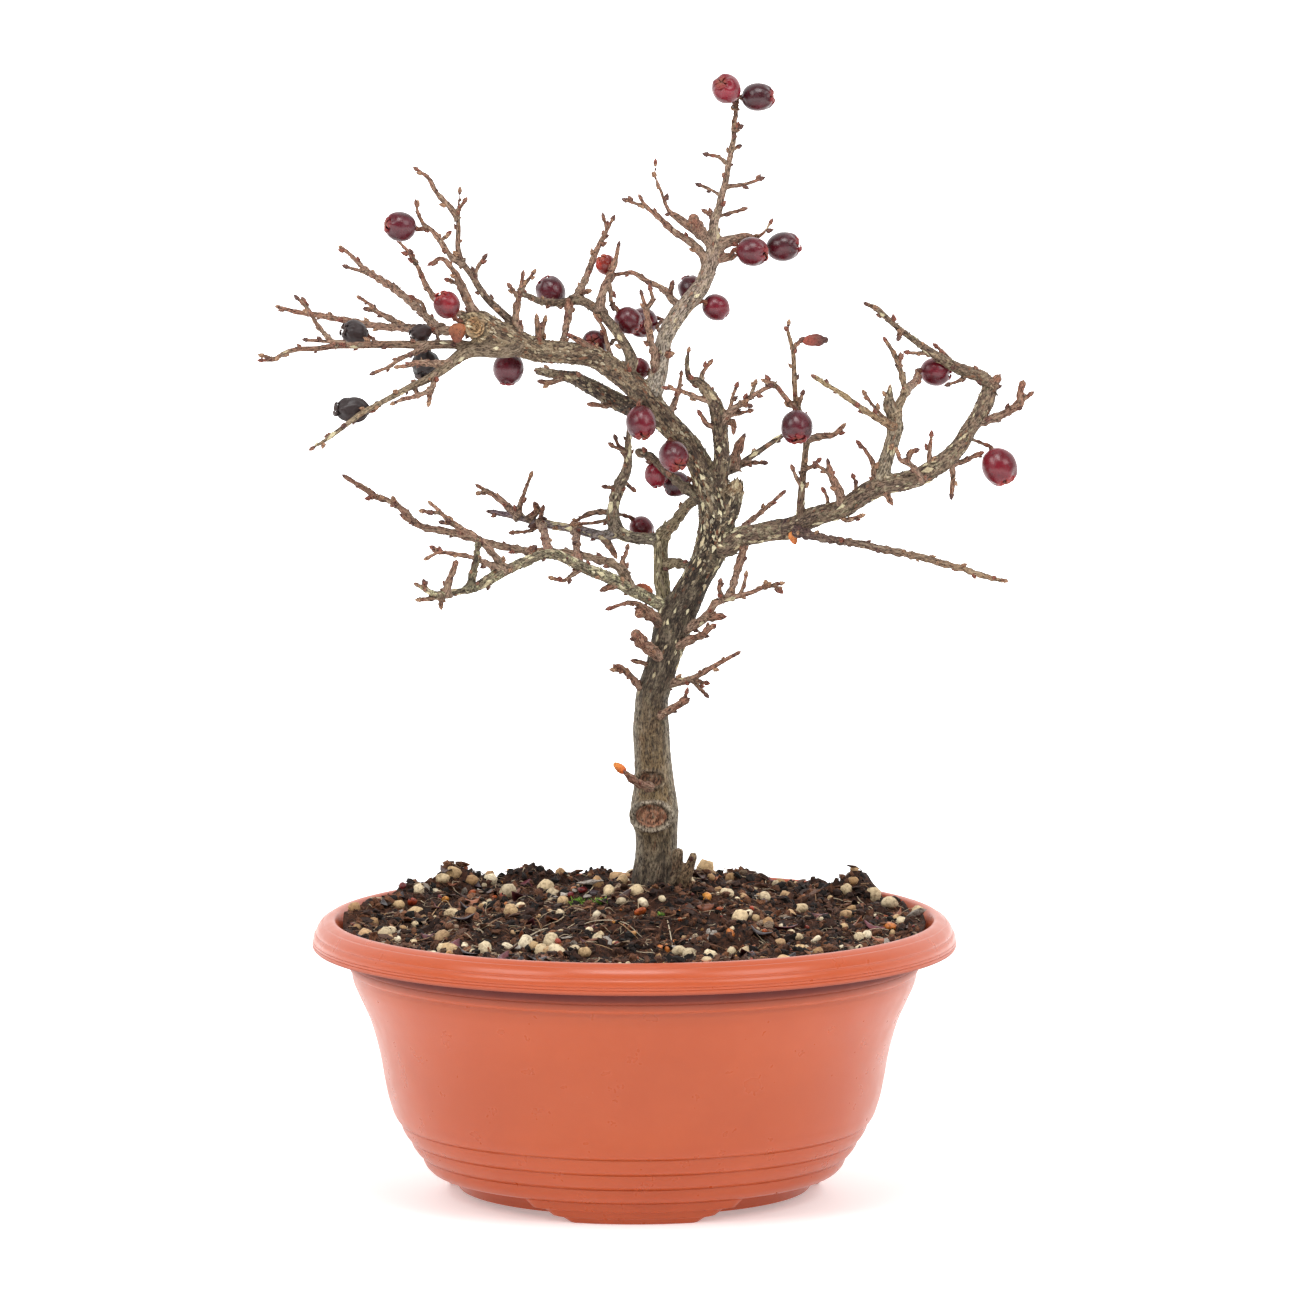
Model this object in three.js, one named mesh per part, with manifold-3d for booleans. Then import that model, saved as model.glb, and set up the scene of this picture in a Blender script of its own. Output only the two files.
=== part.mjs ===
// Cotoneaster bonsai: a leafless small tree with its berries, its soil and its round plastic pot.
// Millimetres, +Z up. The front of the pot faces -Y. The tree leans and forks as one grown piece.

import * as THREE from "three";
import { mergeVertices } from "three/addons/utils/BufferGeometryUtils.js";
import Module from "manifold-3d";

const wasm = await Module();
wasm.setup();

// Clearance between two pieces that touch
const GAP = 0.3;

// Pot: a bowl of moulded plastic on three stepped feet
const POT_SIDES = 34;
const RIM_RADIUS = 103.0;
const POT_HEIGHT = 89.0;
const FOOT_COUNT = 3;
const FOOT_RADIUS = 61.0;
const FOOT_BACK = 46.0;
const FOOT_TOP = 7.6;
const FLOOR_UNDERSIDE = 7.0;
const FLOOR_TOP = 9.5;
const DRAIN_RADIUS = 4.0;
const DRAIN_CIRCLE = 30.0;
const DRAIN_COUNT = 6;
const DRILL_LENGTH = 12.0;

// Outside of the bowl, radius and height, from the skirt up to the crest of the rim
const POT_OUTSIDE = [
  [64.3, 7.0], [66.9, 11.6], [67.7, 12.1], [70.7, 16.6], [71.5, 17.1], [73.9, 21.9], [74.6, 22.4],
  [77.3, 26.7], [81.6, 46.5], [84.3, 56.3], [91.6, 71.6], [92.6, 80.5], [97.6, 85.9], [101.2, 79.3],
  [RIM_RADIUS, 79.3], [102.6, 83.2], [99.4, 87.5], [96.7, POT_HEIGHT], [95.3, 88.3],
];
// Inside of the bowl, from the rim down to the floor
const POT_INSIDE = [[90.6, 81.0], [89.5, 72.0], [82.4, 56.6], [79.6, 46.5], [75.2, 26.9],
  [64.6, FLOOR_TOP]];
// Ring under the floor that shows between the feet
const BASE_RING = [[56.5, FLOOR_UNDERSIDE], [56.5, 2.0], [54.0, 2.0], [54.0, FLOOR_UNDERSIDE]];
// One side of a foot seen from the front: half-width and height, stepped like the skirt above it
const FOOT_SIDE = [[34.4, FOOT_TOP], [34.4, 7.0], [31.8, 4.4], [28.0, 4.0], [25.3, 2.0], [22.3, 1.6], [20.0, 0]];
const FOOT_FACE = [[67.0, FOOT_TOP], [64.3, 7.0], [63.4, 4.4], [62.6, 4.0], [62.0, 2.0], [61.5, 1.6],
  [FOOT_RADIUS, 0]];

// Soil
const SOIL_SIDES = 38;
const SOIL_RINGS = 8;
const SOIL_EDGE_HEIGHT = 83.5;
const SOIL_MOUND = 14.0;
const SOIL_MOUND_WIDTH = 46.0;
const STEM_HOLE_FLOOR = 59.5;
const HOLE_CENTRE = [9.4, 11.8];
const HOLE_HALVES = [11.9, 9.2];
const STEM_HOLE_LENGTH = 60.0;
const GRAIN_COUNT = 38;
const GRAIN_TURN = 137.5;
const GRAIN_FIRST_RADIUS = 17.0;
const GRAIN_LAST_RADIUS = 85.0;
const GRAIN_LIMIT = 84.0;
const GRAIN_SMALLEST = 1.6;
const GRAIN_SPREAD = 1.3;

// The tree is set out as it is seen from the front. x and z are where a limb would cross the upright
// plane through the pot's axis on a line from VIEW_POINT, and depth is how far behind (+) or before (-)
// that plane it lies.
const VIEW_POINT = new THREE.Vector3(5, -3000, 542);

// Each limb: name, what it grows from, radii, depths after the root's, points (x, z), what it ends in.
// Radii and depths are spread evenly over the points.
const LIMBS = [
  ["trunk", null,
    [6.2, 6.8, 6.9, 6.9, 6.7, 6.9, 8.0, 7.5, 6.6, 6.1, 5.9, 6.0, 5.5, 5.3, 5.3, 5.1, 5.5, 6.0, 6.2, 5.4,
      4.8, 4.8, 5.2, 5.4, 5.6, 5.7, 5.3, 4.8, 3.8],
    [12, 12, 12, 12, 12, 11, 10, 8, 6, 4, 3],
    [[6.4, 62], [6.2, 85], [5.8, 99], [6.8, 106], [7.1, 112], [7.0, 117], [6.4, 122], [6.4, 126],
      [6.4, 131], [6.1, 137], [5.7, 143], [5.4, 149], [5.4, 155], [5.9, 161], [7.6, 166], [9.1, 171],
      [10.5, 176], [11.9, 181], [13.6, 186], [16.4, 191], [19.0, 196], [21.6, 201], [24.0, 206],
      [25.5, 211], [26.3, 216], [26.0, 221], [24.7, 225.5], [23.0, 229.5], [21.3, 233.5]]],
  ["upper_left_bough", "trunk",
    [4.2, 3.7, 3.7, 3.7, 3.8, 3.8, 3.8, 3.8, 3.7, 3.6, 3.5, 3.5, 3.5, 3.7, 4.0, 4.3, 4.5, 4.9, 3.2],
    [2, 1, -1, -2, -1, 1, 2, 1, -3, -7, -11, -13],
    [[21.8, 232], [18.9, 238], [15.8, 241.8], [12.5, 245.2], [9.3, 248.6], [6.8, 252], [3.9, 255.5],
      [0.3, 259], [-3.6, 262.3], [-8, 265.6], [-13, 268.4], [-18, 269.5], [-24, 270], [-29.5, 270.4],
      [-34.5, 272], [-39, 273.8], [-43.5, 275.6], [-49.5, 278.6], [-53, 279.6]]],
  ["right_bough", "trunk",
    [4.4, 3.6, 3.3, 3.2, 3.5, 3.3, 3.2, 3.0, 3.0, 3.2, 3.1, 3.1, 3.0, 3.0, 2.8, 2.6, 2.5, 2.9, 2.4, 2.0,
      2.1, 1.9, 1.6, 1.4, 1.1, 1.0, 0.95, 1.1, 0.7],
    [1, -5, -10, -14, -15, -13, -8, -2, 5, 11, 10, 5, 0, -5],
    [[29, 208], [33.5, 210.7], [38.5, 211.9], [44, 213], [50, 213.9], [55, 216.3], [60, 218.4],
      [65, 219.6], [70, 222.4], [75, 225.8], [80, 227.6], [85, 228.6], [90, 230], [95, 232.8],
      [100, 236.4], [103.6, 240.4], [106.2, 245], [109.6, 250], [111.9, 255], [112.8, 259], [110.8, 262],
      [107, 263.3], [103.4, 264.6], [99.6, 266.6], [95.6, 269.1], [91.8, 271.7], [87.8, 274.6],
      [83.8, 277.7], [79.8, 281.2], [77, 283.8], [74, 285.2]]],
  ["leader", "upper_left_bough",
    [3.6, 3.2, 2.9, 2.4, 2.6, 2.7, 2.9, 2.8, 2.8, 2.8, 2.6, 2.6, 2.5, 2.1, 1.7, 1.5, 1.3, 1.2, 1.1, 1.0,
      0.95, 0.9, 0.85, 0.8, 0.7],
    [1, 3, 6, 8, 9, 10, 11, 12, 12, 12],
    [[4.5, 255], [6.4, 259], [7.8, 263.4], [8.9, 268.4], [9.3, 273], [10.9, 277.2], [13.2, 281],
      [16, 284.6], [18.9, 287.9], [21.3, 291], [22.9, 294.6], [24.2, 299], [25.3, 303.3], [25.3, 307.3],
      [25.3, 311.4], [26.8, 315.4], [27.7, 319.9], [28.8, 323.5], [29.7, 328.8], [30.6, 333.3],
      [31.5, 337.8], [31.5, 342.2], [32.2, 345.8], [31.7, 349]]],
  ["dark_bough", "upper_left_bough", [3.4, 3.0, 2.9, 2.8, 2.6, 2.2, 1.7, 1.3], [4, 10, 16, 22, 26],
    [[8.5, 249.5], [4, 251], [0, 252], [-4.5, 253.7], [-9.5, 256.6], [-14.6, 259.4], [-19.5, 261.8],
      [-24, 262.8], [-30.4, 263.9]]],
  ["right_fork", "trunk", [3.6, 2.9, 2.6, 2.5, 2.6, 2.6, 2.3, 2.1, 1.6, 1.2, 0.9, 0.85, 0.4],
    [0, -4, -7, -9, -10],
    [[26, 227], [27.5, 232], [27.8, 237.5], [27.4, 243], [27, 247.5], [26.3, 251.5], [24.8, 255],
      [22.7, 258.1], [20.3, 260.5], [17.8, 261.6], [16.9, 264.2], [16.8, 268], [17.2, 270.2]]],

  // Left of the knot at the end of the upper bough
  ["pale_left_twig", "upper_left_bough", [3.4, 3.1, 2.7, 2.2, 1.7, 1.3, 1.1, 0.95, 0.9, 0.8, 0.5],
    [-10, -14, -22, -30, -38, -46, -52],
    [[-38, 271.8], [-44, 271], [-49.5, 271], [-53.5, 270], [-57.5, 267.2], [-61.5, 264], [-66, 261.2],
      [-71, 259], [-76, 256.3], [-81, 253.6], [-86.5, 250.6], [-92.5, 246.1], [-97.8, 242.2],
      [-102.1, 239.5]]],
  ["level_left_twig", "pale_left_twig", [1.9, 1.5, 1.4, 1.3, 1.2, 1.0, 0.9, 0.8, 0.5],
    [-13, -15, -17, -18, -20, -22],
    [[-50, 271.6], [-54, 272.2], [-60, 272.5], [-68.2, 272.3], [-75, 272.5], [-82, 272.4], [-88, 272.2],
      [-95, 272], [-101, 271.1], [-107, 270.9], [-111.1, 269.7], [-114.6, 267.6], [-118, 267.4]]],
  ["left_twig_rear", "upper_left_bough", [1.7, 1.2, 1.1, 1.0, 0.9, 0.8, 0.45],
    [-8, 2, 10, 16, 22, 28],
    [[-52, 277.5], [-57, 276.7], [-63.8, 277.4], [-70.5, 277.5], [-77.1, 277.9], [-83.4, 278.7],
      [-88.8, 279.8], [-95, 280.7], [-100.8, 281.8], [-106.6, 282.7], [-112.6, 284.3]]],
  ["left_twig_steep", "left_twig_rear", [1.3, 1.1, 1.0, 0.9, 0.7, 0.4], [4, 18, 32, 42],
    [[-61.5, 277.3], [-64.2, 279.4], [-67.8, 283.2], [-71.4, 286.3], [-75.4, 289.9], [-79.9, 292.6],
      [-84.3, 295.3], [-87, 298], [-89.6, 300.5], [-92.8, 303.1]]],
  ["left_twig_short", "left_twig_rear", [0.9, 0.8, 0.35], [10, 14, 19],
    [[-72, 277.6], [-74.5, 278.9], [-78, 280.9], [-81.6, 282.7], [-83.8, 285], [-87, 287.2]]],
  ["left_twig_end_fork", "level_left_twig", [0.9, 0.7, 0.35], [-17, -16],
    [[-94, 272.2], [-96.8, 274], [-98.1, 275.6], [-100.8, 279.1], [-103, 282.7], [-106.8, 287]]],
  ["left_twig_twin", "level_left_twig", [0.6, 0.35], [-24],
    [[-90, 272.3], [-95, 273.4], [-100, 273.5], [-103.9, 273.9]]],
  ["left_twig_down", "level_left_twig", [0.9, 0.7, 0.4], [-20, -24],
    [[-66, 272], [-70, 269.9], [-74.5, 267.9], [-77.7, 265.5], [-82.6, 263.4]]],
  ["knot_twig", "upper_left_bough", [1.4, 1.0, 0.9, 0.7, 0.35], [-4, 2, 7, 10],
    [[-52.5, 281], [-57.5, 283.2], [-62.4, 286], [-66, 291.3], [-69.6, 298.9], [-74.5, 305.2]]],
  ["pale_fork_low", "pale_left_twig", [0.9, 0.4], [-32, -35],
    [[-63.8, 262.6], [-64.2, 258.6], [-69.2, 256], [-73.6, 254.9], [-76.3, 253.8]]],
  ["pale_fork_high", "pale_left_twig", [1.0, 0.8, 0.4], [-27, -31],
    [[-59, 266], [-64.3, 266.4], [-69.2, 266.6], [-72.3, 265.6], [-75, 265.3]]],

  // Upright twigs above the upper bough
  ["upright_left", "upper_left_bough", [2.0, 1.5, 1.3, 1.2, 1.1, 1.0, 0.8, 0.35],
    [-6, -5, -6, -7, -8],
    [[-36, 274], [-39, 279.5], [-42.5, 283], [-46.3, 286.6], [-49.5, 291], [-51.5, 294.5],
      [-54.5, 298.5], [-55.9, 303], [-55.7, 309.6], [-55.9, 313.2], [-55.3, 321]]],
  ["upright_left_tip", "upright_left", [0.8, 0.7, 0.35], [-6, -3],
    [[-56, 311.5], [-58.6, 316.4], [-62.9, 320.9], [-65.1, 325.3], [-68.7, 328]]],
  ["berry_twig_left", "upright_left", [0.9, 0.7, 0.35], [-10, -12],
    [[-55, 298], [-57.6, 300], [-60.2, 303.4], [-63.8, 308.3], [-66.9, 310.8], [-68.7, 314.6],
      [-69.1, 317]]],
  ["knot_top_twig", "upper_left_bough", [1.7, 1.3, 0.9, 0.4], [-16, -20],
    [[-51, 282], [-52.8, 286.4], [-54.8, 290.8], [-56.6, 294.9], [-61.1, 299.8], [-64.2, 298.4]]],
  ["spur_cluster", "upper_left_bough", [1.6, 1.2, 1.0, 0.8, 0.4], [-8, -9],
    [[-36.5, 275], [-37.6, 280.5], [-37, 285], [-36.3, 289], [-35.4, 294.4]]],
  ["arched_limb", "upper_left_bough",
    [2.4, 1.9, 1.7, 1.6, 1.6, 1.6, 1.5, 1.4, 1.3, 1.2, 1.0, 0.9],
    [-1, 2, 5, 8, 11, 13, 15, 13, 8, 0, -6],
    [[-2.5, 261.8], [-0.9, 267], [-2.2, 271], [-4.8, 275.2], [-8, 279.6], [-11, 282.7], [-14, 285],
      [-17.3, 286.6], [-20.6, 286.2], [-24, 285.7], [-27.5, 286], [-30.6, 286.4], [-33.2, 287.8],
      [-36, 288.6]], "spur_cluster"],
  ["strut_twig", "upper_left_bough", [1.2, 0.95, 0.95, 1.2], [4, 8, 12],
    [[-23, 272], [-21.8, 277], [-21, 281], [-20.5, 285.5]], "arched_limb"],
  ["tall_twig", "arched_limb", [1.2, 0.9, 0.8, 0.7, 0.35], [20, 27, 31, 33],
    [[-18.5, 286.5], [-16.4, 291.3], [-14.1, 296.7], [-12.3, 301.6], [-10.6, 305.2], [-8.8, 308.7],
      [-9.7, 312.8]]],
  ["berry_twig_mid", "arched_limb", [1.3, 1.1, 1.0, 0.8, 0.35], [12, 15, 17, 18],
    [[-10.8, 282.6], [-10.4, 287], [-9, 291.6], [-7.4, 295], [-5.9, 299.4], [-5, 303.8]]],
  ["drooping_stalk", "berry_twig_mid", [0.8, 0.6, 0.45], [13, 12.2],
    [[-8.4, 292.8], [-7.6, 290], [-7.4, 286.5], [-6.9, 284.6]]],
  ["side_twig_leader", "leader", [1.3, 0.9, 0.8, 0.7, 0.4], [12, 15, 18],
    [[15.5, 284], [11.9, 287], [9.7, 289.6], [7, 291.3], [3.4, 293.1], [-0.6, 295.2], [-5.7, 294.7]]],
  ["inner_upright", "leader", [1.4, 1.2, 1.0, 0.9, 0.8, 0.35], [-2, -4, -5],
    [[7, 261.5], [6.6, 266], [6.3, 269.6], [5.2, 273.4], [4.6, 277.4], [4.1, 281.4], [3.4, 284.8],
      [2.4, 288.4]]],
  ["thin_inner", "upper_left_bough", [0.7, 0.6, 0.45], [6, 7],
    [[-6.5, 264.5], [-8, 270.2], [-8.8, 273.8], [-9.9, 277.8], [-11.9, 281]]],

  // The leader's side limbs
  ["leader_left", "leader", [1.9, 1.6, 1.4, 0.7, 0.6, 0.35], [8, 4, 0],
    [[25, 303], [22.6, 306.4], [19.6, 308.6], [16.4, 310.8], [13.4, 313.1], [11.2, 314.6],
      [9.8, 317.6], [8.3, 321.7], [6.7, 325.7], [6.7, 329.9]]],
  ["leader_left_low", "leader", [1.3, 1.0, 0.8, 0.4], [7, 4, 2],
    [[23, 297.5], [20.8, 302], [17.9, 305.1], [13.4, 307.8], [9.8, 311], [6.3, 314.1], [4, 315.9],
      [2.2, 318.8]]],
  ["leader_cut_stub", "leader_left", [1.5, 1.3], [0], [[21.5, 307.3], [20, 310], [18.8, 312.2]]],
  ["leader_knob", "leader", [2.3, 2.0, 1.5, 0.9, 0.6, 0.35], [11, 8, 6],
    [[25.3, 303.5], [29, 305], [32.5, 306], [35.4, 307], [38.8, 306.6], [41.2, 308.2], [43.1, 311.1]]],
  ["dark_stub", "leader", [1.9, 1.7, 1.2], [9], [[24.6, 300.4], [28, 300], [31.3, 300.6]]],

  // Right of the trunk fork
  ["right_fork_out", "right_fork", [1.9, 1.5, 1.1, 0.85, 0.8, 0.8, 0.9, 0.95, 0.9, 1.0],
    [-8, -9, -10, -11, -12],
    [[27.6, 247.5], [29.9, 250.3], [32.2, 252.4], [35.5, 254.6], [38.4, 256.5], [42, 258.6],
      [44.7, 259.4], [46.9, 256.9], [49, 254.4], [50.7, 252.8]]],
  ["fork_pale_twig", "right_fork", [0.9, 0.8, 0.4], [-9, -12],
    [[25, 254.6], [22, 255], [19.6, 255.6], [16, 257.2], [10.4, 258.5]]],
  ["background_twig", "upper_left_bough", [1.0, 0.9, 0.8, 0.4], [14, 20, 24],
    [[10, 248.6], [11.8, 251.4], [13, 254.4], [14.3, 258.4], [14.9, 262.8]]],
  ["upright_right", "right_bough",
    [2.0, 1.4, 1.25, 1.15, 1.1, 1.05, 1.0, 0.95, 0.95, 0.9, 0.85, 0.8, 0.7, 0.35],
    [-12, -10, -9, -9, -10, -12, -14],
    [[53.2, 215.6], [52.9, 219], [53.1, 224], [53.5, 229], [54, 234], [54.5, 239], [54.6, 243],
      [54, 247.5], [52.6, 251], [51.4, 254], [51, 258.5], [50.8, 264.4], [50.4, 270.2], [49.6, 273.6],
      [48.8, 276.6], [49, 279]]],
  ["rear_fork_twig", "trunk", [1.9, 1.4, 1.1, 1.0, 0.9], [14, 20, 25],
    [[27, 231], [32, 232.8], [36.9, 236.4], [41.4, 239.6], [46.8, 243.2]]],
  ["berry_link", "trunk", [1.8, 1.5, 1.3, 1.2, 1.1, 1.2], [3, 4, 6, 10, 16],
    [[21, 223.4], [16.4, 226.6], [12.2, 230], [8.6, 233.4], [5.4, 236.4], [1.6, 238.2]]],

  // Right bough: what stands on it
  ["pale_upright", "right_bough", [2.6, 2.4, 2.2, 2.4, 2.8, 2.2, 2.1, 0.9],
    [-14, -15, -15, -16, -17],
    [[77.5, 228], [79.4, 233], [81, 238.5], [82.4, 243], [82.9, 246.4], [82.4, 250], [81, 253.6],
      [81.2, 258]]],
  ["pale_upright_fork", "pale_upright", [1.5, 1.1, 0.9, 0.85, 0.7, 0.5], [-18, -22, -25],
    [[83, 250], [84.4, 253.8], [86, 257], [85.6, 260], [84.6, 264], [83.6, 267], [82, 270.3],
      [79.9, 273.6]]],
  ["berry_fork", "pale_upright_fork", [1.0, 0.9, 0.8], [-9, 4],
    [[86, 257], [88.4, 259.7], [90.3, 262.2]]],
  ["long_pale_twig", "pale_upright", [1.4, 1.0, 0.85, 0.75, 0.6], [-22, -30, -38],
    [[81.6, 246.4], [77.5, 248.8], [71.4, 252.7], [63.8, 258.1], [57.3, 262.1]]],
  ["long_low_twig", "right_bough", [1.8, 1.2, 1.0, 1.0, 0.95, 0.9, 0.85, 0.5],
    [-20, -32, -42, -52, -62],
    [[50.5, 213], [54.5, 212], [59, 210.9], [64, 209.9], [70, 209.1], [80, 206.9], [90, 204.7],
      [98, 202.5], [105, 200.6], [112, 198.2], [117.8, 197]]],
  ["rear_pale_twig", "right_bough", [1.3, 0.9, 0.7, 0.45], [16, 28],
    [[32, 211.2], [35.4, 214.8], [41.4, 219.8], [47.2, 225]]],
  ["right_end_twig", "right_bough", [1.5, 1.2, 1.1, 1.2, 1.0, 0.8], [0, -5, -9],
    [[107.6, 246.8], [112, 248.3], [116, 249.6], [119.6, 251.5], [122.6, 254], [122.6, 257],
      [123.3, 259.8]]],
  ["knob_twig", "right_bough", [1.2, 0.8, 0.6], [-4, -8],
    [[100, 234.6], [104, 234.9], [107.2, 236.4], [110, 237.6]]],
  ["cluster_twig", "right_bough", [1.1, 0.8, 0.8, 0.45], [-19, -22],
    [[91.4, 229], [89.4, 232.6], [86.4, 235.2], [84.6, 235.5], [83.6, 238.2]]],
  ["speckled_spur", "right_bough", [1.5, 1.3, 1.0, 0.6], [-18, -20],
    [[65.8, 221], [64.8, 226.5], [62.6, 230.6], [61.7, 234.6]]],

  // Lower left of the trunk
  ["lichen_limb", "trunk",
    [2.8, 2.2, 2.0, 2.0, 2.0, 1.9, 1.8, 1.7, 1.6, 1.5, 1.5, 1.6, 1.9, 1.8, 1.4, 1.1, 1.2, 1.5, 0.9, 0.7],
    [6, -2, -8, -14, -20, -26, -32, -38, -44],
    [[13, 186.5], [8, 189.6], [4, 191.6], [-1, 194], [-6, 196.9], [-10.5, 198.9], [-15, 200.6],
      [-20, 203.1], [-25, 205.2], [-28.5, 205.4], [-33, 203.9], [-38, 201.6], [-43, 199.3],
      [-47, 196.8], [-51, 194.7], [-55, 193.6], [-58.5, 193], [-61.6, 192.2], [-65, 193.2],
      [-69, 195.5]]],
  ["olive_stem", "trunk", [3.0, 2.6, 2.4, 2.6, 2.5, 2.4, 2.4, 2.0], [14, 18, 21, 23],
    [[11.5, 184], [10.1, 189.5], [9.1, 194], [8.6, 198.5], [8.5, 203], [8.4, 207], [8.8, 211],
      [9.4, 213]]],
  ["olive_fork_right", "olive_stem", [1.6, 1.4, 1.4, 1.6], [20, 14, 8],
    [[9.6, 211.4], [12.2, 214.8], [15, 218.6], [18, 222], [21, 224]], "trunk"],
  ["olive_link", "olive_stem", [1.5, 1.2, 1.5], [14], [[9, 201.6], [13.2, 202.7], [17, 201.6], [20, 200]],
    "trunk"],
  ["left_upright", "olive_stem",
    [2.2, 1.9, 1.9, 2.1, 2.4, 2.2, 1.9, 2.1, 1.9, 1.7, 1.4, 1.2, 0.9, 0.8],
    [24, 25, 25, 24, 20, 16],
    [[8, 210.4], [3, 210.4], [-1.5, 211], [-4.8, 212.6], [-6.7, 216.4], [-6.8, 219.4], [-6, 223.4],
      [-4.8, 227.4], [-2.8, 231.4], [-2, 235], [-2, 239], [-1.9, 243], [-1.6, 247]]],
  ["shaded_twig", "left_upright", [1.9, 1.7, 1.6, 1.5, 1.4, 1.3, 1.2, 1.1, 0.9],
    [26, 28, 31, 34, 36, 38],
    [[-4.6, 211.6], [-9.5, 211.4], [-14.5, 212.4], [-19.5, 213.6], [-25, 214.6], [-30, 215.3],
      [-35, 216.8], [-40, 218], [-45.6, 219]]],
  ["shaded_end_fork", "shaded_twig", [1.2, 1.1, 0.9, 0.5], [38, 42],
    [[-36.5, 217.4], [-39.5, 220], [-42, 222.5], [-44.6, 224.2], [-49.2, 227]]],
  ["shaded_link", "shaded_twig", [1.1, 1.0, 1.0, 1.1], [14, -8],
    [[-30, 215.4], [-28.8, 213], [-28.1, 209.5], [-27, 205.6]], "lichen_limb"],
  ["shaded_link_inner", "shaded_twig", [1.1, 0.9, 1.1], [12], [[-18.6, 213], [-18.4, 207.5], [-17.6, 201.6]],
    "lichen_limb"],
  ["crossing_twig", "lichen_limb",
    [1.5, 1.3, 1.2, 1.1, 1.0, 1.0, 1.0, 1.1, 1.0, 1.0, 1.0, 1.0, 0.9, 0.95, 0.8, 0.8, 0.8, 0.6],
    [4, 12, 18, 24, 28, 30, 32, 33],
    [[-1, 194.6], [-3, 199], [-6.6, 202.2], [-11, 203.7], [-16, 204.9], [-22, 206], [-28, 206.4],
      [-34, 206.3], [-40, 207.6], [-46, 209], [-52, 210.8], [-58, 212.3], [-64, 213.5], [-69, 215],
      [-73, 219], [-77, 222], [-82, 224], [-87, 227.3], [-91.5, 230]]],
  ["lichen_fork_high", "lichen_limb", [1.3, 0.95, 0.9, 0.8, 0.45], [-26, -22, -18],
    [[-41, 200.4], [-43.6, 203.8], [-46.5, 207.4], [-51, 211.2], [-56, 214.2], [-60, 217.2],
      [-64.5, 221.4]]],
  ["lichen_fork_mid", "lichen_limb", [1.2, 0.8, 0.6, 0.35], [-34, -40],
    [[-41.5, 200.6], [-46, 202.1], [-48.6, 203.1], [-52, 204.6], [-57, 205.4], [-62, 206],
      [-65.7, 204.3]]],
  ["lichen_link", "lichen_limb", [1.3, 1.0, 0.8, 0.8], [-34, -26],
    [[-52, 194.6], [-51.4, 199.4], [-50.3, 203.4], [-50, 207], [-49.4, 210]], "lichen_fork_high"],
  ["lichen_spur", "lichen_limb", [1.2, 0.95, 0.8], [-40, -43],
    [[-60, 192.8], [-59, 197], [-57.8, 200], [-57, 202.4]]],

  // Short twigs on the trunk
  ["trunk_twig_top", "trunk", [2.0, 1.6, 1.5, 1.2, 1.0, 0.9, 0.8, 0.6], [4, 0, -4, -6],
    [[15, 181], [20, 183.2], [23.4, 186], [25.8, 189.6], [30, 191.2], [33.6, 192.2], [37.4, 193.2],
      [41, 194.8], [46.4, 196]]],
  ["trunk_twig_rise", "trunk_twig_top", [1.2, 1.0, 1.1, 1.4], [4, 6],
    [[30, 191.2], [31.6, 196], [32.8, 200], [34.2, 204.6], [36, 210]], "right_bough"],
  ["trunk_twig_mid", "trunk", [1.7, 1.2, 0.95, 0.8], [2, -4],
    [[13, 176], [18.4, 178.2], [21.8, 179.6], [23.4, 181.4], [25.2, 182.4]]],
  ["trunk_twig_low", "trunk", [1.9, 1.5, 1.3, 1.0, 0.9, 0.7], [8, -2, -8],
    [[8, 163.4], [13, 164.2], [17, 165], [19.4, 166], [23.4, 168.4], [28, 171], [32.6, 173.5]]],
  ["tan_stub", "trunk", [1.2, 1.1, 1.0], [6, 0], [[8, 153.6], [12, 155.8], [16.6, 158.6]]],
  ["left_stub_high", "trunk", [1.8, 1.6, 1.5], [6, 0], [[8, 173], [3.4, 176.2], [0.5, 179.6]]],
  ["left_stub_mid", "trunk", [1.0, 0.7, 0.6], [8], [[7, 168.6], [3, 170.4], [0.3, 171.1]]],
  ["left_stub_low", "trunk", [1.3, 1.0, 0.9, 0.6], [6, 0],
    [[5.6, 160.6], [1.6, 163], [-0.7, 165.7], [-3, 168], [-4.9, 169.5]]],
  ["cut_stump", "trunk", [3.4, 2.8, 2.5], [1, 0], [[28, 214.5], [31, 220], [32.4, 227]]],
  ["bud_stalk", "trunk", [1.5, 1.1, 0.8], [2, -3], [[5, 130.6], [0.4, 132.4], [-2.5, 135]]],
  ["broken_shoot", "trunk", [2.8, 2.3, 2.0, 1.4], [12, 8, 6],
    [[9, 92], [15.4, 97.5], [16.8, 102.5], [18.8, 108.2]]],
  ["broken_shoot_low", "trunk", [2.6, 2.0, 1.5], [9, 7], [[9, 97], [13.2, 103.5], [14.2, 109.6]]],
];

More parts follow.
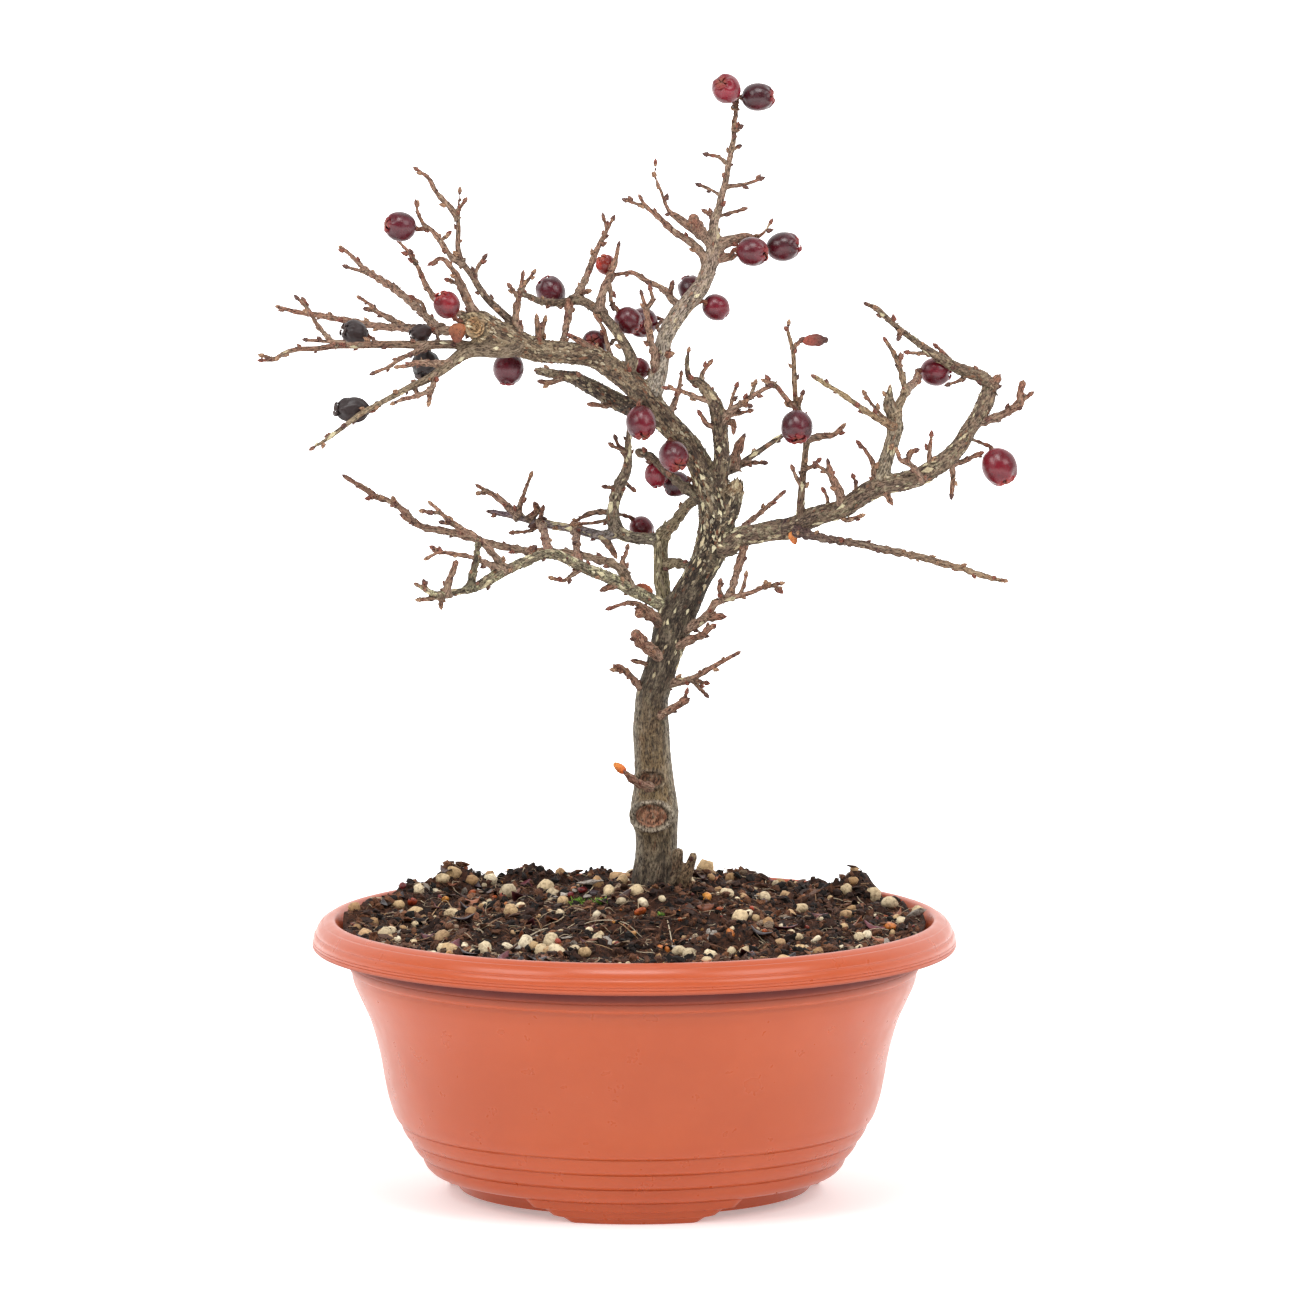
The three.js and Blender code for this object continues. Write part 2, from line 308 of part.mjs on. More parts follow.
// Short spurs and buds: what each grows from, radii, depth of its tip past its root, points (x, z)
const SPURS = [
  ["trunk_twig_top", [1.2, 0.9], -2, [[23, 185], [27.6, 185.4]]],
  ["trunk_twig_top", [0.7, 0.5], -3, [[28.4, 191.4], [27, 194.5], [27.3, 196.4]]],
  ["trunk_twig_top", [0.6, 0.3], 3, [[33.6, 192.6], [34.9, 195.5], [35.5, 198.4]]],
  ["trunk_twig_low", [0.8, 0.5], -3, [[18, 165.2], [20.5, 164.6], [22.6, 164.2]]],
  ["trunk_twig_low", [0.7, 0.5], 2, [[18.6, 165], [20.9, 162.4], [22.6, 160.6]]],
  ["left_stub_low", [0.7, 0.5], -2, [[-3.6, 168.2], [-6.3, 168.4]]],
  ["tan_stub", [0.7, 0.35], 0, [[16, 158.4], [16.6, 160.8]]],
  ["lichen_limb", [1.3, 0.8], -3, [[-5, 196], [-9.5, 194.3]]],
  ["lichen_limb", [0.8, 0.5, 0.35], -8, [[-17, 201], [-20.6, 198.2], [-22.6, 196.9], [-26, 197.7]]],
  ["lichen_limb", [0.9, 0.6], -3, [[-62, 192.4], [-64.6, 191.2], [-68, 190.9]]],
  ["lichen_limb", [1.1, 0.6], 1, [[-61.6, 192.4], [-61.6, 189.4]]],
  ["lichen_fork_high", [0.5, 0.5], 3, [[-62, 218.8], [-64.6, 218.9], [-67, 219.2]]],
  ["trunk", [1.6, 1.0, 0.7, 0.4], -10, [[9, 184.5], [2.4, 188.8], [-1, 190], [-7.4, 188.2]]],
  ["trunk", [1.7, 1.3], -8, [[9, 183], [3.4, 186.8], [1.6, 186.4]]],
  ["crossing_twig", [0.9, 0.8], 1, [[-69.5, 215.6], [-73, 217.3]]],
  ["crossing_twig", [0.7, 0.4], -2, [[-75, 220.8], [-76.4, 222.8]]],
  ["crossing_twig", [1.0, 0.8, 0.6, 0.4], 5, [[-3, 199.4], [-3.8, 203], [-2.9, 205], [-2.3, 207.2]]],
  ["shaded_twig", [0.9, 0.7, 0.35], -3, [[-37, 217.4], [-35.8, 223], [-33, 230.4]]],
  ["shaded_twig", [1.0, 0.9], -3, [[-34, 216.6], [-31, 219.4], [-31.4, 221]]],
  ["shaded_twig", [0.8, 0.5], -2, [[-30, 215.4], [-29.2, 219.6]]],
  ["shaded_twig", [0.6, 0.35], -3, [[-29.6, 215], [-33, 213], [-38.2, 212.4]]],
  ["shaded_twig", [1.1, 0.8], -2, [[-10, 211], [-7.6, 207.8], [-6.4, 205.6]]],
  ["left_upright", [0.9, 0.7, 0.4], 5, [[-7, 219], [-13, 218.8], [-16.5, 217.4], [-19.2, 215.6]]],
  ["left_upright", [0.5, 0.35], -3, [[-7, 216.6], [-13, 215.5], [-18.8, 215]]],
  ["left_upright", [0.7, 0.4], -3, [[-5, 226], [-8.9, 227]]],
  ["left_upright", [0.7, 0.4], 3, [[-3.6, 229], [-0.6, 226.4]]],
  ["left_upright", [0.8, 0.5, 0.3], -4, [[-2.2, 236], [-4.3, 239], [-5.8, 242.3]]],
  ["right_bough", [0.7, 0.3], -3, [[62, 219.5], [61.4, 223.6], [60.4, 225.6]]],
  ["right_bough", [0.6, 0.35], -3, [[70, 223], [70.5, 228], [69.8, 230]]],
  ["right_bough", [0.8, 0.6, 0.3], -5, [[76, 227], [75.7, 235], [74, 238], [71.7, 240.6]]],
  ["right_bough", [0.8, 0.6], -4, [[65, 218.6], [67, 216.4], [71.8, 217.6]]],
  ["right_bough", [1.3, 0.9], -2, [[79.6, 226], [81.3, 222.8]]],
  ["right_bough", [0.9, 0.7, 0.4], -3, [[94, 232.8], [93.9, 238], [94.4, 243.2]]],
  ["right_bough", [1.0, 0.8, 0.6], -2, [[100.4, 235], [101.4, 230], [101, 224.8]]],
  ["right_bough", [0.7, 0.35], -3, [[106, 262.4], [103, 260.8], [100.2, 259.8]]],
  ["right_bough", [0.9, 0.6, 0.35], 3, [[101.4, 265.8], [98.6, 269.4], [96.2, 271.6]]],
  ["right_bough", [0.6, 0.3], -3, [[93.4, 270], [90.4, 269.6], [87.2, 269.9]]],
  ["right_bough", [1.6, 1.2], 1, [[112.4, 258], [115.2, 261.4]]],
  ["right_end_twig", [0.7, 0.5], -2, [[122.6, 254.6], [125.6, 256.4]]],
  ["cluster_twig", [0.8, 0.7], -3, [[86.4, 235.1], [88, 238], [89.4, 238.6]]],
  ["speckled_spur", [0.6, 0.4], -4, [[62.6, 230.8], [60, 232.6], [57.9, 234.2]]],
  ["pale_upright", [0.7, 0.5, 0.35], -6, [[81.6, 247.6], [77.4, 251], [75.4, 253.4], [73.4, 256.5]]],
  ["upright_right", [0.7, 0.5], -2, [[53.4, 227], [51.6, 230], [50.5, 232.6]]],
  ["upright_right", [0.7, 0.5], -4, [[54, 232.6], [56.4, 233.4], [58.4, 235.2]]],
  ["upright_right", [1.1, 0.9, 0.8, 0.6], 4, [[54.6, 242], [60, 243.2], [63.6, 243.8], [66, 246]]],
  ["upright_right", [0.6, 0.5, 0.5], -2, [[50.5, 270.6], [51.4, 272.2], [52.7, 273.6]]],
  ["rear_fork_twig", [1.5, 1.3, 1.0], 0, [[31.4, 233], [32.6, 238.6], [34.4, 242.4]]],
  ["rear_fork_twig", [0.7, 0.5], -6, [[34, 234.6], [38, 234.8], [41.2, 234.7]]],
  ["right_fork_out", [0.7, 0.5, 0.3], -3, [[30.4, 250.6], [31.2, 255.6], [32.4, 259]]],
  ["right_fork_out", [0.6, 0.5], 3, [[37.4, 255.8], [38.3, 259.8]]],
  ["right_fork_out", [0.7, 0.3], -4, [[29.6, 249.8], [33.2, 250.4], [36.4, 251.2]]],
  ["right_fork", [0.9, 0.6], -4, [[26.6, 246], [23.2, 247], [21, 250.2]]],
  ["right_fork", [0.9, 0.7], -3, [[27, 247], [31.4, 247.6], [31.6, 245.4]]],
  ["right_fork", [0.9, 0.7, 0.35], 4, [[21, 260.2], [21.5, 263], [23.9, 266.4]]],
  ["leader", [0.6, 0.5, 0.35], -4, [[30, 329], [26.8, 332], [23.3, 332.8]]],
  ["leader", [0.5, 0.3], 3, [[28.2, 319.4], [24.1, 321.7], [21, 323]]],
  ["leader", [0.6, 0.35], -3, [[28.8, 322.6], [35.7, 323.6], [39.7, 325]]],
  ["leader", [0.5, 0.35], 3, [[26.2, 312.8], [29.9, 314.2], [34.2, 315.4]]],
  ["leader", [0.8, 0.6], 2, [[25.6, 312.6], [22.8, 314.6]]],
  ["leader", [1.5, 1.1], -2, [[9.4, 269], [11.4, 269.4]]],
  ["side_twig_leader", [0.8, 0.7], -2, [[11.4, 287.8], [12, 291.4]]],
  ["inner_upright", [0.7, 0.4], 2, [[3.8, 283.6], [5.8, 286.6], [5.2, 289.8]]],
  ["tall_twig", [0.5, 0.4], 3, [[-10.6, 305.2], [-7, 312]]],
  ["spur_cluster", [0.7, 0.4], -3, [[-36.6, 287.6], [-39.3, 290.8]]],
  ["spur_cluster", [0.7, 0.4], 3, [[-36.2, 289.6], [-32.2, 295]]],
  ["upper_left_bough", [0.8, 0.7], -2, [[-29.8, 272], [-30.6, 276.6], [-30.9, 280.4]]],
  ["upper_left_bough", [0.7, 0.6], 2, [[-28.6, 272], [-29.2, 276], [-28.4, 280]]],
  ["upper_left_bough", [1.4, 0.7], -2, [[-13, 270], [-17.2, 273.4], [-20, 275]]],
  ["dark_bough", [0.9, 0.7], -3, [[-22, 262], [-26.6, 260.4], [-29.2, 260.6]]],
  ["dark_bough", [0.8, 0.6], -4, [[-5.6, 253.6], [-9, 253], [-13.4, 253.3]]],
  ["upright_left", [0.6, 0.5], 3, [[-50.8, 293], [-49.7, 297], [-47.7, 299.9]]],
  ["knot_top_twig", [0.7, 0.5], 3, [[-55.6, 291.4], [-58.9, 292.9]]],
  ["left_twig_steep", [0.6, 0.3], 4, [[-84, 295.2], [-87, 295.8], [-91, 297.1]]],
  ["left_twig_steep", [0.6, 0.4], -3, [[-66, 282.4], [-67, 285.2], [-70, 287.2]]],
  ["knot_twig", [0.6, 0.4], -2, [[-69.4, 298.4], [-70.6, 301.4]]],
  ["left_twig_end_fork", [0.5, 0.3], 3, [[-102.6, 282.2], [-104.8, 286.2]]],
  ["pale_fork_low", [0.7, 0.5], -2, [[-64.2, 258], [-65.2, 254.3]]],
];

// Berries: where each is seen, depth, radius, length over width, way the calyx points, what carries it,
// where its stalk starts, and its colour
const BERRIES = [
  [[-73.8, 309.9], -12, 4.7, 1.0, [-0.95, -0.25, 0.15], "berry_twig_left", [-65.6, 309.6], "dark"],
  [[-59.3, 284.8], -21, 4.2, 0.98, [-0.5, -0.2, 0.85], "upper_left_bough", [-53, 280.4], "bright"],
  [[-88.5, 276], -6, 4.5, 0.95, [-0.9, -0.3, 0.3], "level_left_twig", [-82, 272.6], "black"],
  [[-67.5, 276.2], -9, 3.2, 1.1, [-0.9, -0.3, -0.2], "level_left_twig", [-62, 272.6], "black"],
  [[-66.3, 266.4], -6, 4.9, 0.95, [-0.2, -0.4, -0.9], "level_left_twig", [-65.6, 272], "black"],
  [[-89.3, 251.6], -37, 4.4, 1.25, [-0.97, -0.2, 0.05], "pale_left_twig", [-81.4, 253.2], "black"],
  [[-26.3, 288.9], 23, 4.7, 1.0, [-0.5, 0.3, 0.8], "arched_limb", [-22.4, 286], "dark"],
  [[-8.9, 297.7], 21, 3.2, 1.0, [-0.5, -0.3, 0.8], "berry_twig_mid", [-8.8, 291.8], "orange"],
  [[-2.2, 280.3], 12, 4.3, 0.98, [0.7, -0.1, -0.7], "drooping_stalk", [-7.3, 285.6], "bright"],
  [[2.9, 279.6], 21, 4.8, 0.95, [-0.5, -0.8, -0.2], "leader", [9.2, 274], "dark"],
  [[-12.5, 272.7], 13, 4.3, 0.95, [-0.15, -0.9, 0.25], "arched_limb", [-4.4, 274.8], "dark"],
  [[2.1, 247.9], -10.5, 4.75, 1.08, [0.12, -0.5, -0.86], "upper_left_bough", [3.4, 256], "dark"],
  [[-40, 265.1], 2.5, 4.9, 0.98, [-0.1, 0.1, -1], "upper_left_bough", [-37, 272.8], "dark"],
  [[29.3, 353.5], 8, 4.6, 0.98, [-0.4, -0.75, 0.5], "leader", [31.9, 347.8], "dark"],
  [[38.8, 351], 12, 4.5, 1.1, [0.98, -0.15, 0.05], "leader", [32, 346.6], "dark"],
  [[37.1, 302], 3.5, 4.7, 1.0, [0.95, -0.3, -0.1], "dark_stub", [30.6, 300.4], "dark"],
  [[46.9, 303.5], 11, 4.7, 1.08, [0.95, -0.1, 0.15], "leader_knob", [34.8, 306.8], "dark"],
  [[25.7, 284.4], 10, 4.2, 0.98, [0.75, 0.5, -0.4], "leader", [14.6, 282.6], "dark"],
  [[18.3, 289.8], 18, 4.2, 0.98, [-0.5, 0.5, 0.7], "leader", [17.6, 286.6], "dark"],
  [[1.6, 264.7], 8.5, 3.5, 0.98, [-0.9, 0.3, 0.3], "leader", [7.4, 262], "dark"],
  [[51.6, 246.5], -18.5, 5.1, 0.98, [0.1, -0.6, -0.8], "right_fork_out", [50, 253.4], "dark"],
  [[12.4, 237.1], -8, 4.7, 1.05, [0.35, -0.75, -0.55], "upper_left_bough", [13.4, 244.4], "dark"],
  [[115.9, 233.8], -7, 5.6, 1.02, [0.42, -0.25, -0.88], "right_bough", [105.4, 242.8], "bright"],
  [[95.3, 263.8], 13.3, 4.6, 1.0, [0.97, 0.2, -0.1], "berry_fork", [90, 261.8], "dark"],
  [[2.1, 213.9], 31, 3.9, 1.0, [0.7, 0.1, -0.7], "left_upright", [-6.6, 218.8], "bright"],
  [[7.1, 231.3], 12.8, 3.9, 1.0, [0.1, 0.3, -0.95], "berry_link", [6.2, 235.6], "dark"],
  [[13.7, 228], 18.5, 4.1, 1.0, [-0.9, 0.1, -0.3], "trunk", [22, 228.6], "dark"],
];
const BERRY_SIDES = 10;
const STALK_RADIUS = 0.5;
const STALK_PITCH = 2.8;

// Dry leaves and bracts held in the branches, and the bud on the trunk: place, depth, half-sizes
// along, across and through, slope in degrees from level, turn about the upright, colour
const DRY_PIECES = [
  ["trunk_bud", [-4.7, 136.8], -3, [2.5, 1.35, 1.1], 39, 180, "orange"],
  ["dry_leaf_fork", [3, 194.2], 8, [3.2, 1.8, 0.45], -28, 20, "rust"],
  ["dry_leaf_knot", [-56.1, 276.2], -17.2, [3.2, 2.6, 0.45], 80, 10, "rust"],
  ["dry_leaf_right", [50.6, 210.6], -10.1, [2.2, 1.3, 0.45], 110, 0, "orange"],
  ["dry_husk", [57.5, 273.8], -13.5, [4.2, 2.1, 2.0], 3, 0, "rust"],
];

// Colours
const COLOURS = {
  pot: 0xd06a45,
  soil: 0x2d211b,
  wood: 0x6b5a48,
  dark: 0x5e1520,
  bright: 0xa31c2a,
  black: 0x241c24,
  orange: 0xd8703c,
  rust: 0x8a4a2c,
};
const material = (colour, roughness) =>
  new THREE.MeshStandardMaterial({ color: colour, roughness, metalness: 0 });
const MATERIALS = {
  pot: material(COLOURS.pot, 0.45),
  soil: material(COLOURS.soil, 0.95),
  wood: material(COLOURS.wood, 0.85),
  dark: material(COLOURS.dark, 0.35),
  bright: material(COLOURS.bright, 0.35),
  black: material(COLOURS.black, 0.6),
  orange: material(COLOURS.orange, 0.5),
  rust: material(COLOURS.rust, 0.7),
};

const degrees = THREE.MathUtils.degToRad;

// A closed geometry as a solid that can be joined and cut
function solid(geometry) {
  const bare = geometry.clone();
  bare.deleteAttribute("normal");
  bare.deleteAttribute("uv");
  const merged = mergeVertices(bare, 1e-4);
  const mesh = new wasm.Mesh({
    numProp: 3,
    vertProperties: new Float32Array(merged.attributes.position.array),
    triVerts: new Uint32Array(merged.index.array),
  });
  return new wasm.Manifold(mesh);
}

// A solid back as a geometry
function geometryOf(made) {
  const mesh = made.getMesh();
  return new THREE.BufferGeometry()
    .setAttribute("position", new THREE.BufferAttribute(mesh.vertProperties, 3))
    .setIndex(new THREE.BufferAttribute(mesh.triVerts, 1));
}

// The one body of a joined solid: hollows that the joining sealed are filled, and loose scraps dropped
function whole(made) {
  const bodies = made.decompose().sort((a, b) => b.volume() - a.volume());
  return bodies[0];
}

// A closed skin over rings of points: neighbouring rings are joined, and each end is closed by a fan
function skin(rings) {
  const sides = rings[0].length;
  const points = rings.flat();
  const index = [];
  for (let i = 0; i < rings.length - 1; i++) {
    for (let j = 0; j < sides; j++) {
      const a = i * sides + j;
      const b = i * sides + ((j + 1) % sides);
      index.push(a, b, b + sides, a, b + sides, a + sides);
    }
  }
  const last = (rings.length - 1) * sides;
  for (let j = 1; j < sides - 1; j++) {
    index.push(0, j + 1, j);
    index.push(last, last + j, last + j + 1);
  }
  return new THREE.BufferGeometry().setFromPoints(points).setIndex(index);
}

// A profile of [radius, height] turned about the Z axis
function turned(profile, sides) {
  const points = profile.map(([r, z]) => new THREE.Vector2(r, z));
  return new THREE.LatheGeometry(points, sides).rotateX(Math.PI / 2);
}

// A value read off a list that is spread evenly over 0..1
function spread(list, t) {
  const at = t * (list.length - 1);
  const low = Math.min(Math.floor(at), list.length - 1);
  const high = Math.min(low + 1, list.length - 1);
  return THREE.MathUtils.lerp(list[low], list[high], at - low);
}

// From front-plane x and z with a depth to a place in space, and back
function place(x, z, depth) {
  const k = 1 - depth / VIEW_POINT.y;
  const across = VIEW_POINT.x + (x - VIEW_POINT.x) * k;
  const up = VIEW_POINT.z + (z - VIEW_POINT.z) * k;
  return new THREE.Vector3(across, depth, up);
}
function seenFromFront(p) {
  const k = 1 - p.y / VIEW_POINT.y;
  return [VIEW_POINT.x + (p.x - VIEW_POINT.x) / k, VIEW_POINT.z + (p.z - VIEW_POINT.z) / k];
}

// The pot

function foot(turn) {
  const half = FOOT_SIDE.map(([x, z]) => new THREE.Vector2(x, z));
  const other = half.map((p) => new THREE.Vector2(-p.x, p.y)).reverse();
  const front = new THREE.ExtrudeGeometry(new THREE.Shape([...half, ...other]), {
    depth: RIM_RADIUS - FOOT_BACK,
    bevelEnabled: false,
  });
  front.rotateX(Math.PI / 2).translate(0, -FOOT_BACK, 0);
  const bowl = [[0, FOOT_TOP], ...FOOT_FACE, [0, 0]].reverse();
  const made = solid(front).intersect(solid(turned(bowl, POT_SIDES)));
  return made.rotate([0, 0, turn]);
}

function pot() {
  const profile = [[0, FLOOR_UNDERSIDE], ...[...BASE_RING].reverse(), ...POT_OUTSIDE, ...POT_INSIDE,
    [0, FLOOR_TOP]];
  let made = solid(turned(profile, POT_SIDES));
  for (let i = 0; i < FOOT_COUNT; i++) {
    made = made.add(foot((i * 360) / FOOT_COUNT));
  }
  for (let i = 0; i < DRAIN_COUNT; i++) {
    const drill = new THREE.CylinderGeometry(DRAIN_RADIUS, DRAIN_RADIUS, DRILL_LENGTH, 12).rotateX(Math.PI / 2);
    const turn = degrees((i * 360) / DRAIN_COUNT);
    drill.translate(DRAIN_CIRCLE * Math.cos(turn), DRAIN_CIRCLE * Math.sin(turn), FLOOR_TOP);
    made = made.subtract(solid(drill));
  }
  return made;
}

// The soil

// Height of the soil: a mound round the trunk, lumps from crossed waves, and clumps heaped at the back
const CLUMPS = [
  [-58, 66, 9, 9], [71, 54, 8, 8], [-36, 78, 7, 5], [38, 76, 8, 4], [20, 34, 10, 5], [-88, 8, 7, 3],
  [36, -40, 11, 4], [-50, -30, 12, 3], [64, -14, 9, 3], [-16, -58, 12, 2.5], [4, 80, 9, 3],
];
function soilHeight(x, y) {
  const fromTrunk = Math.hypot(x - 6, y - 10);
  let z = SOIL_EDGE_HEIGHT + SOIL_MOUND * Math.exp(-((fromTrunk / SOIL_MOUND_WIDTH) ** 2));
  z += 1.1 * Math.sin(x * 0.21 + 1.3) * Math.cos(y * 0.17) + 0.8 * Math.sin(x * 0.11 - y * 0.26 + 0.7);
  for (const [cx, cy, width, height] of CLUMPS) {
    z += height * Math.exp(-((x - cx) ** 2 + (y - cy) ** 2) / width ** 2);
  }
  return z;
}

// The soil's radius at a height: the pot's inside less the gap
function soilRadius(z) {
  const inside = POT_INSIDE;
  for (let i = 0; i < inside.length - 1; i++) {
    const [r0, z0] = inside[i];
    const [r1, z1] = inside[i + 1];
    if (z <= z0 && z >= z1) {
      return THREE.MathUtils.lerp(r1, r0, (z - z1) / (z0 - z1)) - 2 * GAP;
    }
  }
  return inside[0][0] - 2 * GAP;
}

function soilBody() {
  const ring = (radius, height) =>
    Array.from({ length: SOIL_SIDES }, (_, j) => {
      const turn = (j * 2 * Math.PI) / SOIL_SIDES;
      const x = radius * Math.cos(turn);
      const y = radius * Math.sin(turn);
      return new THREE.Vector3(x, y, height ?? soilHeight(x, y));
    });
  const rings = POT_INSIDE.slice(1)
    .reverse()
    .map(([, z], i) => ring(soilRadius(z), z + (i === 0 ? GAP : 0)));
  const edge = soilRadius(80);
  for (let i = 0; i < SOIL_RINGS; i++) {
    rings.push(ring(edge * (1 - i / SOIL_RINGS) ** 0.85));
  }
  return solid(skin(rings));
}

// Pumice grains half sunk in the soil, set out on a sunflower spiral
function grains() {
  const made = [];
  for (let i = 0; i < GRAIN_COUNT; i++) {
    const reach = GRAIN_LAST_RADIUS - GRAIN_FIRST_RADIUS;
    const out = GRAIN_FIRST_RADIUS + reach * Math.sqrt((i + 0.5) / GRAIN_COUNT);
    const turn = degrees(GRAIN_TURN * i + 40);
    const x = 6 + (out - 5) * Math.cos(turn);
    const y = out * Math.sin(turn);
    if (Math.hypot(x, y) > GRAIN_LIMIT) continue;
    const size = GRAIN_SMALLEST + GRAIN_SPREAD * ((i * 0.618) % 1);
    const stone = new THREE.OctahedronGeometry(size).scale(1.25, 0.95, 0.8);
    stone.rotateZ(i * 1.9).rotateX(0.5 * Math.sin(i * 2.3));
    stone.translate(x, y, soilHeight(x, y) + 0.15 * size);
    made.push(solid(stone));
  }
  return made;
}

// The tree

const grown = new Map();

// The point of a limb that is seen nearest to x and z
function nearestOn(name, [x, z]) {
  let best = null;
  for (const point of grown.get(name)) {
    const [px, pz] = seenFromFront(point);
    const distance = Math.hypot(px - x, pz - z);
    if (!best || distance < best.distance) best = { distance, point };
  }
  return best.point;
}

// Distance between the rings of a limb
function limbPitch(thickest) {
  return thickest > 4.5 ? 5.5 : thickest > 2.6 ? 6.5 : 8;
}

// A round limb along a curve. Thick wood has more sides, and its section swells and ripples a little.
function limbSolid(curve, radiusAt, thickest, pitch = limbPitch(thickest)) {
  const sides = thickest > 4.5 ? 10 : thickest > 2.6 ? 7 : thickest > 1.7 ? 5 : thickest > 0.85 ? 4 : 3;
  const steps = Math.max(1, Math.round(curve.getLength() / pitch));
  const frames = curve.computeFrenetFrames(steps, false);
  const rings = [];
  for (let i = 0; i <= steps; i++) {
    const centre = curve.getPointAt(i / steps);
    const radius = radiusAt(curve.getUtoTmapping(i / steps));
    const ring = [];
    for (let j = 0; j < sides; j++) {
      const turn = (j * 2 * Math.PI) / sides;
      const ripple = thickest > 2.6 ? 1 + 0.06 * Math.sin(3 * turn + 0.9 * i) : 1;
      const out = new THREE.Vector3()
        .addScaledVector(frames.normals[i], Math.cos(turn))
        .addScaledVector(frames.binormals[i], Math.sin(turn));
      ring.push(centre.clone().addScaledVector(out, radius * ripple));
    }
    rings.push(ring);
  }
  return solid(skin(rings));
}

// Grows one limb from the nearest point of what carries it, and keeps its course for its own shoots
function grow(name, parent, radii, depths, points, ends) {
  const seen = points.map(([x, z]) => new THREE.Vector2(x, z));
  const rows = [];
  let course = depths;
  if (parent) {
    const root = nearestOn(parent, points[0]);
    const [x, z] = seenFromFront(root);
    course = [root.y, ...depths];
    rows.push(new THREE.Vector2(x, z));
    rows.push(...seen.filter((p) => p.distanceTo(rows[0]) > 1.2));
  } else {
    rows.push(...seen);
  }
  if (ends) {
    const end = nearestOn(ends, points[points.length - 1]);
    const [x, z] = seenFromFront(end);
    course = [...course.slice(0, -1), end.y];
    rows[rows.length - 1] = new THREE.Vector2(x, z);
  }
  const last = rows.length - 1;
  const placed = rows.map((p, i) => place(p.x, p.y, spread(course, i / last)));
  const curve = new THREE.CatmullRomCurve3(placed, false, "centripetal");
  const radiusAt = (t) => spread(radii, t);
  const samples = curve.getSpacedPoints(Math.max(8, Math.round(curve.getLength())));
  if (name) grown.set(name, samples);
  return limbSolid(curve, radiusAt, Math.max(...radii));
}

// Callus rings round old cuts: centre, depth, ring radii across and up, thickness
const SCARS = [
  [[5.8, 121.6], 5.2, 5.0, 3.9, 1.7],
  [[5.2, 133.6], 6.9, 3.0, 2.0, 1.2],
  [[-50.6, 278.4], -16.4, 2.5, 2.9, 1.1],
];
function scar([[x, z], depth, across, up, thickness]) {
  const ring = new THREE.TorusGeometry(1, thickness / across, 4, 9);
  ring.scale(across, up, across * 0.7).rotateX(Math.PI / 2);
  const at = place(x, z, depth);
  return solid(ring.translate(at.x, at.y, at.z));
}

// Berries

const unit = (v) => new THREE.Vector3(...v).normalize();

// A berry about its own axis, which runs from the stalk at the bottom to the calyx at the top: an egg
// shape whose top ring rises in five lobes round a dimple. Black ones have dried and are creased.
function berryGeometry(radius, stretch, dried) {
  const half = radius * stretch;
  const profile = [[0.32, -0.96, 0], [0.87, -0.5, 0], [0.93, 0.38, 0], [0.42, 0.92, 0], [0.3, 1.06, 1]];
  const rings = profile.map(([out, up, lobed]) =>
    Array.from({ length: BERRY_SIDES }, (_, j) => {
      const turn = (j * 2 * Math.PI) / BERRY_SIDES;
      const lobe = lobed && j % 2 ? -0.14 : 0;
      const crease = dried && j % 2 ? 0.88 : 1;
      const r = radius * out * crease;
      return new THREE.Vector3(r * Math.cos(turn), r * Math.sin(turn), half * (up + lobe));
    }),
  );
  return skin(rings);
}

// The stalk leaves its limb, bends, and stops one gap short of the berry's lower end
function stalk(centre, radius, stretch, calyx, parent, start) {
  const root = nearestOn(parent, start);
  const end = centre.clone().addScaledVector(calyx, -(radius * stretch * 0.97 + GAP));
  const before = end.clone().addScaledVector(calyx, -1.2);
  const clear = radius * Math.max(1, stretch) + 1.4;
  const bends = [0.35, 0.6, 0.85].map((t) => {
    const away = root.clone().lerp(before, t).sub(centre);
    return away.setLength(Math.max(clear, away.length())).add(centre);
  });
  const curve = new THREE.CatmullRomCurve3([root, ...bends, before, end], false, "centripetal");
  return limbSolid(curve, () => STALK_RADIUS, STALK_RADIUS, STALK_PITCH);
}

// Dry leaves: a flat pointed oval, bent along its length
function dryGeometry([along, across, through]) {
  const rows = [[-1, 0.12], [-0.6, 0.8], [0, 1], [0.55, 0.72], [1, 0.1]];
  const rings = rows.map(([t, width]) =>
    Array.from({ length: 6 }, (_, j) => {
      const turn = (j * Math.PI) / 3;
      const thick = Math.max(width, through < 1 ? 0.75 : width);
      const sag = through < 1 ? 0.25 * across * t * t : 0;
      return new THREE.Vector3(
        along * t,
        through * thick * Math.sin(turn) - sag,
        across * width * Math.cos(turn),
      );
    }),
  );
  return skin(rings.reverse());
}

// Everything put together

const bonsai = new THREE.Group();
function add(name, geometry, finish) {
  const mesh = new THREE.Mesh(geometry, finish);
  mesh.name = name;
  bonsai.add(mesh);
  return mesh;
}

add("pot", geometryOf(pot()), MATERIALS.pot);

const wood = [];
for (const row of LIMBS) wood.push(grow(...row));
for (const [parent, radii, reach, points] of SPURS) {
  const depth = nearestOn(parent, points[0]).y + reach;
  wood.push(grow(null, parent, radii, [depth], points));
}
for (const row of SCARS) wood.push(scar(row));
const berries = BERRIES.map(([[x, z], depth, radius, stretch, way, parent, start, colour]) => {
  const centre = place(x, z, depth);
  const calyx = unit(way);
  wood.push(stalk(centre, radius, stretch, calyx, parent, start));
  return { centre, radius, stretch, calyx, colour };
});
add("tree", geometryOf(whole(wasm.Manifold.union(wood))), MATERIALS.wood);

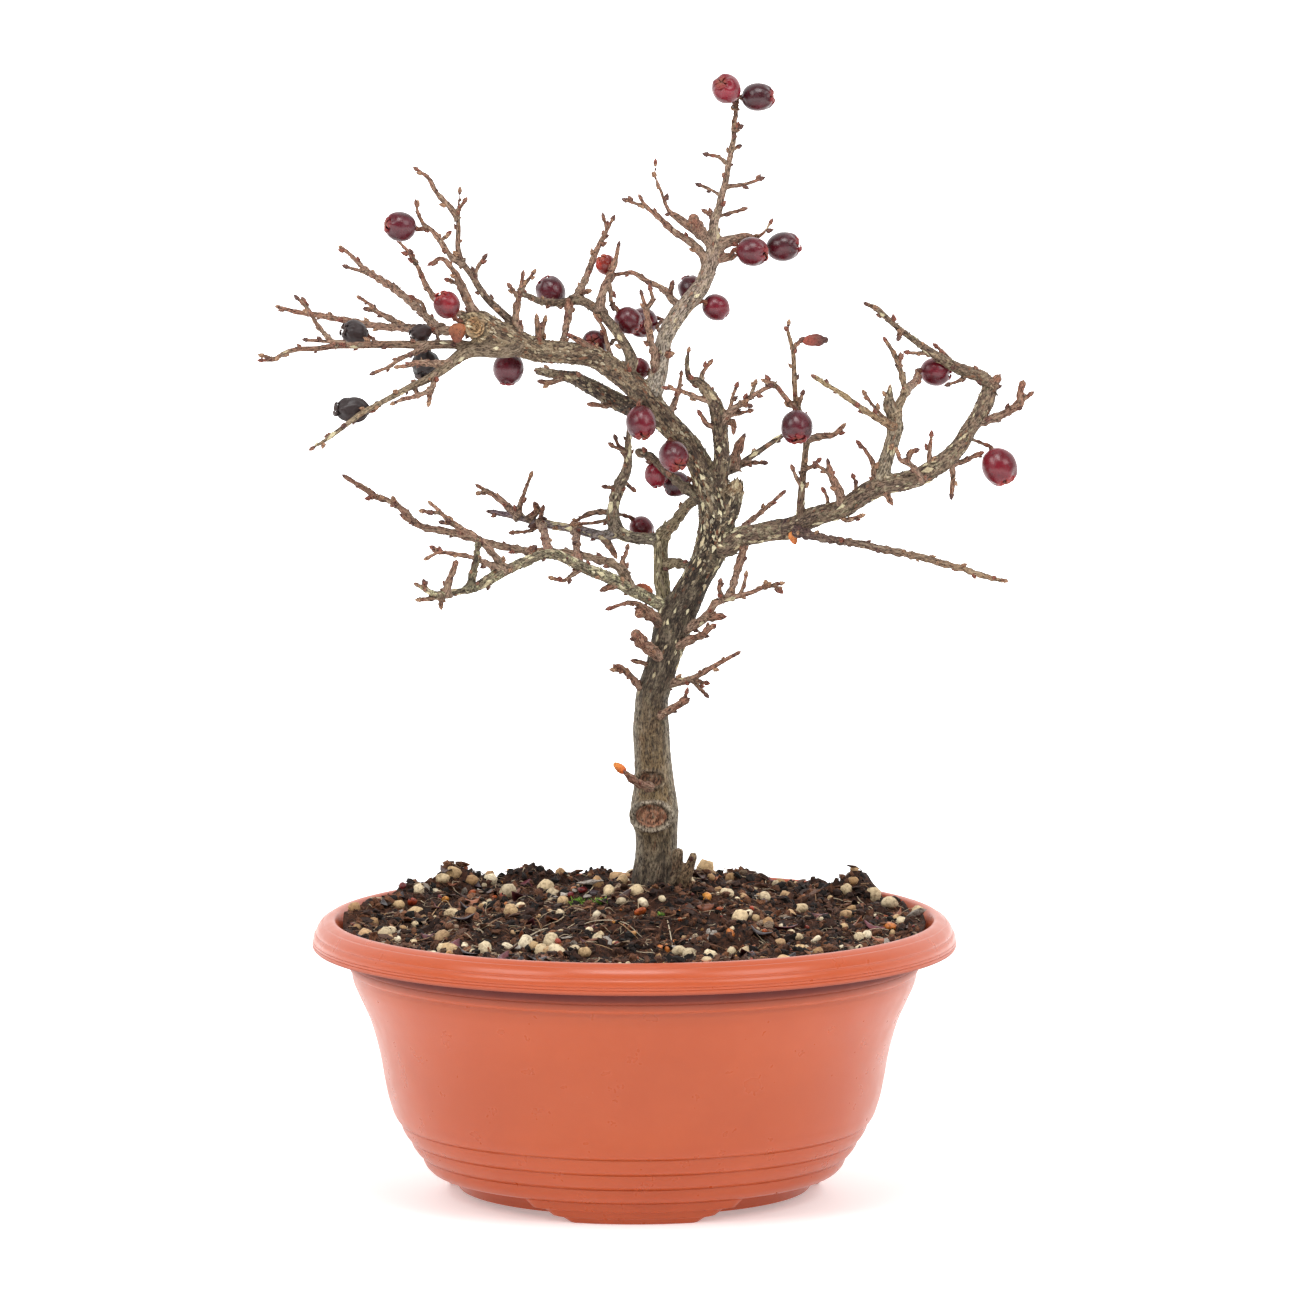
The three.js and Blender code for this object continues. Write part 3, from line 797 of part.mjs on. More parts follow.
// The soil is cut by a plain hole one gap wider than the trunk and the shoot beside it
const hole = new THREE.CylinderGeometry(1, 1, STEM_HOLE_LENGTH, 16).rotateX(Math.PI / 2);
hole.scale(...HOLE_HALVES, 1).translate(...HOLE_CENTRE, STEM_HOLE_FLOOR + STEM_HOLE_LENGTH / 2);
const soil = whole(wasm.Manifold.union([soilBody(), ...grains()]).subtract(solid(hole)));
add("soil", geometryOf(soil), MATERIALS.soil);

berries.forEach(({ centre, radius, stretch, calyx, colour }, i) => {
  const name = "berry_" + String(i + 1).padStart(2, "0");
  const berry = add(name, berryGeometry(radius, stretch, colour === "black"), MATERIALS[colour]);
  berry.position.copy(centre);
  berry.quaternion.setFromUnitVectors(new THREE.Vector3(0, 0, 1), calyx);
});

for (const [name, [x, z], depth, halves, slope, turn, colour] of DRY_PIECES) {
  const piece = add(name, dryGeometry(halves), MATERIALS[colour]);
  piece.position.copy(place(x, z, depth));
  piece.rotation.set(0, -degrees(slope), degrees(turn), "ZYX");
}

// The origin is under the middle of the whole object's box, on the surface that the feet stand on
const standing = new THREE.Group();
standing.add(bonsai);
const box = new THREE.Box3().setFromObject(bonsai, true);
bonsai.position.x = -(box.min.x + box.max.x) / 2;

export default standing;
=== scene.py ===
"""A small cotoneaster bonsai: its bark, twigs, buds and berries, its peat and pumice, its moulded bowl.

Lengths in the tables are millimetres about the bowl's axis, with the ground at 0. Meshes are in metres
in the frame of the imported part.
"""

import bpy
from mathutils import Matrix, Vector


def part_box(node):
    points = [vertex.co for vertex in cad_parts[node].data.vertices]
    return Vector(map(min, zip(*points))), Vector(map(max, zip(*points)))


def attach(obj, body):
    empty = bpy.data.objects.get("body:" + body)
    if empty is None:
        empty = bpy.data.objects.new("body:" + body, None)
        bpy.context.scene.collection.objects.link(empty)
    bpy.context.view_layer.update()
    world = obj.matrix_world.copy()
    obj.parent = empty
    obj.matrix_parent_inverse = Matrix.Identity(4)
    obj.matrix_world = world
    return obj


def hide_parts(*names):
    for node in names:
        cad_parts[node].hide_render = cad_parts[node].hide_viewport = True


bl_info = {
    "name": "Cotoneaster Bonsai",
    "version": (1, 0, 0),
    "blender": (4, 5, 0),
    "location": "View3D > Sidebar > Bonsai",
    "description": "Builds the bark, berries, soil and moulded bowl of a small bonsai",
    "category": "Object",
}

import bpy
import numpy as np
from bpy.props import FloatProperty, FloatVectorProperty, IntProperty, PointerProperty
from mathutils import Vector

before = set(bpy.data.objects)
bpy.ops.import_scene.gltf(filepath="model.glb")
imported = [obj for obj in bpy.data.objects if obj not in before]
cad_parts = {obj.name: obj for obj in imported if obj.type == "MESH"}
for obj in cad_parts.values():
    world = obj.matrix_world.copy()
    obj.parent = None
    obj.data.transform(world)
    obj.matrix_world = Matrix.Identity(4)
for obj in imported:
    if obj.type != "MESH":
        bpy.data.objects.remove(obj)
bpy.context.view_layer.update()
MM = 0.001

# The bowl's axis stands a little beside the frame's origin, which is under the middle of the whole box
BOWL_LOW, BOWL_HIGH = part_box("pot")
AXIS_X = (BOWL_LOW[0] + BOWL_HIGH[0]) / 2 / MM
SHIFT = np.array([AXIS_X, 0.0, 0.0])

# The tree is set out as it is seen from the front. x and z are where a limb would cross the upright
# plane through the bowl's axis on a line from VIEW_POINT, and depth is how far behind (+) or before (-)
# that plane it lies.
VIEW_POINT = np.array([5.0, -3000.0, 542.0])


# Limbs: name, what it grows from, radii from root to tip, depths from root to tip, the places it is seen to
# pass, and for some what the tip meets
LIMBS = [
    ["trunk", None,
        [6.2, 6.8, 6.9, 6.9, 6.7, 6.9, 8.0, 7.5, 6.6, 6.1, 5.9, 6.0, 5.5, 5.3, 5.3, 5.1, 5.5, 6.0, 6.2, 5.4,
        4.8, 4.8, 5.2, 5.4, 5.6, 5.7, 5.3, 4.8, 3.8],
        [12, 12, 12, 12, 12, 11, 10, 8, 6, 4, 3],
        [[6.4, 62], [6.2, 85], [5.8, 99], [6.8, 106], [7.1, 112], [7.0, 117], [6.4, 122], [6.4, 126],
        [6.4, 131], [6.1, 137], [5.7, 143], [5.4, 149], [5.4, 155], [5.9, 161], [7.6, 166], [9.1, 171],
        [10.5, 176], [11.9, 181], [13.6, 186], [16.4, 191], [19.0, 196], [21.6, 201], [24.0, 206],
        [25.5, 211], [26.3, 216], [26.0, 221], [24.7, 225.5], [23.0, 229.5], [21.3, 233.5]]],
    ["upper_left_bough", "trunk",
        [4.2, 3.7, 3.7, 3.7, 3.8, 3.8, 3.8, 3.8, 3.7, 3.6, 3.5, 3.5, 3.5, 3.7, 4.0, 4.3, 4.5, 4.9, 3.2],
        [2, 1, -1, -2, -1, 1, 2, 1, -3, -7, -11, -13],
        [[21.8, 232], [18.9, 238], [15.8, 241.8], [12.5, 245.2], [9.3, 248.6], [6.8, 252], [3.9, 255.5],
        [0.3, 259], [-3.6, 262.3], [-8, 265.6], [-13, 268.4], [-18, 269.5], [-24, 270], [-29.5, 270.4],
        [-34.5, 272], [-39, 273.8], [-43.5, 275.6], [-49.5, 278.6], [-53, 279.6]]],
    ["right_bough", "trunk",
        [4.4, 3.6, 3.3, 3.2, 3.5, 3.3, 3.2, 3.0, 3.0, 3.2, 3.1, 3.1, 3.0, 3.0, 2.8, 2.6, 2.5, 2.9, 2.4, 2.0,
        2.1, 1.9, 1.6, 1.4, 1.1, 1.0, 0.95, 1.1, 0.7],
        [1, -5, -10, -14, -15, -13, -8, -2, 5, 11, 10, 5, 0, -5],
        [[29, 208], [33.5, 210.7], [38.5, 211.9], [44, 213], [50, 213.9], [55, 216.3], [60, 218.4],
        [65, 219.6], [70, 222.4], [75, 225.8], [80, 227.6], [85, 228.6], [90, 230], [95, 232.8],
        [100, 236.4], [103.6, 240.4], [106.2, 245], [109.6, 250], [111.9, 255], [112.8, 259], [110.8, 262],
        [107, 263.3], [103.4, 264.6], [99.6, 266.6], [95.6, 269.1], [91.8, 271.7], [87.8, 274.6],
        [83.8, 277.7], [79.8, 281.2], [77, 283.8], [74, 285.2]]],
    ["leader", "upper_left_bough",
        [3.6, 3.2, 2.9, 2.4, 2.6, 2.7, 2.9, 2.8, 2.8, 2.8, 2.6, 2.6, 2.5, 2.1, 1.7, 1.5, 1.3, 1.2, 1.1, 1.0,
        0.95, 0.9, 0.85, 0.8, 0.7],
        [1, 3, 6, 8, 9, 10, 11, 12, 12, 12],
        [[4.5, 255], [6.4, 259], [7.8, 263.4], [8.9, 268.4], [9.3, 273], [10.9, 277.2], [13.2, 281],
        [16, 284.6], [18.9, 287.9], [21.3, 291], [22.9, 294.6], [24.2, 299], [25.3, 303.3], [25.3, 307.3],
        [25.3, 311.4], [26.8, 315.4], [27.7, 319.9], [28.8, 323.5], [29.7, 328.8], [30.6, 333.3],
        [31.5, 337.8], [31.5, 342.2], [32.2, 345.8], [31.7, 349]]],
    ["dark_bough", "upper_left_bough", [3.4, 3.0, 2.9, 2.8, 2.6, 2.2, 1.7, 1.3], [4, 10, 16, 22, 26],
        [[8.5, 249.5], [4, 251], [0, 252], [-4.5, 253.7], [-9.5, 256.6], [-14.6, 259.4], [-19.5, 261.8],
        [-24, 262.8], [-30.4, 263.9]]],
    ["right_fork", "trunk", [3.6, 2.9, 2.6, 2.5, 2.6, 2.6, 2.3, 2.1, 1.6, 1.2, 0.9, 0.85, 0.4],
        [0, -4, -7, -9, -10],
        [[26, 227], [27.5, 232], [27.8, 237.5], [27.4, 243], [27, 247.5], [26.3, 251.5], [24.8, 255],
        [22.7, 258.1], [20.3, 260.5], [17.8, 261.6], [16.9, 264.2], [16.8, 268], [17.2, 270.2]]],

    # Left of the knot at the end of the upper bough
    ["pale_left_twig", "upper_left_bough", [3.4, 3.1, 2.7, 2.2, 1.7, 1.3, 1.1, 0.95, 0.9, 0.8, 0.5],
        [-10, -14, -22, -30, -38, -46, -52],
        [[-38, 271.8], [-44, 271], [-49.5, 271], [-53.5, 270], [-57.5, 267.2], [-61.5, 264], [-66, 261.2],
        [-71, 259], [-76, 256.3], [-81, 253.6], [-86.5, 250.6], [-92.5, 246.1], [-97.8, 242.2],
        [-102.1, 239.5]]],
    ["level_left_twig", "pale_left_twig", [1.9, 1.5, 1.4, 1.3, 1.2, 1.0, 0.9, 0.8, 0.5],
        [-13, -15, -17, -18, -20, -22],
        [[-50, 271.6], [-54, 272.2], [-60, 272.5], [-68.2, 272.3], [-75, 272.5], [-82, 272.4], [-88, 272.2],
        [-95, 272], [-101, 271.1], [-107, 270.9], [-111.1, 269.7], [-114.6, 267.6], [-118, 267.4]]],
    ["left_twig_rear", "upper_left_bough", [1.7, 1.2, 1.1, 1.0, 0.9, 0.8, 0.45],
        [-8, 2, 10, 16, 22, 28],
        [[-52, 277.5], [-57, 276.7], [-63.8, 277.4], [-70.5, 277.5], [-77.1, 277.9], [-83.4, 278.7],
        [-88.8, 279.8], [-95, 280.7], [-100.8, 281.8], [-106.6, 282.7], [-112.6, 284.3]]],
    ["left_twig_steep", "left_twig_rear", [1.3, 1.1, 1.0, 0.9, 0.7, 0.4], [4, 18, 32, 42],
        [[-61.5, 277.3], [-64.2, 279.4], [-67.8, 283.2], [-71.4, 286.3], [-75.4, 289.9], [-79.9, 292.6],
        [-84.3, 295.3], [-87, 298], [-89.6, 300.5], [-92.8, 303.1]]],
    ["left_twig_short", "left_twig_rear", [0.9, 0.8, 0.35], [10, 14, 19],
        [[-72, 277.6], [-74.5, 278.9], [-78, 280.9], [-81.6, 282.7], [-83.8, 285], [-87, 287.2]]],
    ["left_twig_end_fork", "level_left_twig", [0.9, 0.7, 0.35], [-17, -16],
        [[-94, 272.2], [-96.8, 274], [-98.1, 275.6], [-100.8, 279.1], [-103, 282.7], [-106.8, 287]]],
    ["left_twig_twin", "level_left_twig", [0.6, 0.35], [-24],
        [[-90, 272.3], [-95, 273.4], [-100, 273.5], [-103.9, 273.9]]],
    ["left_twig_down", "level_left_twig", [0.9, 0.7, 0.4], [-20, -24],
        [[-66, 272], [-70, 269.9], [-74.5, 267.9], [-77.7, 265.5], [-82.6, 263.4]]],
    ["knot_twig", "upper_left_bough", [1.4, 1.0, 0.9, 0.7, 0.35], [-4, 2, 7, 10],
        [[-52.5, 281], [-57.5, 283.2], [-62.4, 286], [-66, 291.3], [-69.6, 298.9], [-74.5, 305.2]]],
    ["pale_fork_low", "pale_left_twig", [0.9, 0.4], [-32, -35],
        [[-63.8, 262.6], [-64.2, 258.6], [-69.2, 256], [-73.6, 254.9], [-76.3, 253.8]]],
    ["pale_fork_high", "pale_left_twig", [1.0, 0.8, 0.4], [-27, -31],
        [[-59, 266], [-64.3, 266.4], [-69.2, 266.6], [-72.3, 265.6], [-75, 265.3]]],

    # Upright twigs above the upper bough
    ["upright_left", "upper_left_bough", [2.0, 1.5, 1.3, 1.2, 1.1, 1.0, 0.8, 0.35],
        [-6, -5, -6, -7, -8],
        [[-36, 274], [-39, 279.5], [-42.5, 283], [-46.3, 286.6], [-49.5, 291], [-51.5, 294.5],
        [-54.5, 298.5], [-55.9, 303], [-55.7, 309.6], [-55.9, 313.2], [-55.3, 321]]],
    ["upright_left_tip", "upright_left", [0.8, 0.7, 0.35], [-6, -3],
        [[-56, 311.5], [-58.6, 316.4], [-62.9, 320.9], [-65.1, 325.3], [-68.7, 328]]],
    ["berry_twig_left", "upright_left", [0.9, 0.7, 0.35], [-10, -12],
        [[-55, 298], [-57.6, 300], [-60.2, 303.4], [-63.8, 308.3], [-66.9, 310.8], [-68.7, 314.6],
        [-69.1, 317]]],
    ["knot_top_twig", "upper_left_bough", [1.7, 1.3, 0.9, 0.4], [-16, -20],
        [[-51, 282], [-52.8, 286.4], [-54.8, 290.8], [-56.6, 294.9], [-61.1, 299.8], [-64.2, 298.4]]],
    ["spur_cluster", "upper_left_bough", [1.6, 1.2, 1.0, 0.8, 0.4], [-8, -9],
        [[-36.5, 275], [-37.6, 280.5], [-37, 285], [-36.3, 289], [-35.4, 294.4]]],
    ["arched_limb", "upper_left_bough",
        [2.4, 1.9, 1.7, 1.6, 1.6, 1.6, 1.5, 1.4, 1.3, 1.2, 1.0, 0.9],
        [-1, 2, 5, 8, 11, 13, 15, 13, 8, 0, -6],
        [[-2.5, 261.8], [-0.9, 267], [-2.2, 271], [-4.8, 275.2], [-8, 279.6], [-11, 282.7], [-14, 285],
        [-17.3, 286.6], [-20.6, 286.2], [-24, 285.7], [-27.5, 286], [-30.6, 286.4], [-33.2, 287.8],
        [-36, 288.6]], "spur_cluster"],
    ["strut_twig", "upper_left_bough", [1.2, 0.95, 0.95, 1.2], [4, 8, 12],
        [[-23, 272], [-21.8, 277], [-21, 281], [-20.5, 285.5]], "arched_limb"],
    ["tall_twig", "arched_limb", [1.2, 0.9, 0.8, 0.7, 0.35], [20, 27, 31, 33],
        [[-18.5, 286.5], [-16.4, 291.3], [-14.1, 296.7], [-12.3, 301.6], [-10.6, 305.2], [-8.8, 308.7],
        [-9.7, 312.8]]],
    ["berry_twig_mid", "arched_limb", [1.3, 1.1, 1.0, 0.8, 0.35], [12, 15, 17, 18],
        [[-10.8, 282.6], [-10.4, 287], [-9, 291.6], [-7.4, 295], [-5.9, 299.4], [-5, 303.8]]],
    ["drooping_stalk", "berry_twig_mid", [0.8, 0.6, 0.45], [13, 12.2],
        [[-8.4, 292.8], [-7.6, 290], [-7.4, 286.5], [-6.9, 284.6]]],
    ["side_twig_leader", "leader", [1.3, 0.9, 0.8, 0.7, 0.4], [12, 15, 18],
        [[15.5, 284], [11.9, 287], [9.7, 289.6], [7, 291.3], [3.4, 293.1], [-0.6, 295.2], [-5.7, 294.7]]],
    ["inner_upright", "leader", [1.4, 1.2, 1.0, 0.9, 0.8, 0.35], [-2, -4, -5],
        [[7, 261.5], [6.6, 266], [6.3, 269.6], [5.2, 273.4], [4.6, 277.4], [4.1, 281.4], [3.4, 284.8],
        [2.4, 288.4]]],
    ["thin_inner", "upper_left_bough", [0.7, 0.6, 0.45], [6, 7],
        [[-6.5, 264.5], [-8, 270.2], [-8.8, 273.8], [-9.9, 277.8], [-11.9, 281]]],

    # The leader's side limbs
    ["leader_left", "leader", [1.9, 1.6, 1.4, 0.7, 0.6, 0.35], [8, 4, 0],
        [[25, 303], [22.6, 306.4], [19.6, 308.6], [16.4, 310.8], [13.4, 313.1], [11.2, 314.6],
        [9.8, 317.6], [8.3, 321.7], [6.7, 325.7], [6.7, 329.9]]],
    ["leader_left_low", "leader", [1.3, 1.0, 0.8, 0.4], [7, 4, 2],
        [[23, 297.5], [20.8, 302], [17.9, 305.1], [13.4, 307.8], [9.8, 311], [6.3, 314.1], [4, 315.9],
        [2.2, 318.8]]],
    ["leader_cut_stub", "leader_left", [1.5, 1.3], [0], [[21.5, 307.3], [20, 310], [18.8, 312.2]]],
    ["leader_knob", "leader", [2.3, 2.0, 1.5, 0.9, 0.6, 0.35], [11, 8, 6],
        [[25.3, 303.5], [29, 305], [32.5, 306], [35.4, 307], [38.8, 306.6], [41.2, 308.2], [43.1, 311.1]]],
    ["dark_stub", "leader", [1.9, 1.7, 1.2], [9], [[24.6, 300.4], [28, 300], [31.3, 300.6]]],

    # Right of the trunk fork
    ["right_fork_out", "right_fork", [1.9, 1.5, 1.1, 0.85, 0.8, 0.8, 0.9, 0.95, 0.9, 1.0],
        [-8, -9, -10, -11, -12],
        [[27.6, 247.5], [29.9, 250.3], [32.2, 252.4], [35.5, 254.6], [38.4, 256.5], [42, 258.6],
        [44.7, 259.4], [46.9, 256.9], [49, 254.4], [50.7, 252.8]]],
    ["fork_pale_twig", "right_fork", [0.9, 0.8, 0.4], [-9, -12],
        [[25, 254.6], [22, 255], [19.6, 255.6], [16, 257.2], [10.4, 258.5]]],
    ["background_twig", "upper_left_bough", [1.0, 0.9, 0.8, 0.4], [14, 20, 24],
        [[10, 248.6], [11.8, 251.4], [13, 254.4], [14.3, 258.4], [14.9, 262.8]]],
    ["upright_right", "right_bough",
        [2.0, 1.4, 1.25, 1.15, 1.1, 1.05, 1.0, 0.95, 0.95, 0.9, 0.85, 0.8, 0.7, 0.35],
        [-12, -10, -9, -9, -10, -12, -14],
        [[53.2, 215.6], [52.9, 219], [53.1, 224], [53.5, 229], [54, 234], [54.5, 239], [54.6, 243],
        [54, 247.5], [52.6, 251], [51.4, 254], [51, 258.5], [50.8, 264.4], [50.4, 270.2], [49.6, 273.6],
        [48.8, 276.6], [49, 279]]],
    ["rear_fork_twig", "trunk", [1.9, 1.4, 1.1, 1.0, 0.9], [14, 20, 25],
        [[27, 231], [32, 232.8], [36.9, 236.4], [41.4, 239.6], [46.8, 243.2]]],
    ["berry_link", "trunk", [1.8, 1.5, 1.3, 1.2, 1.1, 1.2], [3, 4, 6, 10, 16],
        [[21, 223.4], [16.4, 226.6], [12.2, 230], [8.6, 233.4], [5.4, 236.4], [1.6, 238.2]]],

    # Right bough: what stands on it
    ["pale_upright", "right_bough", [2.6, 2.4, 2.2, 2.4, 2.8, 2.2, 2.1, 0.9],
        [-14, -15, -15, -16, -17],
        [[77.5, 228], [79.4, 233], [81, 238.5], [82.4, 243], [82.9, 246.4], [82.4, 250], [81, 253.6],
        [81.2, 258]]],
    ["pale_upright_fork", "pale_upright", [1.5, 1.1, 0.9, 0.85, 0.7, 0.5], [-18, -22, -25],
        [[83, 250], [84.4, 253.8], [86, 257], [85.6, 260], [84.6, 264], [83.6, 267], [82, 270.3],
        [79.9, 273.6]]],
    ["berry_fork", "pale_upright_fork", [1.0, 0.9, 0.8], [-9, 4],
        [[86, 257], [88.4, 259.7], [90.3, 262.2]]],
    ["long_pale_twig", "pale_upright", [1.4, 1.0, 0.85, 0.75, 0.6], [-22, -30, -38],
        [[81.6, 246.4], [77.5, 248.8], [71.4, 252.7], [63.8, 258.1], [57.3, 262.1]]],
    ["long_low_twig", "right_bough", [1.8, 1.2, 1.0, 1.0, 0.95, 0.9, 0.85, 0.5],
        [-20, -32, -42, -52, -62],
        [[50.5, 213], [54.5, 212], [59, 210.9], [64, 209.9], [70, 209.1], [80, 206.9], [90, 204.7],
        [98, 202.5], [105, 200.6], [112, 198.2], [117.8, 197]]],
    ["rear_pale_twig", "right_bough", [1.3, 0.9, 0.7, 0.45], [16, 28],
        [[32, 211.2], [35.4, 214.8], [41.4, 219.8], [47.2, 225]]],
    ["right_end_twig", "right_bough", [1.5, 1.2, 1.1, 1.2, 1.0, 0.8], [0, -5, -9],
        [[107.6, 246.8], [112, 248.3], [116, 249.6], [119.6, 251.5], [122.6, 254], [122.6, 257],
        [123.3, 259.8]]],
    ["knob_twig", "right_bough", [1.2, 0.8, 0.6], [-4, -8],
        [[100, 234.6], [104, 234.9], [107.2, 236.4], [110, 237.6]]],
    ["cluster_twig", "right_bough", [1.1, 0.8, 0.8, 0.45], [-19, -22],
        [[91.4, 229], [89.4, 232.6], [86.4, 235.2], [84.6, 235.5], [83.6, 238.2]]],
    ["speckled_spur", "right_bough", [1.5, 1.3, 1.0, 0.6], [-18, -20],
        [[65.8, 221], [64.8, 226.5], [62.6, 230.6], [61.7, 234.6]]],

    # Lower left of the trunk
    ["lichen_limb", "trunk",
        [2.8, 2.2, 2.0, 2.0, 2.0, 1.9, 1.8, 1.7, 1.6, 1.5, 1.5, 1.6, 1.9, 1.8, 1.4, 1.1, 1.2, 1.5, 0.9,
        0.7],
        [6, -2, -8, -14, -20, -26, -32, -38, -44],
        [[13, 186.5], [8, 189.6], [4, 191.6], [-1, 194], [-6, 196.9], [-10.5, 198.9], [-15, 200.6],
        [-20, 203.1], [-25, 205.2], [-28.5, 205.4], [-33, 203.9], [-38, 201.6], [-43, 199.3],
        [-47, 196.8], [-51, 194.7], [-55, 193.6], [-58.5, 193], [-61.6, 192.2], [-65, 193.2],
        [-69, 195.5]]],
    ["olive_stem", "trunk", [3.0, 2.6, 2.4, 2.6, 2.5, 2.4, 2.4, 2.0], [14, 18, 21, 23],
        [[11.5, 184], [10.1, 189.5], [9.1, 194], [8.6, 198.5], [8.5, 203], [8.4, 207], [8.8, 211],
        [9.4, 213]]],
    ["olive_fork_right", "olive_stem", [1.6, 1.4, 1.4, 1.6], [20, 14, 8],
        [[9.6, 211.4], [12.2, 214.8], [15, 218.6], [18, 222], [21, 224]], "trunk"],
    ["olive_link", "olive_stem", [1.5, 1.2, 1.5], [14], [[9, 201.6], [13.2, 202.7], [17, 201.6], [20, 200]],
        "trunk"],
    ["left_upright", "olive_stem",
        [2.2, 1.9, 1.9, 2.1, 2.4, 2.2, 1.9, 2.1, 1.9, 1.7, 1.4, 1.2, 0.9, 0.8],
        [24, 25, 25, 24, 20, 16],
        [[8, 210.4], [3, 210.4], [-1.5, 211], [-4.8, 212.6], [-6.7, 216.4], [-6.8, 219.4], [-6, 223.4],
        [-4.8, 227.4], [-2.8, 231.4], [-2, 235], [-2, 239], [-1.9, 243], [-1.6, 247]]],
    ["shaded_twig", "left_upright", [1.9, 1.7, 1.6, 1.5, 1.4, 1.3, 1.2, 1.1, 0.9],
        [26, 28, 31, 34, 36, 38],
        [[-4.6, 211.6], [-9.5, 211.4], [-14.5, 212.4], [-19.5, 213.6], [-25, 214.6], [-30, 215.3],
        [-35, 216.8], [-40, 218], [-45.6, 219]]],
    ["shaded_end_fork", "shaded_twig", [1.2, 1.1, 0.9, 0.5], [38, 42],
        [[-36.5, 217.4], [-39.5, 220], [-42, 222.5], [-44.6, 224.2], [-49.2, 227]]],
    ["shaded_link", "shaded_twig", [1.1, 1.0, 1.0, 1.1], [14, -8],
        [[-30, 215.4], [-28.8, 213], [-28.1, 209.5], [-27, 205.6]], "lichen_limb"],
    ["shaded_link_inner", "shaded_twig", [1.1, 0.9, 1.1], [12],
        [[-18.6, 213], [-18.4, 207.5], [-17.6, 201.6]], "lichen_limb"],
    ["crossing_twig", "lichen_limb",
        [1.5, 1.3, 1.2, 1.1, 1.0, 1.0, 1.0, 1.1, 1.0, 1.0, 1.0, 1.0, 0.9, 0.95, 0.8, 0.8, 0.8, 0.6],
        [4, 12, 18, 24, 28, 30, 32, 33],
        [[-1, 194.6], [-3, 199], [-6.6, 202.2], [-11, 203.7], [-16, 204.9], [-22, 206], [-28, 206.4],
        [-34, 206.3], [-40, 207.6], [-46, 209], [-52, 210.8], [-58, 212.3], [-64, 213.5], [-69, 215],
        [-73, 219], [-77, 222], [-82, 224], [-87, 227.3], [-91.5, 230]]],
    ["lichen_fork_high", "lichen_limb", [1.3, 0.95, 0.9, 0.8, 0.45], [-26, -22, -18],
        [[-41, 200.4], [-43.6, 203.8], [-46.5, 207.4], [-51, 211.2], [-56, 214.2], [-60, 217.2],
        [-64.5, 221.4]]],
    ["lichen_fork_mid", "lichen_limb", [1.2, 0.8, 0.6, 0.35], [-34, -40],
        [[-41.5, 200.6], [-46, 202.1], [-48.6, 203.1], [-52, 204.6], [-57, 205.4], [-62, 206],
        [-65.7, 204.3]]],
    ["lichen_link", "lichen_limb", [1.3, 1.0, 0.8, 0.8], [-34, -26],
        [[-52, 194.6], [-51.4, 199.4], [-50.3, 203.4], [-50, 207], [-49.4, 210]], "lichen_fork_high"],
    ["lichen_spur", "lichen_limb", [1.2, 0.95, 0.8], [-40, -43],
        [[-60, 192.8], [-59, 197], [-57.8, 200], [-57, 202.4]]],

    # Short twigs on the trunk
    ["trunk_twig_top", "trunk", [2.0, 1.6, 1.5, 1.2, 1.0, 0.9, 0.8, 0.6], [4, 0, -4, -6],
        [[15, 181], [20, 183.2], [23.4, 186], [25.8, 189.6], [30, 191.2], [33.6, 192.2], [37.4, 193.2],
        [41, 194.8], [46.4, 196]]],
    ["trunk_twig_rise", "trunk_twig_top", [1.2, 1.0, 1.1, 1.4], [4, 6],
        [[30, 191.2], [31.6, 196], [32.8, 200], [34.2, 204.6], [36, 210]], "right_bough"],
    ["trunk_twig_mid", "trunk", [1.7, 1.2, 0.95, 0.8], [2, -4],
        [[13, 176], [18.4, 178.2], [21.8, 179.6], [23.4, 181.4], [25.2, 182.4]]],
    ["trunk_twig_low", "trunk", [1.9, 1.5, 1.3, 1.0, 0.9, 0.7], [8, -2, -8],
        [[8, 163.4], [13, 164.2], [17, 165], [19.4, 166], [23.4, 168.4], [28, 171], [32.6, 173.5]]],
    ["tan_stub", "trunk", [1.2, 1.1, 1.0], [6, 0], [[8, 153.6], [12, 155.8], [16.6, 158.6]]],
    ["left_stub_high", "trunk", [1.8, 1.6, 1.5], [6, 0], [[8, 173], [3.4, 176.2], [0.5, 179.6]]],
    ["left_stub_mid", "trunk", [1.0, 0.7, 0.6], [8], [[7, 168.6], [3, 170.4], [0.3, 171.1]]],
    ["left_stub_low", "trunk", [1.3, 1.0, 0.9, 0.6], [6, 0],
        [[5.6, 160.6], [1.6, 163], [-0.7, 165.7], [-3, 168], [-4.9, 169.5]]],
    ["cut_stump", "trunk", [3.4, 2.8, 2.5], [1, 0], [[28, 214.5], [31, 220], [32.4, 227]]],
    ["bud_stalk", "trunk", [1.5, 1.1, 0.8], [2, -3], [[5, 130.6], [0.4, 132.4], [-2.5, 135]]],
    ["broken_shoot", "trunk", [2.8, 2.3, 2.0, 1.4], [12, 8, 6],
        [[9, 92], [15.4, 97.5], [16.8, 102.5], [18.8, 108.2]]],
    ["broken_shoot_low", "trunk", [2.6, 2.0, 1.5], [9, 7], [[9, 97], [13.2, 103.5], [14.2, 109.6]]],
]

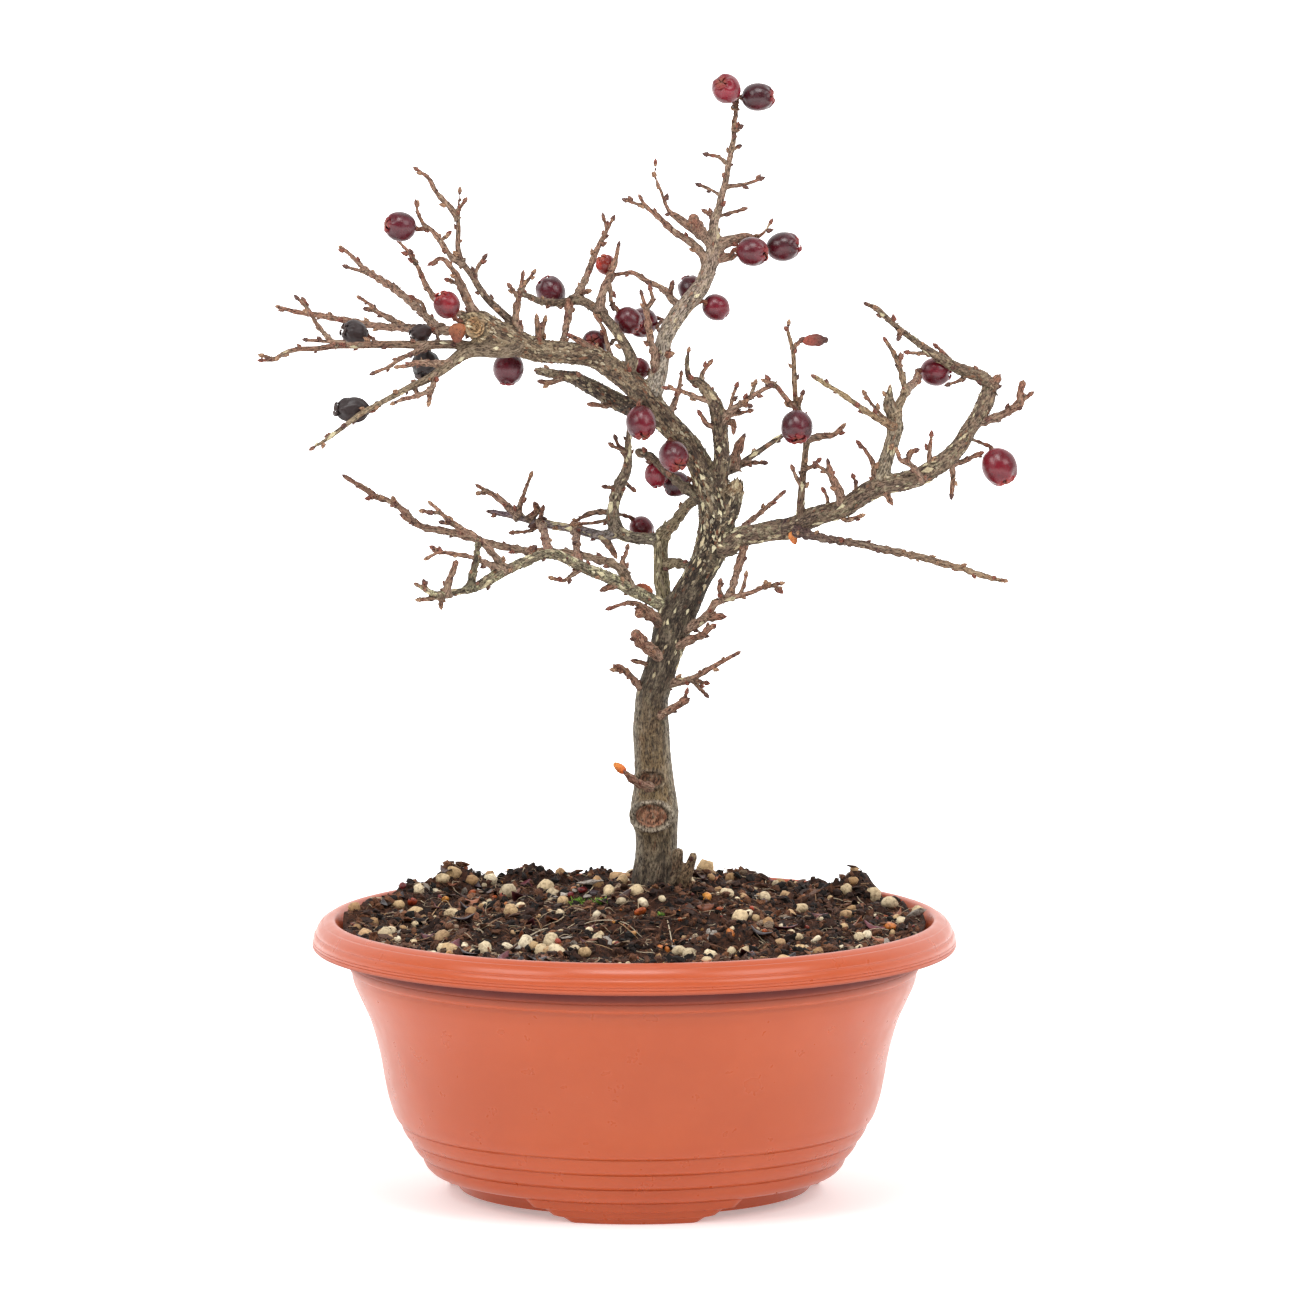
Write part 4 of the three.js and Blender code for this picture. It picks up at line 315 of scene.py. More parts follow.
# Spurs: what it grows from, radii, how much farther back its tip lies, and the places it is seen to pass
SPURS = [
    ["trunk_twig_top", [1.2, 0.9], -2, [[23, 185], [27.6, 185.4]]],
    ["trunk_twig_top", [0.7, 0.5], -3, [[28.4, 191.4], [27, 194.5], [27.3, 196.4]]],
    ["trunk_twig_top", [0.6, 0.3], 3, [[33.6, 192.6], [34.9, 195.5], [35.5, 198.4]]],
    ["trunk_twig_top", [0.6, 0.3], -2, [[41.2, 194.8], [41.8, 196.2]]],
    ["trunk_twig_top", [0.6, 0.35], -3, [[44.6, 195.6], [46.4, 193.8]]],
    ["trunk_twig_low", [0.8, 0.5], -3, [[18, 165.2], [20.5, 164.6], [22.6, 164.2]]],
    ["trunk_twig_low", [0.7, 0.5], 2, [[18.6, 165], [20.9, 162.4], [22.6, 160.6]]],
    ["left_stub_low", [0.7, 0.5], -2, [[-3.6, 168.2], [-6.3, 168.4]]],
    ["tan_stub", [0.7, 0.35], 0, [[16, 158.4], [16.6, 160.8]]],
    ["lichen_limb", [1.3, 0.8], -3, [[-5, 196], [-9.5, 194.3]]],
    ["lichen_limb", [0.8, 0.5, 0.35], -8, [[-17, 201], [-20.6, 198.2], [-22.6, 196.9], [-26, 197.7]]],
    ["lichen_limb", [0.9, 0.6], -3, [[-62, 192.4], [-64.6, 191.2], [-68, 190.9]]],
    ["lichen_limb", [1.1, 0.6], 1, [[-61.6, 192.4], [-61.6, 189.4]]],
    ["lichen_limb", [0.6, 0.3], 2, [[-66, 193.8], [-66.8, 196]]],
    ["lichen_fork_high", [0.5, 0.5], 3, [[-62, 218.8], [-64.6, 218.9], [-67, 219.2]]],
    ["lichen_fork_high", [0.5, 0.3], -3, [[-57.4, 215], [-60.8, 215.6]]],
    ["lichen_fork_mid", [0.5, 0.3], 2, [[-61, 205.9], [-63.8, 207.3]]],
    ["trunk", [1.6, 1.0, 0.7, 0.4], -10, [[9, 184.5], [2.4, 188.8], [-1, 190], [-7.4, 188.2]]],
    ["trunk", [1.7, 1.3], -8, [[9, 183], [3.4, 186.8], [1.6, 186.4]]],
    ["crossing_twig", [0.9, 0.8], 1, [[-69.5, 215.6], [-73, 217.3]]],
    ["crossing_twig", [0.7, 0.4], -2, [[-75, 220.8], [-76.4, 222.8]]],
    ["crossing_twig", [0.7, 0.4], -2, [[-81.4, 223.8], [-84.2, 223.4]]],
    ["crossing_twig", [1.0, 0.8, 0.6, 0.4], 5, [[-3, 199.4], [-3.8, 203], [-2.9, 205], [-2.3, 207.2]]],
    ["crossing_twig", [0.9, 0.8], -3, [[-34, 206.4], [-32, 207.5]]],
    ["shaded_end_fork", [0.6, 0.35], -4, [[-46.6, 225.4], [-49.4, 225]]],
    ["shaded_twig", [0.9, 0.7, 0.35], -3, [[-37, 217.4], [-35.8, 223], [-33, 230.4]]],
    ["shaded_twig", [1.0, 0.9], -3, [[-34, 216.6], [-31, 219.4], [-31.4, 221]]],
    ["shaded_twig", [0.8, 0.5], -2, [[-30, 215.4], [-29.2, 219.6]]],
    ["shaded_twig", [0.6, 0.35], -3, [[-29.6, 215], [-33, 213], [-38.2, 212.4]]],
    ["shaded_twig", [1.1, 0.8], -2, [[-10, 211], [-7.6, 207.8], [-6.4, 205.6]]],
    ["left_upright", [0.9, 0.7, 0.4], 5, [[-7, 219], [-13, 218.8], [-16.5, 217.4], [-19.2, 215.6]]],
    ["left_upright", [0.5, 0.35], -3, [[-7, 216.6], [-13, 215.5], [-18.8, 215]]],
    ["left_upright", [0.7, 0.4], -3, [[-5, 226], [-8.9, 227]]],
    ["left_upright", [0.7, 0.4], 3, [[-3.6, 229], [-0.6, 226.4]]],
    ["left_upright", [0.8, 0.5, 0.3], -4, [[-2.2, 236], [-4.3, 239], [-5.8, 242.3]]],
    ["left_upright", [0.5, 0.3], -4, [[-3.6, 238.4], [-6.9, 240.2]]],
    ["right_bough", [0.7, 0.3], -3, [[62, 219.5], [61.4, 223.6], [60.4, 225.6]]],
    ["right_bough", [0.6, 0.35], -3, [[70, 223], [70.5, 228], [69.8, 230]]],
    ["right_bough", [0.8, 0.6, 0.3], -5, [[76, 227], [75.7, 235], [74, 238], [71.7, 240.6]]],
    ["right_bough", [0.8, 0.6], -4, [[65, 218.6], [67, 216.4], [71.8, 217.6]]],
    ["right_bough", [1.3, 0.9], -2, [[79.6, 226], [81.3, 222.8]]],
    ["right_bough", [0.9, 0.7, 0.4], -3, [[94, 232.8], [93.9, 238], [94.4, 243.2]]],
    ["right_bough", [1.0, 0.8, 0.6], -2, [[100.4, 235], [101.4, 230], [101, 224.8]]],
    ["right_bough", [0.7, 0.35], -3, [[106, 262.4], [103, 260.8], [100.2, 259.8]]],
    ["right_bough", [0.9, 0.6, 0.35], 3, [[101.4, 265.8], [98.6, 269.4], [96.2, 271.6]]],
    ["right_bough", [0.6, 0.3], -3, [[93.4, 270], [90.4, 269.6], [87.2, 269.9]]],
    ["right_bough", [0.8, 0.5], -2, [[84.8, 276.8], [84.2, 275]]],
    ["right_bough", [1.6, 1.2], 1, [[112.4, 258], [115.2, 261.4]]],
    ["right_end_twig", [0.7, 0.5], -2, [[122.6, 254.6], [125.6, 256.4]]],
    ["cluster_twig", [0.8, 0.7], -3, [[86.4, 235.1], [88, 238], [89.4, 238.6]]],
    ["speckled_spur", [0.6, 0.4], -4, [[62.6, 230.8], [60, 232.6], [57.9, 234.2]]],
    ["pale_upright", [0.7, 0.5, 0.35], -6, [[81.6, 247.6], [77.4, 251], [75.4, 253.4], [73.4, 256.5]]],
    ["pale_upright_fork", [0.8, 0.5], -1, [[84, 266], [84.4, 268.2]]],
    ["upright_right", [0.7, 0.5], -2, [[53.4, 227], [51.6, 230], [50.5, 232.6]]],
    ["upright_right", [0.7, 0.5], -4, [[54, 232.6], [56.4, 233.4], [58.4, 235.2]]],
    ["upright_right", [1.1, 0.9, 0.8, 0.6], 4, [[54.6, 242], [60, 243.2], [63.6, 243.8], [66, 246]]],
    ["upright_right", [0.7, 0.5], -3, [[52, 253], [53.4, 256.6]]],
    ["upright_right", [0.6, 0.5, 0.5], -2, [[50.5, 270.6], [51.4, 272.2], [52.7, 273.6]]],
    ["rear_fork_twig", [1.5, 1.3, 1.0], 0, [[31.4, 233], [32.6, 238.6], [34.4, 242.4]]],
    ["rear_fork_twig", [0.7, 0.5], -6, [[34, 234.6], [38, 234.8], [41.2, 234.7]]],
    ["right_fork_out", [0.7, 0.5, 0.3], -3, [[30.4, 250.6], [31.2, 255.6], [32.4, 259]]],
    ["right_fork_out", [0.6, 0.5], 3, [[37.4, 255.8], [38.3, 259.8]]],
    ["right_fork_out", [0.7, 0.3], -4, [[29.6, 249.8], [33.2, 250.4], [36.4, 251.2]]],
    ["right_fork_out", [0.7, 0.6], -3, [[33.6, 253.4], [36.4, 253]]],
    ["right_fork_out", [0.8, 0.7], 0, [[44.4, 259.2], [42, 260.6]]],
    ["right_fork", [0.9, 0.6], -4, [[26.6, 246], [23.2, 247], [21, 250.2]]],
    ["right_fork", [0.9, 0.7], -3, [[27, 247], [31.4, 247.6], [31.6, 245.4]]],
    ["right_fork", [0.9, 0.7, 0.35], 4, [[21, 260.2], [21.5, 263], [23.9, 266.4]]],
    ["leader", [0.6, 0.5, 0.35], -4, [[30, 329], [26.8, 332], [23.3, 332.8]]],
    ["leader", [0.5, 0.3], 3, [[28.2, 319.4], [24.1, 321.7], [21, 323]]],
    ["leader", [0.6, 0.35], -3, [[28.8, 322.6], [35.7, 323.6], [39.7, 325]]],
    ["leader", [0.5, 0.35], 3, [[26.2, 312.8], [29.9, 314.2], [34.2, 315.4]]],
    ["leader", [0.8, 0.6], 2, [[25.6, 312.6], [22.8, 314.6]]],
    ["leader", [0.6, 0.4], -2, [[31.4, 340], [33.4, 341.4]]],
    ["leader", [0.6, 0.4], 2, [[30.8, 334], [32.8, 335.2]]],
    ["leader", [1.5, 1.1], -2, [[9.4, 269], [11.4, 269.4]]],
    ["leader_left_low", [0.5, 0.35], 2, [[3.4, 316.2], [-2.2, 318.2]]],
    ["side_twig_leader", [0.8, 0.7], -2, [[11.4, 287.8], [12, 291.4]]],
    ["inner_upright", [0.7, 0.4], 2, [[3.8, 283.6], [5.8, 286.6], [5.2, 289.8]]],
    ["tall_twig", [0.5, 0.4], 3, [[-10.6, 305.2], [-7, 312]]],
    ["tall_twig", [0.9, 0.7], -3, [[-17.6, 288.4], [-14.8, 289.4]]],
    ["spur_cluster", [0.7, 0.4], -3, [[-36.6, 287.6], [-39.3, 290.8]]],
    ["spur_cluster", [0.7, 0.4], 3, [[-36.2, 289.6], [-32.2, 295]]],
    ["upper_left_bough", [0.8, 0.7], -2, [[-29.8, 272], [-30.6, 276.6], [-30.9, 280.4]]],
    ["upper_left_bough", [0.7, 0.6], 2, [[-28.6, 272], [-29.2, 276], [-28.4, 280]]],
    ["upper_left_bough", [1.4, 0.7], -2, [[-13, 270], [-17.2, 273.4], [-20, 275]]],
    ["dark_bough", [0.9, 0.7], -3, [[-22, 262], [-26.6, 260.4], [-29.2, 260.6]]],
    ["dark_bough", [0.8, 0.6], -4, [[-5.6, 253.6], [-9, 253], [-13.4, 253.3]]],
    ["upright_left", [0.6, 0.5], 3, [[-50.8, 293], [-49.7, 297], [-47.7, 299.9]]],
    ["upright_left", [0.5, 0.4], -2, [[-55.6, 314.6], [-53.9, 317.9]]],
    ["berry_twig_left", [0.5, 0.35], 2, [[-61.6, 305], [-59.2, 307.4]]],
    ["knot_top_twig", [0.7, 0.5], 3, [[-55.6, 291.4], [-58.9, 292.9]]],
    ["left_twig_steep", [0.6, 0.3], 4, [[-84, 295.2], [-87, 295.8], [-91, 297.1]]],
    ["left_twig_steep", [0.6, 0.4], -3, [[-66, 282.4], [-67, 285.2], [-70, 287.2]]],
    ["knot_twig", [0.6, 0.4], -2, [[-69.4, 298.4], [-70.6, 301.4]]],
    ["level_left_twig", [0.5, 0.3], 2, [[-114, 268.4], [-117.8, 268.8]]],
    ["left_twig_end_fork", [0.5, 0.3], 3, [[-102.6, 282.2], [-104.8, 286.2]]],
    ["left_twig_short", [0.5, 0.3], 3, [[-82.4, 283.2], [-84.8, 283.7]]],
    ["pale_fork_low", [0.7, 0.5], -2, [[-64.2, 258], [-65.2, 254.3]]],
    ["pale_left_twig", [0.8, 0.6], 3, [[-70, 259.6], [-69, 256.8]]],
]

# Berries: where the middle is seen, depth, radius, length as a share of width, where the calyx faces, what
# the stalk grows from, where it is seen to start, and colour
BERRIES = [
    [[-73.8, 309.9], -12, 4.7, 1.0, [-0.95, -0.25, 0.15], "berry_twig_left", [-65.6, 309.6], "dark"],
    [[-59.3, 284.8], -21, 4.2, 0.98, [-0.5, -0.2, 0.85], "upper_left_bough", [-53, 280.4], "bright"],
    [[-88.5, 276], -6, 4.5, 0.95, [-0.9, -0.3, 0.3], "level_left_twig", [-82, 272.6], "black"],
    [[-67.5, 276.2], -9, 3.2, 1.1, [-0.9, -0.3, -0.2], "level_left_twig", [-62, 272.6], "black"],
    [[-66.3, 266.4], -6, 4.9, 0.95, [-0.2, -0.4, -0.9], "level_left_twig", [-65.6, 272], "black"],
    [[-89.3, 251.6], -37, 4.4, 1.25, [-0.97, -0.2, 0.05], "pale_left_twig", [-81.4, 253.2], "black"],
    [[-26.3, 288.9], 23, 4.7, 1.0, [-0.5, 0.3, 0.8], "arched_limb", [-22.4, 286], "dark"],
    [[-8.9, 297.7], 21, 3.2, 1.0, [-0.5, -0.3, 0.8], "berry_twig_mid", [-8.8, 291.8], "orange"],
    [[-2.2, 280.3], 12, 4.3, 0.98, [0.7, -0.1, -0.7], "drooping_stalk", [-7.3, 285.6], "bright"],
    [[2.9, 279.6], 21, 4.8, 0.95, [-0.5, -0.8, -0.2], "leader", [9.2, 274], "dark"],
    [[-12.5, 272.7], 13, 4.3, 0.95, [-0.15, -0.9, 0.25], "arched_limb", [-4.4, 274.8], "dark"],
    [[2.1, 247.9], -10.5, 4.75, 1.08, [0.12, -0.5, -0.86], "upper_left_bough", [3.4, 256], "dark"],
    [[-40, 265.1], 2.5, 4.9, 0.98, [-0.1, 0.1, -1], "upper_left_bough", [-37, 272.8], "dark"],
    [[29.3, 353.5], 8, 4.6, 0.98, [-0.4, -0.75, 0.5], "leader", [31.9, 347.8], "dark"],
    [[38.8, 351], 12, 4.5, 1.1, [0.98, -0.15, 0.05], "leader", [32, 346.6], "dark"],
    [[37.1, 302], 3.5, 4.7, 1.0, [0.95, -0.3, -0.1], "dark_stub", [30.6, 300.4], "dark"],
    [[46.9, 303.5], 11, 4.7, 1.08, [0.95, -0.1, 0.15], "leader_knob", [34.8, 306.8], "dark"],
    [[25.7, 284.4], 10, 4.2, 0.98, [0.75, 0.5, -0.4], "leader", [14.6, 282.6], "dark"],
    [[18.3, 289.8], 18, 4.2, 0.98, [-0.5, 0.5, 0.7], "leader", [17.6, 286.6], "dark"],
    [[1.6, 264.7], 8.5, 3.5, 0.98, [-0.9, 0.3, 0.3], "leader", [7.4, 262], "dark"],
    [[51.6, 246.5], -18.5, 5.1, 0.98, [0.1, -0.6, -0.8], "right_fork_out", [50, 253.4], "dark"],
    [[12.4, 237.1], -8, 4.7, 1.05, [0.35, -0.75, -0.55], "upper_left_bough", [13.4, 244.4], "dark"],
    [[115.9, 233.8], -7, 5.6, 1.02, [0.42, -0.25, -0.88], "right_bough", [105.4, 242.8], "bright"],
    [[95.3, 263.8], 13.3, 4.6, 1.0, [0.97, 0.2, -0.1], "berry_fork", [90, 261.8], "dark"],
    [[2.1, 213.9], 31, 3.9, 1.0, [0.7, 0.1, -0.7], "left_upright", [-6.6, 218.8], "bright"],
    [[7.1, 231.3], 12.8, 3.9, 1.0, [0.1, 0.3, -0.95], "berry_link", [6.2, 235.6], "dark"],
    [[13.7, 228], 18.5, 4.1, 1.0, [-0.9, 0.1, -0.3], "trunk", [22, 228.6], "dark"],
]

# Dry bits: name, where the middle is seen, depth, half-sizes along and across, the slope of the long axis
# and its turn in degrees, the tones of root and tip, and slot
DRY_PIECES = [
    ["trunk_bud", [-4.7, 136.8], -3, [2.5, 1.35, 1.1], 39, 180, ["#C0561E", "#D8822E"], "bud_scale"],
    ["dry_leaf_fork", [3, 194.2], 8, [3.2, 1.8], -28, 20, ["#7A3A22", "#A0522A"], "dry_leaf"],
    ["dry_leaf_knot", [-56.1, 276.2], -17.2, [3.2, 2.6], 80, 10, ["#6A3424", "#9C5A34"], "dry_leaf"],
    ["dry_leaf_right", [50.6, 210.6], -10.1, [2.2, 1.3], 110, 0, ["#B4602A", "#C87A3A"], "bud_scale"],
    ["dry_husk", [57.5, 273.8], -13.5, [4.2, 2.1, 2.0], 3, 0, ["#8C3A2A", "#3A1C1A"], "dry_leaf"],
]

# Rings of wood grown over old cuts: where the middle is seen, depth, half-width, half-height and thickness
SCARS = [
    [[5.8, 121.6], 5.2, 5.0, 3.9, 1.7],
    [[5.2, 133.6], 6.9, 3.0, 2.0, 1.2],
    [[-50.6, 278.4], -16.4, 2.5, 2.9, 1.1],
]


# Wood tones: each limb's colour at its root and at its tip, how old its bark looks (1 is cracked and flaky,
# 0 smooth) and how much lichen it carries
WOOD = {
    "trunk": ("#6B6050", "#3A3028", 1.0, 0.08),
    "upper_left_bough": ("#524034", "#745F4C", 0.95, 0.12),
    "right_bough": ("#6E5A4C", "#866E5C", 0.72, 0.28),
    "leader": ("#B0A698", "#966E5A", 0.72, 0.12),
    "dark_bough": ("#3E322C", "#4A3A34", 0.9, 0.1),
    "right_fork": ("#5C4C40", "#5C4236", 0.85, 0.2),
    "pale_left_twig": ("#7E6C5A", "#A08A6E", 0.35, 0.1),
    "level_left_twig": ("#86705C", "#8E6250", 0.3, 0.1),
    "upright_left": ("#867466", "#8A6250", 0.5, 0.1),
    "arched_limb": ("#746252", "#806654", 0.6, 0.15),
    "pale_upright": ("#A39683", "#8C7A66", 0.8, 0.1),
    "long_pale_twig": ("#8A6A50", "#A8926E", 0.25, 0.0),
    "pale_upright_fork": ("#A08C72", "#8A6A54", 0.4, 0.0),
    "long_low_twig": ("#4A3236", "#A08468", 0.2, 0.0),
    "upright_right": ("#6A5446", "#9A7C60", 0.25, 0.0),
    "lichen_limb": ("#86806A", "#7A6A56", 0.7, 0.95),
    "lichen_link": ("#6A6450", "#6A5644", 0.4, 0.6),
    "olive_stem": ("#948868", "#80745A", 0.25, 0.1),
    "olive_fork_right": ("#948468", "#7A6A54", 0.25, 0.1),
    "olive_link": ("#948468", "#7A6A54", 0.25, 0.1),
    "left_upright": ("#8C8272", "#826858", 0.6, 0.3),
    "shaded_twig": ("#989090", "#7E6870", 0.45, 0.1),
    "crossing_twig": ("#8E7864", "#865E4E", 0.25, 0.1),
    "cut_stump": ("#4A4038", "#5A4E40", 0.9, 0.2),
    "broken_shoot": ("#6E5844", "#9A7E60", 0.9, 0.1),
    "broken_shoot_low": ("#5E4A3A", "#7E6650", 0.9, 0.1),
    "rear_fork_twig": ("#5A4C42", "#6E5E50", 0.6, 0.2),
    "berry_link": ("#5E5044", "#6A5442", 0.5, 0.2),
    "twig": ("#9C8270", "#9A6A56", 0.35, 0.05),
    "spur": ("#8E7462", "#946450", 0.5, 0.05),
    "stalk": ("#6A4A38", "#7A4434", 0.1, 0.0),
}
# The trunk's colour by height
TRUNK_TONES = [
    (84.0, "#3E342A"), (98.0, "#4E4238"), (106.0, "#6E604E"), (122.0, "#86704F"), (150.0, "#705C44"),
    (162.0, "#4E4236"), (190.0, "#463A2F"), (206.0, "#33281F"), (234.0, "#3A2E26"),
]
# How old the trunk's bark looks, by height
TRUNK_AGE = [(96.0, 0.5), (120.0, 0.38), (190.0, 0.42), (212.0, 1.0)]
# The paler tone on the trunk's left and right flanks, low down
SIDE_TONE = "#A49C8C"
# Healed cuts on the front: where they are seen, half-width, half-height, and the tones of wood and lip
KNOTS = [
    ((5.4, 121.3), 6.2, 4.4, "#90624A", "#C0B4A2"), ((5.2, 133.0), 4.6, 2.8, "#6E4E3A", "#A08E76"),
    ((-50.8, 277.8), 4.2, 4.2, "#A88660", "#C4AC86"), ((32.0, 227.0), 3.2, 2.6, "#9A7C5C", "#B8A284"),
]
# Bark scales: the tones of long dashes and of common scales, and how far a common one lifts
DASH_TONES = ["#C8BE9A", "#B8A988", "#D4CAA8"]
FLAKE_TONES = ["#B5A586", "#9A8468", "#8A745A", "#2E241E", "#7A4A2E", "#C6BA9E", "#5A4A3C"]
FLAKE_LIFT = 0.32
# Courses: the fewest steps along a limb, and how near its root a place is passed over
LEAST_STEPS = 8
ROOT_GAP = 1.2
# A limb that is anywhere this thick is joined into the old wood, from tubes of so many sides that are
# smoothed so many times, and its grain starts so far past that of the limb before
THICK_RADIUS = 1.9
ROUGH_SIDES = 20
SMOOTH_ROUNDS = 5
GRAIN_STEP = 60.0
# Points that are matched with their limbs at one time, to save memory
BLOCK = 4000
SCAR_STEPS = 28
SCAR_SIDES = 12
# Thin wood: how much its bark adds to its girth, its least radius, the distance of its leaf nodes, and the
# radii under which nodes swell, buds grow at them and a tip ends in three buds
TWIG_GIRTH = 1.14
LEAST_TWIG = 0.46
NODE_PITCH = 4.4
NODE_WOOD = 2.2
BUD_WOOD = 2.3
TIP_WOOD = 1.4
# The turn round the twig from one bud to the next
GOLDEN_TURN = np.radians(137.5)
# Stalks: radius, where the tip ends in the berry's radii, how far the stalk keeps off the berry, and step
STALK_RADIUS = 0.5
STALK_SEAT = 0.93
STALK_CLEAR = 1.4
STALK_PITCH = 0.6
BUD_RADIUS = 0.72
BUD_LENGTH = 2.0
BUD_SIDES = 6
BUD_TONES = ["#8A5E4A", "#6B4438", "#9C7458", "#5E3C32", "#844A38", "#A88264"]


# Shared helpers: numbers

def hex_linear(text):
    """An sRGB hex colour as linear red, green, blue and alpha."""
    srgb = np.array([int(text[i:i + 2], 16) for i in (1, 3, 5)]) / 255
    linear = np.where(srgb <= 0.04045, srgb / 12.92, ((srgb + 0.055) / 1.055) ** 2.4)
    return tuple(float(c) for c in linear) + (1.0,)


def hex_rows(texts):
    """Several hex colours as rows of linear red, green, blue."""
    return np.array([hex_linear(text)[:3] for text in texts])


# Odd numbers that scramble the places of a lattice and its seed, and the largest that they give
SCRAMBLE = (374761393, 668265263, 1442695041)
SEED_SCRAMBLE = 1274126177
KEY_SCRAMBLE = 1103515245
FULL_KEY = 0xFFFFFFFF


def lattice(cell, seed):
    """A fixed value in 0..1 for each whole-number corner: its numbers are multiplied, summed and folded."""
    key = (cell @ np.array(SCRAMBLE) + seed * SEED_SCRAMBLE) & FULL_KEY
    key = ((key ^ (key >> 13)) * KEY_SCRAMBLE) & FULL_KEY
    return (key ^ (key >> 16)) / FULL_KEY


def noise(points, seed):
    """Smooth noise in 0..1: the eight corner values round a point, blended by smoothstep weights."""
    cell = np.floor(points).astype(np.int64)
    part = points - cell
    part = part * part * (3 - 2 * part)
    total = np.zeros(points.shape[:-1])
    for corner in np.ndindex(2, 2, 2):
        weight = np.prod(np.where(corner, part, 1 - part), axis=-1)
        total += weight * lattice(cell + np.array(corner), seed)
    return total


def cloud(points, octaves, seed):
    """Noise summed over octaves, each half as wide and half as strong, brought back to 0..1."""
    total = sum(noise(points * 2 ** k, seed + k) / 2 ** k for k in range(octaves))
    return total / sum(0.5 ** k for k in range(octaves))


def smoothstep(low, high, value):
    """0 below low, 1 above high, and an S-curve between."""
    t = np.clip((value - low) / (high - low), 0, 1)
    return t * t * (3 - 2 * t)


def unit(vectors):
    """Vectors at length one."""
    return vectors / np.maximum(np.linalg.norm(vectors, axis=-1, keepdims=True), 1e-9)


def spread(values, t):
    """Reads a list that is spread evenly over 0..1."""
    values = np.asarray(values, float)
    return np.interp(np.asarray(t) * (len(values) - 1), np.arange(len(values)), values)


def around(sides):
    """Angles in radians that are spaced evenly round a circle."""
    return 2 * np.pi * np.arange(sides) / sides


def turned_frames(directions, rng):
    """One random turn about each direction: three unit axes a row, the last along the direction."""
    along = unit(directions)
    side = unit(np.cross(along, unit(rng.normal(size=along.shape))))
    return np.stack([side, np.cross(along, side), along], axis=1)


# Shared helpers: meshes

NO_QUADS = np.zeros((0, 4), int)
NO_TRIS = np.zeros((0, 3), int)


class Shell:
    """Points, quads and triangles gathered from closed surfaces, with named values for each point."""

    def __init__(self):
        self.points, self.quads, self.tris, self.values, self.count = [], [], [], {}, 0

    def add(self, points, quads, tris=NO_TRIS, **values):
        """Adds a surface. Its points are numbered on from those that are there."""
        self.points.append(points)
        self.quads.append(quads + self.count)
        self.tris.append(tris + self.count)
        for name, value in values.items():
            self.values.setdefault(name, []).append(value)
        self.count += len(points)

    def gathered(self):
        """All points, quads and triangles, and the named values, as whole arrays."""
        points, quads, tris = (np.concatenate(part) for part in (self.points, self.quads, self.tris))
        return points, quads, tris, {name: np.concatenate(parts) for name, parts in self.values.items()}


def write_values(mesh, values):
    """Stores each named array as a point attribute: one number, or three as a vector."""
    for name, value in values.items():
        kind, key = ("FLOAT_VECTOR", "vector") if value.ndim == 2 else ("FLOAT", "value")
        attribute = mesh.attributes.new(name, kind, "POINT")
        attribute.data.foreach_set(key, np.ascontiguousarray(value, np.float32).ravel())


def write_mesh(name, points, quads, tris=NO_TRIS, values=None, smooth=True):
    """A mesh from arrays. Points are millimetres about the bowl's axis, the mesh metres in the frame."""
    mesh = bpy.data.meshes.new(name)
    mesh.vertices.add(len(points))
    mesh.vertices.foreach_set("co", ((points + SHIFT) * MM).astype(np.float32).ravel())
    corners = np.concatenate([quads.ravel(), tris.ravel()]).astype(np.int32)
    starts = np.concatenate([np.arange(len(quads)) * 4, len(quads) * 4 + np.arange(len(tris)) * 3])
    mesh.loops.add(len(corners))
    mesh.loops.foreach_set("vertex_index", corners)
    mesh.polygons.add(len(starts))
    mesh.polygons.foreach_set("loop_start", starts.astype(np.int32))
    mesh.polygons.foreach_set("use_smooth", np.full(len(starts), smooth))
    mesh.update(calc_edges=True)
    write_values(mesh, values or {})
    mesh.validate()
    return mesh


def add_piece(name, mesh, material, nodes=()):
    """Puts a finished mesh in the scene as a piece of the fixed body that stands for the given nodes."""
    piece = bpy.data.objects.new(name, mesh)
    bpy.context.scene.collection.objects.link(piece)
    mesh.materials.append(material)
    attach(piece, "root")
    if nodes:
        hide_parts(*nodes)


def add_shell(name, shell, material, nodes=()):
    """Puts everything that a shell has gathered in the scene as one piece."""
    add_piece(name, write_mesh(name, *shell.gathered()), material, nodes)


def ring_quads(rings, sides):
    """Quads between neighbouring closed rings of points, numbered ring by ring, facing out."""
    i, j = np.meshgrid(np.arange(rings - 1), np.arange(sides), indexing="ij")
    k = (j + 1) % sides
    corners = [i * sides + j, i * sides + k, (i + 1) * sides + k, (i + 1) * sides + j]
    return np.stack(corners, -1).reshape(-1, 4)


def pole_tris(rings, sides):
    """Fans that close the first and last ring on two pole points, which are numbered after the rings."""
    j = np.arange(sides)
    k = (j + 1) % sides
    first, last = rings * sides, rings * sides + 1
    end = (rings - 1) * sides
    low = np.stack([np.full(sides, first), k, j], -1)
    high = np.stack([np.full(sides, last), end + j, end + k], -1)
    return np.concatenate([low, high])


def closed_rings(rings, sides):
    """The quads and triangles of a surface of rings with a pole at each end."""
    return ring_quads(rings, sides), pole_tris(rings, sides)


def with_poles(rings):
    """The points of closed rings, ring by ring, and then the middles of the first and the last ring."""
    return np.concatenate([rings.reshape(-1, 3), rings[[0, -1]].mean(axis=1)])


def copied(faces, many, each):
    """The faces of many copies of a solid with so many points each, numbered copy by copy."""
    return (faces[None] + (np.arange(many) * each)[:, None, None]).reshape(-1, faces.shape[1])


# Straight back, tipped a little so that no path runs along it
BACK = np.array([0.03, 1.0, -0.03])


